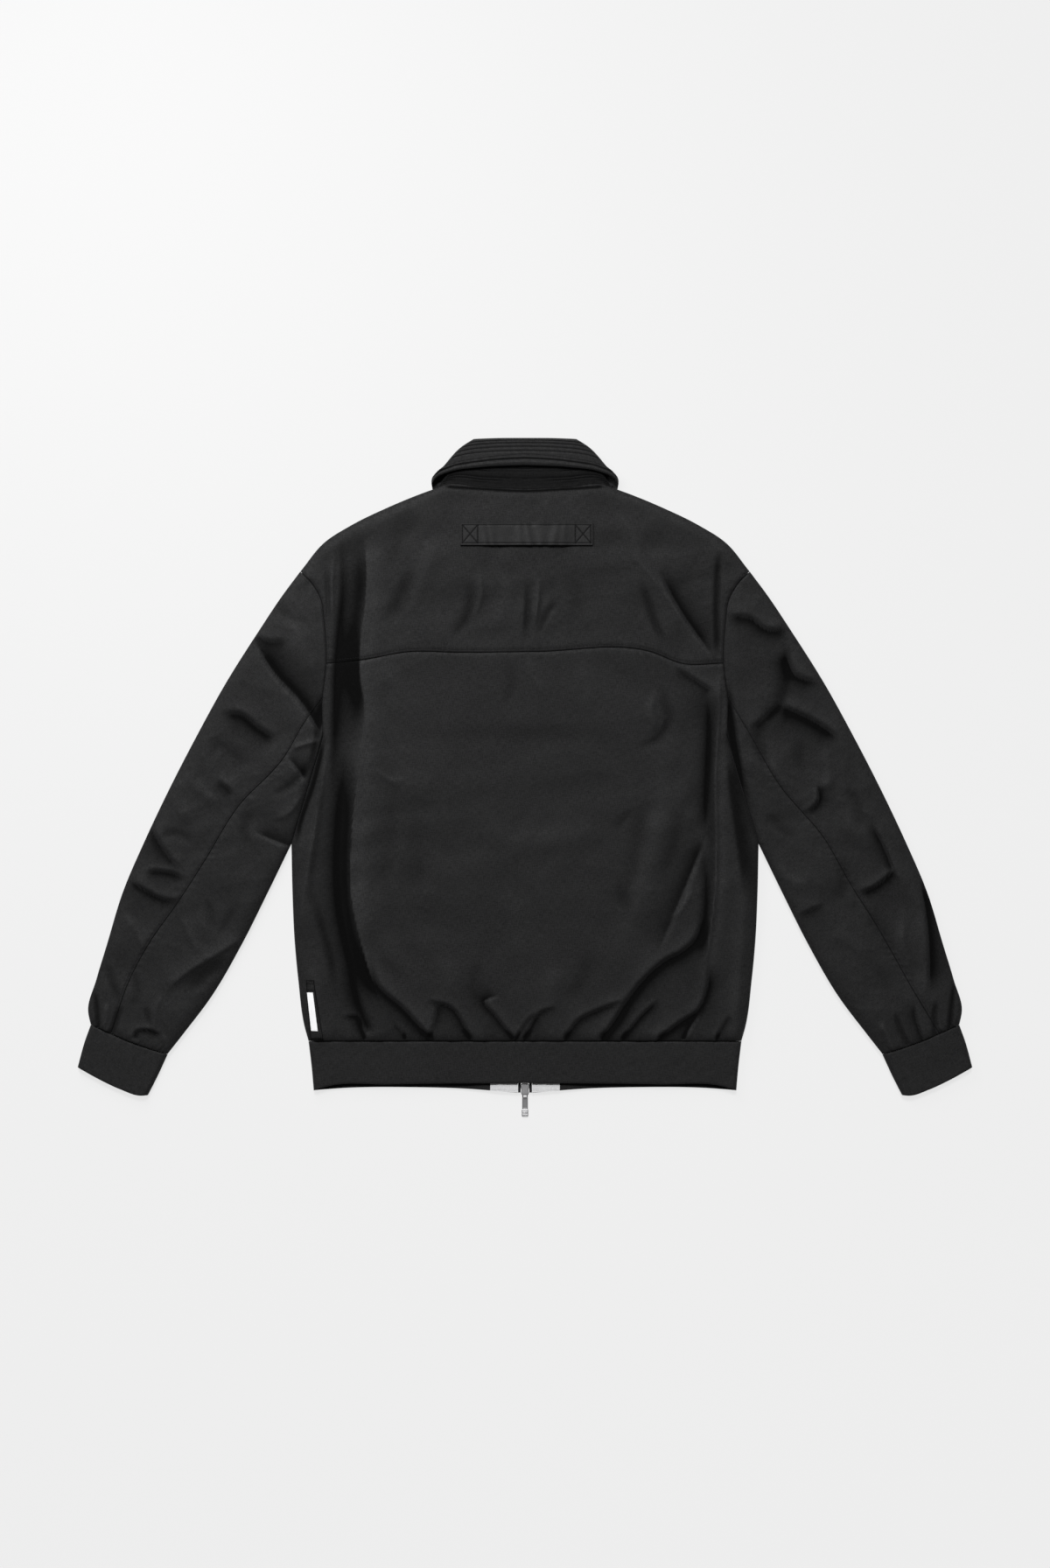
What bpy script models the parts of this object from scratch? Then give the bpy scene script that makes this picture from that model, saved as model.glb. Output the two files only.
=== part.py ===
"""Padded bomber jacket, zipped up and laid flat on its front.

Sizes are in millimetres until a mesh is made. +X is to the right of someone who
looks down on the jacket's back with the collar at the top, which is the wearer's
right. +Y runs from the hem to the collar and +Z is up from the table. The front
layer lies on the table and the back layer lies on it.
"""

from collections import namedtuple
import math

import bmesh
import bpy
import numpy as np

MM = 0.001
ORIGIN_Y = -1.1  # the middle of the jacket's length, where the model's origin goes

# Levels of the two layers above the table.
FRONT_TOP = 6.0  # inner face of the fronts
BACK_FLOOR = 6.8  # inner face of the back
FOLD_LEVEL = 6.4  # where the two layers meet along a folded edge
BODY_LOFT = 6.4  # padded wall of the body, shell to lining
SLEEVE_LOFT = 6.0  # padded wall of the sleeves
RIM = 0.5  # what is left of a wall's thickness at its rounded edge
SEAM_GAP = 0.34  # between two pieces that are sewn together
SIDE_ROUND = 14.0  # how far from the edge the padded body starts to fall away
SLEEVE_ROUND = 16.0
SEAM_ROUND = 9.0  # how far a seam draws the padding down
SEAM_DEPTH = 0.42  # share of the loft lost at a seam
HEM_ROUND = 11.0  # how far the cloth puffs out over the band and the cuffs
HEM_KEPT = 0.5

# Lifts of the underside, where the collar and the zip's lower slider lie beneath it.
COLLAR_LIFT = 3.3
ZIP_LIFT = 2.3

# Collar.
STAND_WALL = 2.7
FALL_WALL = 3.0
FALL_FLOOR = 10.1  # underside of the fall where it lies on the stand
FALL_TOP = FALL_FLOOR + FALL_WALL
FALL_NOSE = 6.5
FALL_ROLL = 4.4  # depth of the roll along the fold line
FALL_WELT = 1.1  # the thick double edge of the fall

# Hem band and cuffs, two layers of cloth over elastic.
BAND_WALL = 3.2
BAND_TOP = 10.0
BAND_NOSE = 6.0
BAND_FRONT_LIFT = 2.0

# Hanger strap on the yoke.
STRAP_LEFT, STRAP_RIGHT = -72.1, 75.6
STRAP_LOW, STRAP_HIGH = 257.4, 282.3
STRAP_SEWN = 20.5  # length that is sewn down at each end
STRAP_WALL = 1.5
STRAP_BOW = 1.6

# Zip.
CHAIN_HALF = 2.6
CHAIN_LOW, CHAIN_HIGH = 3.4, 5.7
TAPE_LOW, TAPE_HIGH = 4.1, 4.9
FRONT_EDGE = 6.3  # from the centre line to the fronts' folded edge
BAND_EDGE = 7.9  # from the centre line to the ends of the band and the stand
SLIDER_LOW, SLIDER_HIGH = 3.0, 6.5
SLIDER_TOP_Y = -342.3
SLIDER_LENGTH = 13.1
UPPER_SLIDER_RISE = 629.0  # from the lower slider to the upper one
BAIL_HALF = 0.7
BAIL_BAR = 0.85
BAIL_LOW = 0.25
PULL_AXIS_Y, PULL_AXIS_Z = -353.2, 2.05
PULL_WALL = 1.0
PULL_TILT = math.radians(1.9)
PULL_LENGTH = 26.6
PULL_RING_HALF, PULL_HOLE_HALF = 3.1, 1.8
PULL_HOLE_END = 4.4
PULL_NECK_HALF = 3.2
PULL_GRIP_START, PULL_GRIP_HALF, PULL_GRIP_WALL = 18.6, 3.6, 2.0

# White facing inside the front band.
FACING_INNER, FACING_OUTER = 8.0, 38.8
FACING_LOW, FACING_HIGH = 5.6, 6.4
FACING_TOP_Y = -303.0
FACING_LOW_Y, FACING_LOW_Y_OUTER = -352.4, -350.4

Point = namedtuple("Point", "x y")

# Edges of the left half, seen on the photographed side. The right half's tables
# follow where it differs from the left half by more than a few millimetres.
SHOULDER = [
    Point(-250.6, 229.0), Point(-224.2, 260.8), Point(-194.0, 280.3), Point(-154.0, 299.8),
    Point(-120.0, 314.0), Point(-96.5, 322.6),
]
NECK_BACK = [Point(-96.5, 322.6), Point(-88.0, 325.4), Point(-48.8, 322.6), Point(0.0, 320.3)]
NECK_FRONT = [Point(-96.5, 322.6), Point(-84.0, 296.0), Point(-52.0, 266.0), Point(-BAND_EDGE, 253.0)]
ARMHOLE = [
    Point(-250.6, 229.0), Point(-236.5, 214.0), Point(-227.5, 198.0), Point(-223.5, 171.0),
    Point(-221.3, 126.0), Point(-223.5, 105.0), Point(-225.5, 88.2), Point(-225.0, 45.3),
]
YOKE_CORNER = 4  # the armhole's point where the yoke seam ends
SLEEVE_SEAM_CORNER = 6  # the armhole's point where the sleeve's back seam starts
UNDERARM = [Point(-225.0, 45.3), Point(-241.8, -12.2), Point(-260.6, -75.6)]  # where sleeve and body touch
SIDE = [
    Point(-260.6, -75.6), Point(-259.5, -129.2),
    Point(-257.4, -177.9), Point(-253.0, -226.7), Point(-245.7, -280.0), Point(-241.5, -294.9),
]
YOKE_SEAM = [
    Point(-221.3, 126.0), Point(-184.3, 129.2), Point(-130.7, 138.6), Point(-72.1, 138.0),
    Point(11.7, 138.9), Point(139.4, 138.9), Point(176.5, 125.5), Point(221.3, 126.0),
]
SLEEVE_OUTER = [
    Point(-250.6, 229.0), Point(-270.5, 202.3), Point(-296.5, 163.3), Point(-333.5, 104.8),
    Point(-365.8, 46.3), Point(-396.0, -12.2), Point(-423.8, -70.7), Point(-448.8, -129.2),
    Point(-466.6, -187.7), Point(-478.4, -226.7), Point(-487.5, -262.0), Point(-484.6, -276.4),
]
SLEEVE_INNER = [
    Point(-260.6, -75.6), Point(-286.6, -129.2),
    Point(-315.9, -187.7), Point(-350.0, -246.2), Point(-380.0, -286.0), Point(-398.5, -309.6),
]
CUFF_SEAM = [
    Point(-484.6, -276.4), Point(-461.5, -286.6), Point(-444.6, -294.0), Point(-423.0, -302.0),
    Point(-398.5, -309.6),
]
CUFF_SEAM_CORNER = 1  # the cuff seam's point where the sleeve's back seam ends
BACK_SEAM_LEFT = [
    Point(-225.5, 88.2), Point(-245.7, 60.0), Point(-270.1, 19.0), Point(-319.8, -34.0),
    Point(-356.8, -94.1), Point(-389.0, -143.8), Point(-415.3, -180.9), Point(-437.8, -220.8),
    Point(-461.5, -286.6),
]
BACK_SEAM_RIGHT = [
    Point(-225.5, 88.2), Point(-250.0, 48.0), Point(-281.8, -7.3), Point(-334.4, -70.7),
    Point(-362.0, -119.0), Point(-392.9, -168.2), Point(-434.8, -242.3), Point(-461.5, -286.6),
]
CUFF_EDGE = [
    Point(-499.2, -324.2), Point(-474.0, -338.2), Point(-451.4, -348.8), Point(-429.0, -356.0),
    Point(-420.5, -355.6),
]
CUFF_OUTER = [Point(-499.2, -324.2), Point(-491.5, -296.0), Point(-484.6, -276.8)]
CUFF_INNER = [Point(-420.5, -355.6), Point(-410.0, -335.0), Point(-398.5, -310.0)]
BAND_SIDE = [Point(-235.8, -350.2), Point(-238.0, -325.0), Point(-241.5, -295.2)]
BAND_BACK_EDGE = [Point(-235.8, -350.2), Point(-222.0, -345.8), Point(-150.0, -343.2), Point(0.0, -341.9)]
BAND_FRONT_EDGE = [
    Point(-235.8, -350.2), Point(-200.0, -347.6), Point(-130.0, -346.8), Point(-58.5, -348.9),
    Point(-BAND_EDGE, -353.0),
]
FALL_SIDE = [
    Point(-104.6, 326.4), Point(-104.6, 330.5), Point(-92.0, 345.0), Point(-72.0, 367.0),
    Point(-57.5, 376.6),
]
FALL_BACK_EDGE = [
    Point(-104.6, 326.4), Point(-98.0, 333.2), Point(-84.0, 339.2), Point(-50.0, 344.4),
    Point(0.0, 346.8),
]
FALL_BACK_FOLD = [Point(-57.5, 376.6), Point(-30.0, 377.6), Point(0.0, 377.8)]
FALL_FRONT_EDGE = [Point(-104.6, 326.4), Point(-97.0, 292.0), Point(-74.0, 250.0), Point(-44.0, 214.0)]
FALL_FRONT_FOLD = [Point(-57.5, 376.6), Point(-48.0, 343.0), Point(-30.0, 311.0), Point(-12.0, 297.0)]
STAND_SIDE = [Point(-96.5, 322.6), Point(-86.0, 340.0), Point(-69.0, 360.5), Point(-62.0, 366.0)]
STAND_BACK_TOP = [Point(-62.0, 366.0), Point(-48.0, 370.6), Point(0.0, 371.4)]
STAND_FRONT_TOP = [Point(-62.0, 366.0), Point(-56.0, 340.0), Point(-37.0, 308.0), Point(-BAND_EDGE, 288.0)]

# The side patch and its label: left near, right near, left far and right far.
PATCH_CORNERS = [(-239.4, -292.6), (-224.4, -292.6), (-244.0, -226.7), (-235.0, -226.7)]
LABEL_CORNERS = [(-238.0, -283.2), (-230.6, -283.2), (-242.6, -240.3), (-236.0, -240.3)]

# Folds of the back: each runs from (x0, y0) through (via_x, via_y) to (x1, y1).
# height is over the loft, width is from crest to foot, lean is how much wider the
# foot is on the right of the run, and at_seam says that it starts at full height.
Fold = namedtuple("Fold", "x0 y0 via_x via_y x1 y1 height width lean at_seam")
BODY_FOLDS = [
    # the long crease down the left side, a ridge with a trough on its outer side
    Fold(-172, 268, -186, 60, -199, -150, 4.6, 24, -0.4, False),
    Fold(-186, 280, -200, 60, -213, -160, -4.6, 12, 0.1, False),
    Fold(-170, -290, -197, -225, -203, -140, 4.2, 18, 0.2, True),
    Fold(-188, -290, -209, -230, -214, -140, -3.6, 10, 0.0, True),
    Fold(-230, -286, -244, -180, -243, -75, 1.6, 12, 0.0, True),
    # between that crease and the armhole
    Fold(-203, 250, -209, 185, -213, 110, 3.2, 10, 0.0, False),
    Fold(-218, 190, -214, 150, -216, 60, -1.6, 8, 0.0, False),
    # right side of the yoke and under it
    Fold(120, 226, 133, 176, 141, 128, 2.6, 15, 0.2, False),
    Fold(138, 206, 149, 168, 172, 130, -3.0, 9, 0.0, False),
    Fold(186, 232, 197, 175, 206, 118, 2.8, 13, 0.0, False),
    Fold(170, 124, 193, 100, 216, 72, 3.2, 9, 0.0, False),
    Fold(160, 116, 184, 86, 210, 52, -2.4, 8, 0.0, False),
    # right side down to the hem
    Fold(222, 60, 216, -40, 202, -130, 3.0, 11, 0.0, False),
    Fold(236, 20, 230, -75, 221, -190, -3.0, 8, 0.0, False),
    Fold(161, -290, 190, -200, 203, -110, 3.6, 14, 0.0, True),
    Fold(142, -290, 174, -226, 196, -165, -3.4, 9, 0.0, True),
    Fold(232, -288, 240, -200, 244, -90, 1.8, 10, 0.0, True),
    # soft puckers in the middle of the yoke and below its seam
    Fold(-54, 236, -61, 192, -50, 146, -1.8, 11, 0.0, False),
    Fold(-36, 228, -40, 190, -28, 150, 1.4, 12, 0.0, False),
    Fold(20, 224, 12, 190, 0, 144, 2.2, 8, 0.0, False),
    Fold(28, 218, 23, 186, 12, 146, -2.0, 7, 0.0, False),
    Fold(64, 226, 78, 190, 92, 152, 1.4, 14, 0.0, False),
    Fold(6, 134, 12, 112, 24, 84, 1.8, 10, 0.0, False),
    Fold(-40, 38, 40, 47, 118, 36, -1.4, 14, 0.0, False),
    Fold(-60, -60, 20, -72, 96, -52, 1.2, 20, 0.0, False),
    # gathers that the hem band draws up
    Fold(-166, -293, -178, -270, -192, -244, 3.4, 7, 0.0, True),
    Fold(-150, -293, -160, -268, -176, -240, -2.8, 6, 0.0, True),
    Fold(-104, -293, -132, -262, -168, -214, 4.2, 9, 0.0, True),
    Fold(-118, -293, -142, -270, -166, -240, -3.0, 7, 0.0, True),
    Fold(-86, -293, -90, -272, -104, -246, 2.6, 8, 0.0, True),
    Fold(-61, -293, -78, -276, -97, -254, 3.6, 7, 0.0, True),
    Fold(-48, -293, -56, -272, -60, -246, -2.8, 7, 0.0, True),
    Fold(-34, -293, -36, -270, -30, -244, 2.8, 8, 0.0, True),
    Fold(-8, -293, -20, -276, -40, -262, 3.8, 7, 0.0, True),
    Fold(2, -293, 4, -276, 6, -256, -3.0, 6, 0.0, True),
    Fold(14, -293, 30, -276, 50, -262, 3.6, 7, 0.0, True),
    Fold(34, -293, 44, -284, 62, -276, -2.4, 6, 0.0, True),
    Fold(55, -293, 64, -270, 82, -244, 3.6, 8, 0.0, True),
    Fold(72, -293, 80, -278, 96, -262, -2.8, 6, 0.0, True),
    Fold(86, -293, 108, -268, 134, -238, 4.4, 8, 0.0, True),
    Fold(104, -293, 124, -276, 146, -256, -3.2, 7, 0.0, True),
    Fold(122, -293, 160, -250, 197, -200, 4.2, 9, 0.0, True),
    Fold(190, -293, 198, -262, 210, -228, 3.8, 8, 0.0, True),
    Fold(206, -293, 214, -268, 222, -236, -2.6, 6, 0.0, True),
]
SLEEVE_FOLDS_LEFT = [
    Fold(-296, 156, -262, 108, -230, 52, 4.6, 13, 0.3, False),
    Fold(-308, 142, -276, 98, -246, 56, -3.4, 9, 0.0, False),
    Fold(-262, 190, -252, 150, -240, 112, 2.4, 14, 0.0, False),
    Fold(-332, 76, -304, 50, -272, 38, 4.0, 10, 0.0, False),
    Fold(-336, 62, -310, 38, -284, 24, -3.2, 8, 0.0, False),
    Fold(-342, -6, -334, -14, -322, -24, 3.2, 8, 0.0, False),
    Fold(-262, 22, -250, 8, -238, -6, 3.0, 8, 0.0, False),
    Fold(-298, 4, -272, -12, -252, -44, 2.4, 14, 0.0, False),
    Fold(-418, -54, -396, -84, -376, -114, 4.0, 9, 0.0, False),
    Fold(-404, -50, -384, -78, -368, -104, -2.8, 8, 0.0, False),
    Fold(-421, -106, -396, -112, -372, -118, -3.6, 8, 0.0, False),
    Fold(-424, -94, -400, -100, -376, -106, 2.8, 8, 0.0, False),
    Fold(-440, -114, -416, -128, -394, -138, 3.6, 9, 0.0, False),
    Fold(-316, -180, -340, -196, -364, -212, 3.4, 10, 0.0, False),
    Fold(-308, -150, -334, -160, -352, -176, -2.0, 10, 0.0, False),
    Fold(-476, -236, -477, -255, -472, -276, 3.6, 6, 0.0, False),
    Fold(-458, -282, -452, -272, -447, -258, 3.6, 6, 0.0, True),
    Fold(-447, -288, -442, -276, -440, -262, -2.8, 5, 0.0, True),
    Fold(-434, -294, -430, -282, -426, -262, 3.6, 6, 0.0, True),
    Fold(-412, -303, -410, -290, -402, -270, 3.2, 7, 0.0, True),
]
SLEEVE_FOLDS_RIGHT = [
    Fold(-236, 168, -262, 170, -292, 164, 3.4, 12, 0.0, False),
    Fold(-238, 150, -262, 150, -286, 144, -2.4, 9, 0.0, False),
    Fold(-284, 114, -308, 108, -336, 96, 3.8, 12, 0.0, False),
    Fold(-280, 76, -318, 62, -362, 40, 3.8, 12, 0.0, False),
    Fold(-278, 94, -306, 84, -340, 68, -3.0, 10, 0.0, False),
    Fold(-328, -16, -322, -28, -314, -42, 3.0, 7, 0.0, False),
    Fold(-246, 6, -262, -12, -274, -40, 2.4, 12, 0.0, False),
    Fold(-410, -103, -390, -116, -370, -131, 3.6, 8, 0.0, False),
    Fold(-404, -112, -384, -127, -366, -140, -2.8, 7, 0.0, False),
    Fold(-441, -118, -450, -180, -450, -236, 3.4, 11, 0.0, False),
    Fold(-430, -118, -436, -170, -436, -226, -2.4, 10, 0.0, False),
    Fold(-292, -150, -314, -144, -336, -142, 2.8, 9, 0.0, False),
    Fold(-474, -276, -476, -255, -477, -232, 3.2, 6, 0.0, True),
    Fold(-456, -284, -454, -268, -456, -248, -2.8, 6, 0.0, True),
    Fold(-442, -290, -436, -274, -434, -254, 3.4, 7, 0.0, True),
    Fold(-424, -298, -418, -284, -412, -266, -2.6, 6, 0.0, True),
    Fold(-410, -304, -404, -290, -394, -272, 3.2, 7, 0.0, True),
]

# Colours are linear.
Finish = namedtuple("Finish", "name color roughness metallic")
CLOTH = Finish("charcoal_twill", (0.020, 0.020, 0.021), 0.72, 0.0)
TAPE = Finish("zip_tape_black", (0.012, 0.012, 0.013), 0.85, 0.0)
WHITE = Finish("white_twill", (0.80, 0.80, 0.80), 0.7, 0.0)
STEEL = Finish("gunmetal", (0.24, 0.24, 0.25), 0.35, 1.0)


# ---------------------------------------------------------------- plan curves

CURVE_STEP = 1.5


def straight(start, end):
    """A straight line between two points, as a curve."""
    return evenly(np.array([start, end], float))


def smooth_curve(points, first=0, last=None):
    """A smooth curve through the points, sampled at even steps of its length, from
    the first point named to the last."""
    knots = np.array([(point.x, point.y) for point in points], float)
    last = len(knots) - 1 if last is None else last
    spans = np.linalg.norm(np.diff(knots, axis=0), axis=1)
    places = np.concatenate([[0], np.cumsum(spans)])
    slopes = np.gradient(knots, places, axis=0)
    where = np.linspace(places[first], places[last], 400)
    index = np.clip(np.searchsorted(places, where, side="right") - 1, 0, len(spans) - 1)
    step = spans[index][:, None]
    t = (where - places[index])[:, None] / step
    line = (
        (2 * t**3 - 3 * t**2 + 1) * knots[index]
        + (t**3 - 2 * t**2 + t) * step * slopes[index]
        + (3 * t**2 - 2 * t**3) * knots[index + 1]
        + (t**3 - t**2) * step * slopes[index + 1]
    )
    return evenly(line)


def evenly(line):
    """The same polyline, resampled at even steps of its length."""
    run = np.concatenate([[0], np.cumsum(np.linalg.norm(np.diff(line, axis=0), axis=1))])
    where = np.linspace(0, run[-1], 1 + math.ceil(run[-1] / CURVE_STEP))
    return np.stack([np.interp(where, run, line[:, axis]) for axis in (0, 1)], axis=1)


def run_length(line):
    """Length of a polyline."""
    return float(np.linalg.norm(np.diff(line, axis=0), axis=1).sum())


def joined(*lines):
    """Polylines one after the other, each kept on its own even steps."""
    return np.concatenate([lines[0]] + [line[1:] for line in lines[1:]])


def mirrored(line):
    """The polyline on the other side of the centre line."""
    return line * (-1, 1)


def reading(line, share):
    """Points of a polyline at shares of its steps."""
    steps = np.linspace(0, 1, len(line))
    return np.stack([np.interp(share, steps, line[:, axis]) for axis in (0, 1)], axis=-1)


class Patch:
    """A four-sided area between a near and a far edge, both left to right, and a
    left and a right edge, both near to far."""

    def __init__(self, near, far, left, right):
        self.near, self.far, self.left, self.right = near, far, left, right

    def plan(self, columns, rows):
        """Plan points on a grid of columns and rows, each a share of the way and a
        distance on from there, drawn in by half a seam gap on all sides. Also how
        far each point is from the left, right, near and far edges."""
        shares_u, on_u = np.asarray(columns, float).T
        shares_v, on_v = np.asarray(rows, float).T
        middle = np.linalg.norm(reading(self.right, 0.5) - reading(self.left, 0.5))
        first = np.clip(shares_u + on_u / middle, 0, 1)
        length = np.linalg.norm(reading(self.far, first) - reading(self.near, first), axis=-1)
        v = np.clip(shares_v + on_v / length[:, None], 0, 1)
        width = np.linalg.norm(reading(self.right, v) - reading(self.left, v), axis=-1)
        u = np.clip(shares_u[:, None] + on_u[:, None] / width, 0, 1)
        near, far = reading(self.near, u), reading(self.far, u)
        left, right = reading(self.left, v), reading(self.right, v)
        u_, v_ = u[..., None], v[..., None]
        corners = (
            (1 - u_) * (1 - v_) * self.near[0]
            + u_ * (1 - v_) * self.near[-1]
            + (1 - u_) * v_ * self.far[0]
            + u_ * v_ * self.far[-1]
        )
        place = (1 - v_) * near + v_ * far + (1 - u_) * left + u_ * right - corners
        across, along = right - left, far - near
        width = np.linalg.norm(across, axis=-1)
        length = np.linalg.norm(along, axis=-1)
        drawn_in = (1 - 2 * u_) * across / width[..., None] + (1 - 2 * v_) * along / length[..., None]
        return place + drawn_in * SEAM_GAP / 2, u * width, (1 - u) * width, v * length, (1 - v) * length


def places(start, middle, end):
    """Columns or rows at these distances from the start, a number of even ones in
    the middle, and the last at these distances from the end."""
    shares = np.linspace(0, 1, middle + 2)[1:-1]
    between = [(share, start[-1] * (1 - share) - end[0] * share) for share in shares]
    return [(0.0, distance) for distance in start] + between + [(1.0, -distance) for distance in end]


def order(some):
    """Rising numbers for columns or rows, which rims are sewn by."""
    return [share + distance / 1000 for share, distance in some]


# ------------------------------------------------------------------- heights

def ease(t):
    """Smooth step from 0 to 1."""
    t = np.clip(t, 0, 1)
    return t * t * (3 - 2 * t)


def rounding(distance, radius):
    """Quarter ellipse: 0 at the edge, 1 from radius inwards."""
    return np.sqrt(1 - (1 - np.clip(distance / radius, 0, 1)) ** 2)


def edge(distance, radius, kept):
    """Share of the height left near an edge that keeps only this share itself."""
    return kept + (1 - kept) * rounding(distance, radius)


def relief(x, y, folds):
    """Height of all the folds at (x, y): a soft ridge or trough along each run."""
    total = np.zeros_like(x)
    steps = np.linspace(0, 1, 15)
    for fold in folds:
        start, end = np.array([fold.x0, fold.y0]), np.array([fold.x1, fold.y1])
        bend = 2 * np.array([fold.via_x, fold.via_y]) - (start + end) / 2
        run = (
            np.outer((1 - steps) ** 2, start)
            + np.outer(2 * steps * (1 - steps), bend)
            + np.outer(steps**2, end)
        )
        best = np.full(x.shape, np.inf)
        at, side = np.zeros_like(x), np.zeros_like(x)
        for index in range(len(steps) - 1):
            leg = run[index + 1] - run[index]
            dx, dy = x - run[index, 0], y - run[index, 1]
            t = np.clip((dx * leg[0] + dy * leg[1]) / (leg @ leg), 0, 1)
            away = np.hypot(dx - t * leg[0], dy - t * leg[1])
            nearer = away < best
            best = np.where(nearer, away, best)
            at = np.where(nearer, (index + t) / (len(steps) - 1), at)
            side = np.where(nearer, np.sign(leg[1] * dx - leg[0] * dy), side)
        width = fold.width * (1 + fold.lean * side)
        lead = 1.0 if fold.at_seam else ease(at / 0.35)
        total += fold.height * lead * ease((1 - at) / 0.45) * np.exp(-((best / width) ** 2) * 2)
    return total


def body_top(x, y):
    """Outer face of the back, before its edges are rounded."""
    waves = np.sin(x / 4.6 + 0.8 * np.sin(x / 23)) * np.exp(-(y + 294.9) / 16)
    return BACK_FLOOR + BODY_LOFT + relief(x, y, BODY_FOLDS) + 1.0 * waves


def collar_under(x, y):
    """1 where the collar's front lies under the fronts, easing to 0 around it."""
    low = np.interp(np.abs(x), *zip(*sorted((-point.x, point.y) for point in FALL_FRONT_EDGE)))
    return ease((y - low + 64.0) / 16.0) * ease((142.0 - np.abs(x)) / 12.0)


def zip_under(x, y):
    """1 by the zip's lower end, easing to 0 around it."""
    return ease((72.0 - np.abs(x)) / 28.0) * ease((-262.0 - y) / 30.0)


# -------------------------------------------------------------------- meshes

def zipper(first, second, first_at, second_at):
    """Triangles between two rows of vertex numbers, in step with their places."""
    triangles, i, j = [], 0, 0
    while i < len(first) - 1 or j < len(second) - 1:
        if i == len(first) - 1:
            ahead = False
        elif j == len(second) - 1:
            ahead = True
        else:
            ahead = abs(first_at[i + 1] - second_at[j]) <= abs(first_at[i] - second_at[j + 1])
        if ahead:
            triangles.append((first[i], first[i + 1], second[j]))
            i += 1
        else:
            triangles.append((first[i], second[j + 1], second[j]))
            j += 1
    return triangles


def grid_faces(numbers, closed):
    """Quads of a grid of vertex numbers, also from the last column to the first."""
    if closed:
        numbers = np.vstack([numbers, numbers[:1]])
    quads = np.stack([numbers[:-1, :-1], numbers[1:, :-1], numbers[1:, 1:], numbers[:-1, 1:]], -1)
    return quads.reshape(-1, 4).tolist()


def add_wall(name, outer, inner, finish, places=None, closed=False):
    """A wall between an outer and an inner grid of points, columns first. places
    holds the column and row places of both grids, which the rims are sewn by."""
    if places is None:
        places = [np.linspace(0, 1, size) for size in (*outer.shape[:2], *inner.shape[:2])]
    outer_at, outer_rows, inner_at, inner_rows = places
    numbers = np.arange(outer.shape[0] * outer.shape[1]).reshape(outer.shape[:2])
    inside = np.arange(inner.shape[0] * inner.shape[1]).reshape(inner.shape[:2]) + numbers.size
    faces = grid_faces(numbers, closed) + grid_faces(inside, closed)
    for row in (0, -1):
        ring, hole = list(numbers[:, row]), list(inside[:, row])
        ring_at, hole_at = list(outer_at), list(inner_at)
        if closed:
            ring, hole = ring + ring[:1], hole + hole[:1]
            ring_at, hole_at = ring_at + [1.0], hole_at + [1.0]
        faces += zipper(ring, hole, ring_at, hole_at)
    if not closed:
        for column in (0, -1):
            faces += zipper(list(numbers[column]), list(inside[column]), outer_rows, inner_rows)
    points = np.concatenate([outer.reshape(-1, 3), inner.reshape(-1, 3)])
    return add_mesh(name, points, faces, finish)


def add_mesh(name, points, faces, finish, zero=(0, ORIGIN_Y, 0)):
    """An object from points in millimetres, with its faces turned outwards. zero is
    the point that becomes the object's own origin."""
    mesh = bpy.data.meshes.new(name)
    shifted = (np.asarray(points, float) - zero) * MM
    mesh.from_pydata(shifted.tolist(), [], [tuple(int(i) for i in face) for face in faces])
    work = bmesh.new()
    work.from_mesh(mesh)
    bmesh.ops.triangulate(work, faces=work.faces)
    bmesh.ops.recalc_face_normals(work, faces=work.faces)
    if work.calc_volume(signed=True) < 0:
        bmesh.ops.reverse_faces(work, faces=work.faces)
    work.to_mesh(mesh)
    work.free()
    mesh.shade_smooth()
    mesh.set_sharp_from_angle(angle=math.radians(40))
    piece = bpy.data.objects.new(name, mesh)
    bpy.context.scene.collection.objects.link(piece)
    piece.data.materials.append(material(finish))
    return piece


def material(finish):
    """The finish as a Principled material, made once."""
    made = bpy.data.materials.get(finish.name)
    if made is None:
        made = bpy.data.materials.new(finish.name)
        made.use_nodes = True
        shader = made.node_tree.nodes["Principled BSDF"]
        shader.inputs["Base Color"].default_value = (*finish.color, 1)
        shader.inputs["Roughness"].default_value = finish.roughness
        shader.inputs["Metallic"].default_value = finish.metallic
    return made


def raised(plan, height):
    """Plan points with their heights."""
    return np.concatenate([plan, np.broadcast_to(height, plan.shape[:2])[..., None]], axis=-1)


def side_line():
    """The body's left edge from the hem up to the armpit."""
    return joined(smooth_curve(UNDERARM), smooth_curve(SIDE))[::-1]


def yoke_top():
    """The yoke's top edge, shoulder, neck and shoulder, and the neck's share."""
    shoulder, neck = smooth_curve(SHOULDER), smooth_curve(NECK_BACK)
    top = joined(shoulder, neck, mirrored(neck)[::-1], mirrored(shoulder)[::-1])
    return top, (len(shoulder) - 1) / (len(top) - 1)


ROUND_STEPS = (0.0, 0.4, 1.6, 4.5, 9.5)  # distances that a rounded edge is cut at
SEAM_STEPS = (0.0, 2.5, 9.0)
YOKE_TOP, NECK_SHARE = yoke_top()
NECK_SHARES = np.linspace(0, 1, 18)  # columns that the yoke and the stand share
FRONT_NECK_SHARES = np.linspace(0, 1, 9)  # columns that the fronts and the stand share
BODY_COLUMNS = (
    places(ROUND_STEPS, 0, (0.0,))[:-1]
    + [(share * NECK_SHARE, 9.5 * (1 - share)) for share in np.linspace(0, 1, 14)[1:]]
    + [(NECK_SHARE + (1 - 2 * NECK_SHARE) * share, 0.0) for share in NECK_SHARES[1:-1]]
    + [(1 - (1 - share) * NECK_SHARE, -9.5 * share) for share in np.linspace(0, 1, 14)[:-1]]
    + places((0.0,), 0, ROUND_STEPS[::-1])[1:]
)
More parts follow.
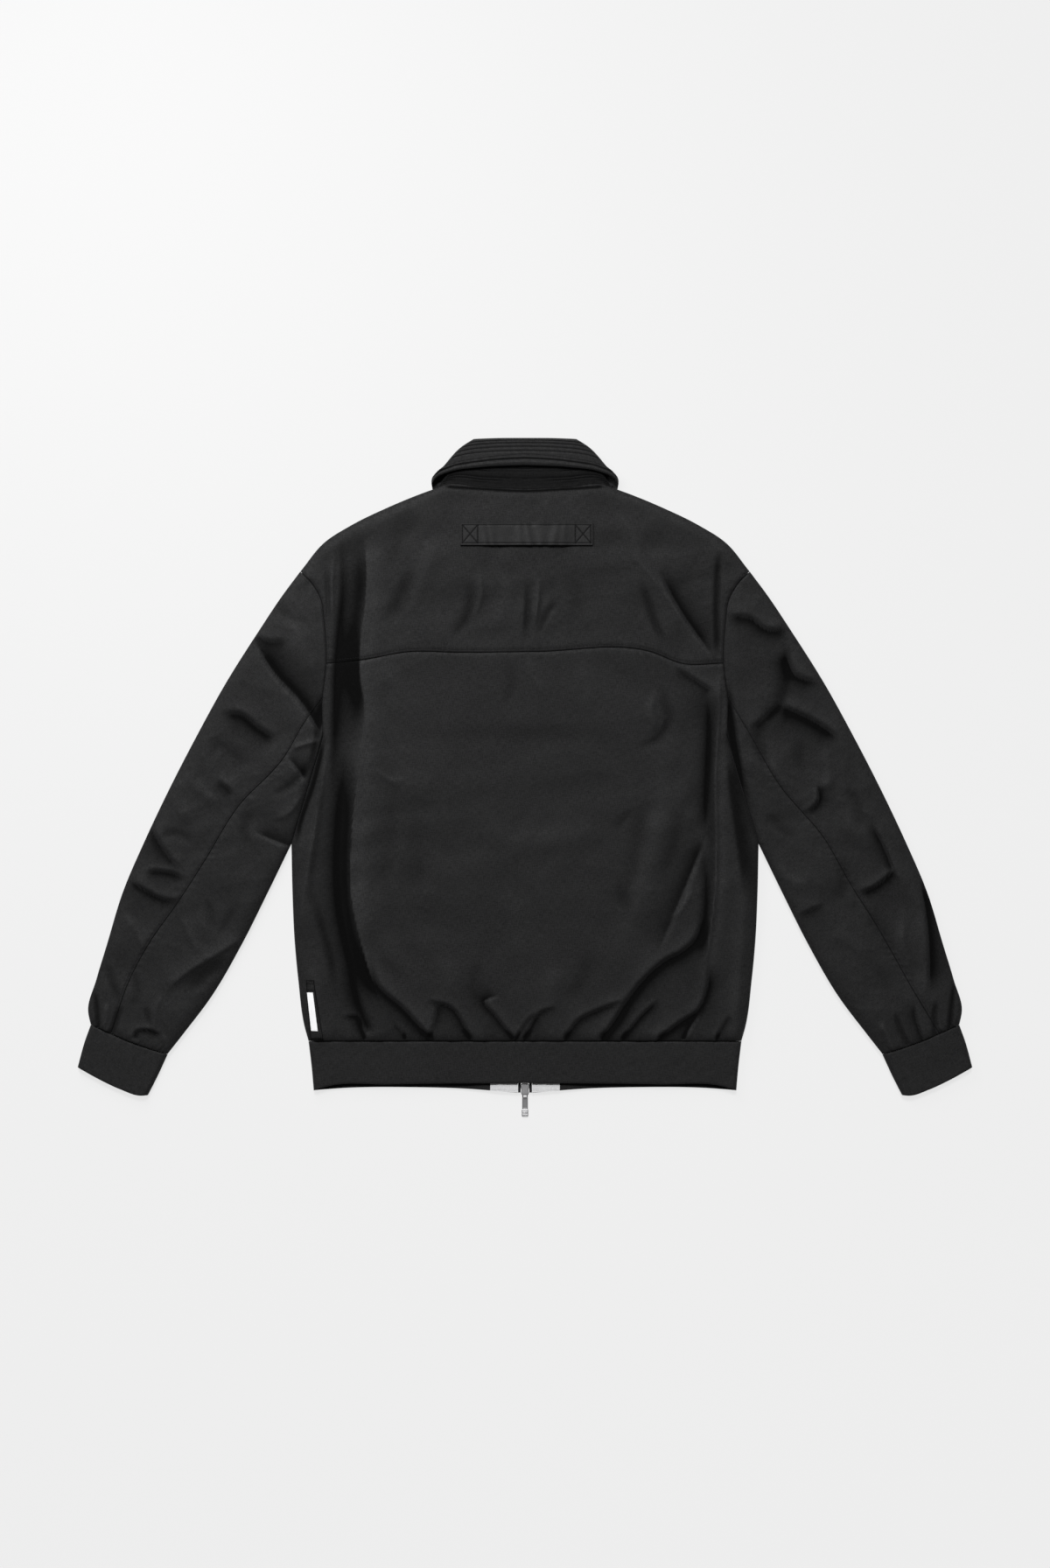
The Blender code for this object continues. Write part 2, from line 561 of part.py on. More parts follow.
LEFT_INSIDE = (0, 5, 8, 11, 14, 17, 18, 19, 21, 23, 25)  # of the left half's 26 columns
BODY_COLUMNS_INSIDE = [BODY_COLUMNS[i] for i in LEFT_INSIDE]
BODY_COLUMNS_INSIDE += [BODY_COLUMNS[-1 - i] for i in LEFT_INSIDE[::-1]]


def armhole_shares(first, last):
    """Shares of a stretch of the armhole, between two of its points, at which the
    pieces on both of its sides have a vertex: close together near the shoulder."""
    whole = run_length(smooth_curve(ARMHOLE, 0, last))
    start = run_length(smooth_curve(ARMHOLE, 0, first)) if first else 0.0
    marks = [mark for mark in ARMHOLE_MARKS if start + 4 < mark < whole - 4]
    return [(mark - start) / (whole - start) for mark in marks]


ARMHOLE_END = len(ARMHOLE) - 1
YOKE_MARK = run_length(smooth_curve(ARMHOLE, 0, YOKE_CORNER))
SEAM_MARK = run_length(smooth_curve(ARMHOLE, 0, SLEEVE_SEAM_CORNER))
ARMHOLE_MARKS = [9.5, 17.0, 26.0, 38.0, 54.0, 76.0, YOKE_MARK, 124.0, SEAM_MARK, 160.0]


# ---------------------------------------------------------------- the pieces

def add_yoke():
    """The back yoke, from the shoulders and the neck down to its seam."""
    armhole = smooth_curve(ARMHOLE, 0, YOKE_CORNER)[::-1]
    patch = Patch(smooth_curve(YOKE_SEAM), YOKE_TOP, armhole, mirrored(armhole))
    marks = [(1 - share, 0.0) for share in armhole_shares(0, YOKE_CORNER)[::-1]]
    rows = places(SEAM_STEPS[:2], 0, (0.0,))[:-1] + marks[:-1] + places((0.0,), 0, ROUND_STEPS[::-1])[1:]
    plan, from_left, from_right, from_seam, from_top = patch.plan(BODY_COLUMNS, rows)
    x, y = plan[..., 0], plan[..., 1]
    by_neck = ease((104 - np.abs(x)) / 10)
    share = (
        edge(from_top, SIDE_ROUND, 0.46 * by_neck)
        * edge(np.minimum(from_left, from_right), SEAM_ROUND, 1 - SEAM_DEPTH)
        * edge(from_seam, SEAM_ROUND, 1 - SEAM_DEPTH * 0.7)
    )
    outer = raised(plan, BACK_FLOOR + RIM + (body_top(x, y) - BACK_FLOOR - RIM) * share)
    inside = rows[:1] + rows[2:-4] + rows[-1:]
    inner = raised(patch.plan(BODY_COLUMNS_INSIDE, inside)[0], BACK_FLOOR)
    orders = [order(BODY_COLUMNS), order(rows), order(BODY_COLUMNS_INSIDE), order(inside)]
    add_wall("back_yoke", outer, inner, CLOTH, orders)


def back_patch():
    """The plan of the back panel, from the hem seam up to the yoke seam."""
    left = joined(side_line(), smooth_curve(ARMHOLE, YOKE_CORNER)[::-1])
    hem = straight(left[0], left[0] * (-1, 1))
    return Patch(hem, smooth_curve(YOKE_SEAM), left, mirrored(left))


def back_height(plan, from_left, from_right, from_hem, from_seam):
    """Outer face of the back panel, rounded at its sides and drawn in at its seams."""
    x, y = plan[..., 0], plan[..., 1]
    at_armhole = ease((y - 34.0) / 16.0)
    radius = SIDE_ROUND + (SEAM_ROUND - SIDE_ROUND) * at_armhole
    share = (
        edge(np.minimum(from_left, from_right), radius, (1 - SEAM_DEPTH) * at_armhole)
        * edge(from_seam, SEAM_ROUND, 1 - SEAM_DEPTH * 0.7)
        * edge(from_hem, HEM_ROUND, HEM_KEPT)
    )
    return BACK_FLOOR + RIM + (body_top(x, y) - BACK_FLOOR - RIM) * share


def add_back():
    """The back panel, with the creases and the hem's gathers."""
    patch = back_patch()
    armpit = (len(side_line()) - 1) / (len(patch.left) - 1)
    marks = armhole_shares(YOKE_CORNER, ARMHOLE_END)[::-1]
    rows = (
        places((0.0, 1.2, 4.0, 9.0, 16.0, 25.0, 36.0, 48.0), 0, (0.0,))[:-1]
        + [(share * armpit, 48.0 * (1 - share)) for share in np.linspace(0, 1, 12)[1:]]
        + [(1 - share * (1 - armpit), 0.0) for share in marks]
        + [(1.0, -2.5), (1.0, 0.0)]
    )
    plan, *edges = patch.plan(BODY_COLUMNS, rows)
    inside = rows[:1] + rows[8:18:3] + rows[18:-2] + rows[-1:]
    inner = raised(patch.plan(BODY_COLUMNS_INSIDE, inside)[0], BACK_FLOOR)
    orders = [order(BODY_COLUMNS), order(rows), order(BODY_COLUMNS_INSIDE), order(inside)]
    add_wall("back_panel", raised(plan, back_height(plan, *edges)), inner, CLOTH, orders)


def add_front(side, sign):
    """One front, under the back: flat where it lies on the table, and lifted where
    the collar and the zip's lower end lie beneath it."""
    edge_line = joined(side_line(), smooth_curve(ARMHOLE)[::-1])
    shoulder = smooth_curve(SHOULDER)
    far = joined(shoulder, smooth_curve(NECK_FRONT))
    centre = straight((-FRONT_EDGE, SIDE[-1].y), far[-1])
    armpit = (len(side_line()) - 1) / (len(edge_line) - 1)
    patch = Patch(straight(edge_line[0], centre[0]), far, edge_line, centre)
    neck_side = (len(shoulder) - 1) / (len(far) - 1)
    columns = (
        places(ROUND_STEPS, 0, (0.0,))[:-1]
        + [(share * neck_side, 9.5 * (1 - share)) for share in np.linspace(0, 1, 6)[1:]]
        + [(neck_side + (1 - neck_side) * share, 0.0) for share in FRONT_NECK_SHARES[1:-1]]
        + [(1.0, -3.0), (1.0, 0.0)]
    )
    rows = (
        [(0.0, 0.0), (0.0, 12.0), (0.0, 26.0)]
        + [(share * armpit, 26.0 * (1 - share)) for share in np.linspace(0, 1, 6)[1:]]
        + [(1 - share * (1 - armpit), 0.0) for share in armhole_shares(0, ARMHOLE_END)[1:][::-1]]
        + [(1.0, -distance) for distance in ROUND_STEPS[::-1]]
    )
    plan, from_side, from_centre, from_hem, from_top = patch.plan(columns, rows)
    x, y = plan[..., 0], plan[..., 1]
    lift = np.maximum(COLLAR_LIFT * collar_under(x, y), ZIP_LIFT * zip_under(x, y))
    by_neck = ease((104 - np.abs(x)) / 10)
    by_armhole = ease((y - 34.0) / 16.0)
    share = (
        edge(from_side, SIDE_ROUND, 0.8 * by_armhole)
        * edge(from_top, SIDE_ROUND, by_neck)
        * edge(from_centre, 3.0, 0.75)
    )
    outer = raised(plan, FRONT_TOP - RIM - (FRONT_TOP - RIM - lift) * share)
    inner_columns = columns[:1] + columns[5:10:2] + columns[9:-2] + columns[-1:]
    inner_columns = sorted(set(inner_columns), key=lambda place: order([place])[0])
    inner_rows = rows[:1] + rows[3:-4] + rows[-1:]
    inner = raised(patch.plan(inner_columns, inner_rows)[0], FRONT_TOP)
    orders = [order(columns), order(rows), order(inner_columns), order(inner_rows)]
    flip = (sign, 1, 1)
    add_wall(f"front_{side}", outer * flip, inner * flip, CLOTH, orders)


SLEEVE_ROWS = places((0.0, 2.0, 6.0, 13.0, 23.0), 15, (16.0, 8.0, 2.5, 0.0))
SLEEVE_ROWS_INSIDE = SLEEVE_ROWS[:1] + SLEEVE_ROWS[4:-4:3] + SLEEVE_ROWS[-4:-3] + SLEEVE_ROWS[-1:]


def sleeve_height(plan, folds, from_fold, from_seam, from_cuff, from_armhole):
    """Outer face of a sleeve's upper layer: round at its folded edge, puffed over
    the cuff, and drawn in at the seams."""
    loft = SLEEVE_LOFT + relief(plan[..., 0], plan[..., 1], folds)
    share = (
        rounding(from_fold, SLEEVE_ROUND)
        * edge(from_seam, SEAM_ROUND, 1 - SEAM_DEPTH * 0.6)
        * edge(from_cuff, HEM_ROUND, HEM_KEPT)
        * edge(from_armhole, SEAM_ROUND, 1 - SEAM_DEPTH)
    )
    return BACK_FLOOR + RIM + (loft - RIM) * share


def add_sleeve(side, sign, back_seam, folds):
    """A two-piece sleeve. The top sleeve runs from the back seam round the outer
    edge and under the arm to the inner edge; the under sleeve fills the rest."""
    outer_line = smooth_curve(SLEEVE_OUTER)[::-1]
    inner_line = joined(smooth_curve(UNDERARM), smooth_curve(SLEEVE_INNER))[::-1]
    seam = smooth_curve(back_seam)[::-1]
    top = Patch(
        smooth_curve(CUFF_SEAM, 0, CUFF_SEAM_CORNER), smooth_curve(ARMHOLE, 0, SLEEVE_SEAM_CORNER),
        outer_line, seam,
    )
    under = Patch(
        smooth_curve(CUFF_SEAM, CUFF_SEAM_CORNER), smooth_curve(ARMHOLE, SLEEVE_SEAM_CORNER),
        seam, inner_line,
    )
    below = Patch(smooth_curve(CUFF_SEAM), smooth_curve(ARMHOLE), outer_line, inner_line)
    flip = (sign, 1, 1)

    marks = [(share, 0.0) for share in armhole_shares(0, SLEEVE_SEAM_CORNER)]
    columns = ([(0.0, distance) for distance in ROUND_STEPS] + marks[1:] + [(1.0, -2.5), (1.0, 0.0)])[::-1]
    plan, from_fold, from_seam, from_cuff, from_armhole = top.plan(columns, SLEEVE_ROWS)
    height = sleeve_height(plan, folds, from_fold, from_seam, from_cuff, from_armhole)
    height = np.where(from_fold < 1e-6, FOLD_LEVEL, height)
    marks = [(share, 0.0) for share in armhole_shares(0, ARMHOLE_END)]
    below_columns = [(0.0, 1.6), (0.0, 9.5)] + marks[1:] + [(1.0, -4.5), (1.0, -1.6), (1.0, 0.0)]
    below_plan, from_outer, from_inner, *_ = below.plan(below_columns, SLEEVE_ROWS)
    by_armhole = ease((14.0 - below.plan(below_columns, SLEEVE_ROWS)[4]) / 12.0)
    share = rounding(from_outer, SLEEVE_ROUND) * edge(from_inner, SIDE_ROUND, 0.5 * by_armhole)
    below_height = (FRONT_TOP - RIM) * (1 - share)
    outer = np.concatenate([raised(plan, height), raised(below_plan, below_height)])
    inner_columns = columns[:1] + columns[2:-5] + [(0.0, 5.0)]
    inner_below = [(0.0, 5.0)] + below_columns[1:-3] + below_columns[-1:]
    inner = np.concatenate([
        raised(top.plan(inner_columns, SLEEVE_ROWS_INSIDE)[0], BACK_FLOOR),
        raised(below.plan(inner_below, SLEEVE_ROWS_INSIDE)[0], FRONT_TOP),
    ])
    orders = [
        [1 - place for place in order(columns)] + [1 + place for place in order(below_columns)],
        order(SLEEVE_ROWS),
        [1 - place for place in order(inner_columns)] + [1 + place for place in order(inner_below)],
        order(SLEEVE_ROWS_INSIDE),
    ]
    add_wall(f"sleeve_top_{side}", outer * flip, inner * flip, CLOTH, orders)

    marks = [(share, 0.0) for share in armhole_shares(SLEEVE_SEAM_CORNER, ARMHOLE_END)]
    columns = [(0.0, 0.0), (0.0, 2.5)] + marks + [(1.0, -distance) for distance in ROUND_STEPS[::-1]]
    plan, from_seam, from_fold, from_cuff, from_armhole = under.plan(columns, SLEEVE_ROWS)
    outer = raised(plan, sleeve_height(plan, folds, from_fold, from_seam, from_cuff, from_armhole))
    inner_columns = columns[:1] + columns[2:-5] + columns[-1:]
    inner = raised(under.plan(inner_columns, SLEEVE_ROWS_INSIDE)[0], BACK_FLOOR)
    orders = [order(columns), order(SLEEVE_ROWS), order(inner_columns), order(SLEEVE_ROWS_INSIDE)]
    add_wall(f"sleeve_under_{side}", outer * flip, inner * flip, CLOTH, orders)


def add_cuff(side, sign):
    """A cuff: a flattened tube of doubled cloth."""
    lines = [smooth_curve(points) for points in (CUFF_EDGE, CUFF_SEAM, CUFF_OUTER, CUFF_INNER)]
    patch = Patch(*lines)
    rows = places((0.0, 1.0, 3.0), 1, (3.0, 1.0, 0.0))
    across = places((0.0, 0.5, 2.0, BAND_NOSE), 5, (BAND_NOSE, 2.0, 0.5, 0.0))
    inside = places((BAND_WALL, BAND_NOSE), 5, (BAND_NOSE, BAND_WALL))

    def tube(columns, rows, inset, reach):
        """The tube's face, inset from its outside, reach above and below its middle."""
        plan, from_outer, from_inner, from_edge, from_seam = patch.plan(columns, rows)
        share = rounding(np.minimum(from_outer, from_inner) - inset, BAND_NOSE - inset)
        ends = edge(np.minimum(from_edge, from_seam), 2.0, 0.8) if inset == 0 else 1
        half = BAND_TOP / 2
        upper = raised(plan, half + reach * share * ends)
        lower = raised(plan, half - reach * share)
        return np.concatenate([upper, lower[1:-1][::-1]])

    outer = tube(across, rows, 0, BAND_TOP / 2)
    inner_rows = [rows[0], rows[3], rows[-1]]
    inner = tube(inside, inner_rows, BAND_WALL, BAND_TOP / 2 - BAND_WALL)
    around = [np.arange(len(grid)) / len(grid) for grid in (outer, inner)]
    orders = [around[0], order(rows), around[1], order(inner_rows)]
    flip = (sign, 1, 1)
    add_wall(f"cuff_{side}", outer * flip, inner * flip, CLOTH, orders, True)


def open_ring(back, front, columns, rows, heights):
    """A flattened ring that is open at the centre front: from the left end under
    the body to the left fold, over the back to the right fold, and back under."""
    back_columns, front_columns = columns
    back_plan, from_left, from_right, *back_ends = back.plan(back_columns, rows)
    front_plan, from_fold, _, *front_ends = front.plan(front_columns, rows)
    over = raised(back_plan, heights(back_plan, np.minimum(from_left, from_right), *back_ends, True))
    below = raised(front_plan, heights(front_plan, from_fold, *front_ends, False))
    return np.concatenate([below[::-1], over, below * (-1, 1, 1)])


def ring_patches(side_points, back_near, back_far, front_near, front_far):
    """The plans of a ring's back and of the left half of its front."""
    side = smooth_curve(side_points)
    near, far = smooth_curve(back_near), smooth_curve(back_far)
    back = Patch(joined(near, mirrored(near)[::-1]), joined(far, mirrored(far)[::-1]), side, mirrored(side))
    near, far = smooth_curve(front_near), smooth_curve(front_far)
    front = Patch(near, far, side, straight(near[-1], far[-1]))
    return back, front


def add_ring(name, patches, outer_parts, inner_parts, finish):
    """An open ring from its outer and inner columns, rows and heights."""
    outer = open_ring(*patches, *outer_parts)
    inner = open_ring(*patches, *inner_parts)
    orders = []
    for (back_columns, front_columns), rows, _ in (outer_parts, inner_parts):
        back_order, front_order = order(back_columns), order(front_columns)
        orders.append(
            [-place for place in front_order[::-1]] + back_order + [1 + place for place in front_order]
        )
        orders.append(order(rows))
    add_wall(name, outer, inner, finish, orders)


def add_band():
    """The hem band round the body, open at the zip."""
    back_top = [Point(SIDE[-1].x, SIDE[-1].y), Point(0.0, SIDE[-1].y)]
    front_top = [Point(SIDE[-1].x, SIDE[-1].y), Point(-BAND_EDGE, SIDE[-1].y)]
    patches = ring_patches(BAND_SIDE, BAND_BACK_EDGE, back_top, BAND_FRONT_EDGE, front_top)
    rows = places((0.0, 1.0, 3.0), 2, (3.0, 1.0, 0.0))
    inner_rows = [rows[0], rows[3], rows[-1]]

    def outer(plan, from_fold, from_edge, from_seam, over):
        """Outer face: level above, lifted by the zip's slider below."""
        share = rounding(from_fold, BAND_NOSE)
        if over:
            ends = edge(np.minimum(from_edge, from_seam), 2.0, 0.75)
            return FOLD_LEVEL + (BAND_TOP - FOLD_LEVEL) * share * ends
        lift = BAND_FRONT_LIFT * zip_under(plan[..., 0], plan[..., 1])
        return FOLD_LEVEL - (FOLD_LEVEL - lift) * share

    def inner(plan, from_fold, from_edge, from_seam, over):
        """Inner face, a wall's thickness in."""
        share = rounding(from_fold - BAND_WALL, BAND_NOSE - BAND_WALL)
        if over:
            return FOLD_LEVEL + (BACK_FLOOR - FOLD_LEVEL) * share
        lift = BAND_FRONT_LIFT * zip_under(plan[..., 0], plan[..., 1])
        return FOLD_LEVEL - (FOLD_LEVEL - BAND_WALL - lift) * share

    back_columns = places((0.0, 0.5, 2.0, BAND_NOSE), 9, (BAND_NOSE, 2.0, 0.5, 0.0))
    front_columns = places((0.5, 2.0, BAND_NOSE), 8, (0.0,))
    back_inside = places((BAND_WALL, BAND_NOSE), 9, (BAND_NOSE, BAND_WALL))
    front_inside = places((BAND_WALL + 1.0, BAND_NOSE), 8, (0.0,))
    add_ring(
        "hem_band", patches,
        ((back_columns, front_columns), rows, outer),
        ((back_inside, front_inside), inner_rows, inner), CLOTH,
    )


def add_stand():
    """The collar's stand, a low band round the neck, open at the zip."""
    patches = ring_patches(STAND_SIDE, NECK_BACK, STAND_BACK_TOP, NECK_FRONT, STAND_FRONT_TOP)
    rows = places((0.0,), 3, (0.0,))
    nose = STAND_WALL + 0.8

    def outer(plan, from_fold, from_near, from_far, over):
        """Outer face, below the fall above and over the collar's points below."""
        face = BACK_FLOOR + STAND_WALL + 0.3 if over else COLLAR_LIFT
        return FOLD_LEVEL + (face - FOLD_LEVEL) * rounding(from_fold, nose)

    def inner(plan, from_fold, from_near, from_far, over):
        """Inner face, level with the body's."""
        face = BACK_FLOOR if over else FRONT_TOP
        return FOLD_LEVEL + (face - FOLD_LEVEL) * rounding(from_fold - STAND_WALL, nose - STAND_WALL)

    back_inside = [(share, 0.0) for share in NECK_SHARES[1:-1]]
    front_inside = [(share, 0.0) for share in FRONT_NECK_SHARES[1:]]
    back_columns = [(0.0, 0.0), (0.0, 0.5), (0.0, 2.0)] + back_inside + [(1.0, -2.0), (1.0, -0.5), (1.0, 0.0)]
    front_columns = [(0.0, 0.5), (0.0, 2.0)] + front_inside
    back_inside = [(0.0, STAND_WALL)] + back_inside + [(1.0, -STAND_WALL)]
    front_inside = [(0.0, STAND_WALL)] + front_inside
    add_ring(
        "collar_stand", patches,
        ((back_columns, front_columns), rows, outer),
        ((back_inside, front_inside), rows, inner), CLOTH,
    )


def add_fall():
    """The collar's fall: it rolls over the stand, and its double edge is thicker."""
    patches = ring_patches(FALL_SIDE, FALL_BACK_EDGE, FALL_BACK_FOLD, FALL_FRONT_EDGE, FALL_FRONT_FOLD)
    rows = places((0.0, 1.0, 3.5, 8.5, 11.0), 1, (6.0, 3.0, 1.0, 0.0))
    inner_rows = places((0.0, 9.5), 1, (FALL_ROLL, FALL_ROLL - 0.4))
    turned = ((BACK_FLOOR, FALL_FLOOR, FALL_TOP), (FRONT_TOP, FALL_WALL, 0.0))

    def outer(plan, from_fold, from_edge, from_roll, over):
        """Outer face, with the thick edge above and flat on the table below."""
        welt = FALL_WELT * ease(from_edge / 2.5 + 0.3) * ease((10.5 - from_edge) / 2.0)
        low = BACK_FLOOR + 0.4
        face = low + (FALL_TOP + welt - low) * rounding(from_roll, 6.0)
        face = face if over else np.interp(face, *turned)
        return FOLD_LEVEL + (face - FOLD_LEVEL) * rounding(from_fold, FALL_NOSE)

    def inner(plan, from_fold, from_edge, from_roll, over):
        """Inner face: on the stand, and down to the body's inner level at the roll."""
        face = np.where(from_roll > FALL_ROLL - 0.2, FALL_FLOOR, BACK_FLOOR + 0.1)
        face = face if over else np.interp(face, *turned)
        return FOLD_LEVEL + (face - FOLD_LEVEL) * rounding(from_fold - FALL_WALL, FALL_NOSE - FALL_WALL)

    back_columns = places((0.0, 0.6, 2.4, FALL_NOSE), 11, (FALL_NOSE, 2.4, 0.6, 0.0))
    front_columns = places((0.6, 2.4, FALL_NOSE), 6, (0.0,))
    back_inside = places((FALL_WALL, FALL_NOSE), 9, (FALL_NOSE, FALL_WALL))
    front_inside = places((FALL_WALL, FALL_NOSE), 6, (0.0,))
    add_ring(
        "collar_fall", patches,
        ((back_columns, front_columns), rows, outer),
        ((back_inside, front_inside), inner_rows, inner), CLOTH,
    )


def add_layer(name, corners, counts, floor, wall, finish):
    """A flat piece that lies on another: four corners, left near, right near, left
    far and right far, and the level that its underside keeps at each point."""
    u, v = np.meshgrid(np.linspace(0, 1, counts[0]), np.linspace(0, 1, counts[1]), indexing="ij")
    u, v = u[..., None], v[..., None]
    left_near, right_near, left_far, right_far = np.array(corners, float)
    plan = (1 - v) * ((1 - u) * left_near + u * right_near) + v * ((1 - u) * left_far + u * right_far)
    under = floor(plan[..., 0], plan[..., 1])
    add_wall(name, raised(plan, under + wall), raised(plan, under), finish)


def on_back(clearance):
    """Level of a piece that lies on the back panel, clear of its facets."""
    patch = back_patch()
    left = patch.left

    def level(x, y):
        """Height at (x, y), by the distance from the panel's left edge."""
        edge_x = np.interp(y, left[:, 1], left[:, 0])
        from_left = x - edge_x
        share = edge(from_left, SIDE_ROUND, 0) * edge(y - SIDE[-1].y, HEM_ROUND, HEM_KEPT)
        return BACK_FLOOR + RIM + (body_top(x, y) - BACK_FLOOR - RIM) * share + clearance

    return level


def add_trims():
    """The hanger strap, the side patch with its label, and the white facings."""

    def on_yoke(x, y):
        """Underside of the strap: sewn down at its ends, bowed a little between."""
        middle = ease((x - STRAP_LEFT - STRAP_SEWN) / 12) * ease((STRAP_RIGHT - STRAP_SEWN - x) / 12)
        ripple = 0.35 * np.cos((x - 2.0) / 5.2)
        return body_top(x, y) + 0.45 + (STRAP_BOW + ripple) * middle

    corners = [(x, y) for y in (STRAP_LOW, STRAP_HIGH) for x in (STRAP_LEFT, STRAP_RIGHT)]
    add_layer("hanger_strap", corners, (27, 3), on_yoke, STRAP_WALL, CLOTH)
    add_layer("side_patch", PATCH_CORNERS, (4, 8), on_back(0.6), 1.0, CLOTH)
    add_layer("side_label", LABEL_CORNERS, (3, 6), on_back(2.1), 0.8, WHITE)
    for side, sign in (("left", 1), ("right", -1)):
        corners = [
            (-FACING_OUTER * sign, FACING_LOW_Y_OUTER), (-FACING_INNER * sign, FACING_LOW_Y),
            (-FACING_OUTER * sign, FACING_TOP_Y), (-FACING_INNER * sign, FACING_TOP_Y),
        ]
        wall = FACING_HIGH - FACING_LOW
        add_layer(f"facing_{side}", corners, (2, 2), lambda x, y: np.full_like(x, FACING_LOW), wall, WHITE)


# ----------------------------------------------------------------- the zip

def prism(name, outline, low, high, axis, zero=(0, ORIGIN_Y, 0), finish=STEEL):
    """An outline drawn through from low to high along an axis (0 for X, 2 for Z)."""
    count = len(outline)
    points = []
    for level in (low, high):
        for first, second in outline:
            points.append((level, first, second) if axis == 0 else (first, second, level))
    faces = [tuple(range(count)), tuple(range(2 * count - 1, count - 1, -1))]
    faces += [(i, (i + 1) % count, (i + 1) % count + count, i + count) for i in range(count)]
    return add_mesh(name, points, faces, finish, zero)


def combine(piece, other, operation):
    """Joins another solid to the piece, or cuts it out, and removes the other."""
    modifier = piece.modifiers.new(operation, "BOOLEAN")
    modifier.operation = operation
    modifier.object = other
    graph = bpy.context.evaluated_depsgraph_get()
    made = bpy.data.meshes.new_from_object(piece.evaluated_get(graph))
    piece.modifiers.clear()
    piece.data = made
    bpy.data.objects.remove(other)


def add_zip_strips():
    """The chain between the two sliders and the tapes beside it."""
    bottom, top = SLIDER_TOP_Y + 0.4, SLIDER_TOP_Y - SLIDER_LENGTH + UPPER_SLIDER_RISE - 0.4
    outline = [(-CHAIN_HALF, bottom), (CHAIN_HALF, bottom), (CHAIN_HALF, top), (-CHAIN_HALF, top)]
    prism("zip_chain", outline, CHAIN_LOW, CHAIN_HIGH, 2)
    tape = namedtuple("Tape", "y inner outer")
    rows = [
        tape(-352.6, 6.2, 7.6), tape(-341.0, 5.8, 7.5), tape(-332.0, 2.9, 6.0),
        tape(265.0, 2.9, 6.0), tape(274.0, 5.8, 7.5), tape(288.0, 5.8, 7.5),
    ]
    for side, sign in (("left", -1), ("right", 1)):
        outline = [(sign * row.inner, row.y) for row in rows]
        outline += [(sign * row.outer, row.y) for row in rows[::-1]]
        prism(f"zip_tape_{side}", outline, TAPE_LOW, TAPE_HIGH, 2, finish=TAPE)


def add_slider(name, rise):
    """A slider body with the bail that its pull hangs from."""
    half = namedtuple("Half", "along x")
    outline = [
        half(0.0, 3.6), half(1.6, 4.9), half(4.6, 4.7), half(7.6, 3.9), half(10.6, 4.6),
        half(SLIDER_LENGTH, 3.4),
    ]
    top = SLIDER_TOP_Y + rise
    ring = [(-row.x, top - row.along) for row in outline] + [(row.x, top - row.along) for row in outline[::-1]]
    body = prism(name, ring, SLIDER_LOW, SLIDER_HIGH, 2)
    axis = PULL_AXIS_Y + rise
    into = SLIDER_LOW + 0.4
    bail = [
        (axis + 8.8, into), (axis + 8.2, 0.8), (axis + 7.2, BAIL_LOW), (axis - 0.9, BAIL_LOW),
        (axis - 1.9, 1.1), (axis - 1.9, into), (axis - 1.0, into), (axis - 1.0, 1.5),
        (axis - 0.6, BAIL_LOW + BAIL_BAR), (axis + 6.6, BAIL_LOW + BAIL_BAR), (axis + 7.3, 1.6),
        (axis + 7.7, into),
    ]
    combine(body, prism(name + "_bail", bail, -BAIL_HALF, BAIL_HALF, 0), "UNION")


def add_pull(name, rise):
    """A pull tab: a ring round the bail, a neck and a thicker grip. It is made
    round its own axis and then tipped down to the table."""
    axis = (0, 0, 0)
    bar, grip = PULL_WALL / 2, PULL_GRIP_WALL / 2
    ring_end, neck_start = PULL_HOLE_END + 0.2, PULL_HOLE_END + 1.2
    neck_end = PULL_GRIP_START + 0.5
    right = [
        (PULL_RING_HALF - 0.8, bar), (PULL_RING_HALF, -0.6), (PULL_RING_HALF, -ring_end),
        (PULL_NECK_HALF - 0.3, -neck_start), (PULL_NECK_HALF, -neck_end),
    ]
    pull = prism(name, right + [(-x, y) for x, y in right[::-1]], -bar, bar, 2, axis)
    right = [
        (PULL_HOLE_HALF, -bar), (PULL_HOLE_HALF, 1.0 - PULL_HOLE_END),
        (PULL_HOLE_HALF / 2, -PULL_HOLE_END),
    ]
    hole = right + [(-x, y) for x, y in right[::-1]]
    combine(pull, prism(name + "_hole", hole, -PULL_WALL, PULL_WALL, 2, axis), "DIFFERENCE")
    right = [
        (PULL_GRIP_HALF, -PULL_GRIP_START), (PULL_GRIP_HALF, 0.8 - PULL_LENGTH),
        (PULL_GRIP_HALF - 0.8, -PULL_LENGTH),
    ]
    end = right + [(-x, y) for x, y in right[::-1]]
    combine(pull, prism(name + "_grip", end, -grip, grip, 2, axis), "UNION")
    pull.location = (0, (PULL_AXIS_Y + rise - ORIGIN_Y) * MM, PULL_AXIS_Z * MM)
    pull.rotation_euler = (PULL_TILT, 0, 0)


def main():
    """Builds the whole jacket."""
    for piece in list(bpy.data.objects):
        bpy.data.objects.remove(piece)
    add_yoke()
    add_back()
    for side, sign, seam, folds in (
        ("left", 1, BACK_SEAM_LEFT, SLEEVE_FOLDS_LEFT),
        ("right", -1, BACK_SEAM_RIGHT, SLEEVE_FOLDS_RIGHT),
    ):
        add_front(side, sign)
        add_sleeve(side, sign, seam, folds)
        add_cuff(side, sign)
    add_band()
    add_stand()
    add_fall()
    add_trims()
    add_zip_strips()
    for name, rise in (("lower", 0.0), ("upper", UPPER_SLIDER_RISE)):
        add_slider(f"zip_slider_{name}", rise)
        add_pull(f"zip_pull_{name}", rise)


if __name__ == "__main__":
    main()
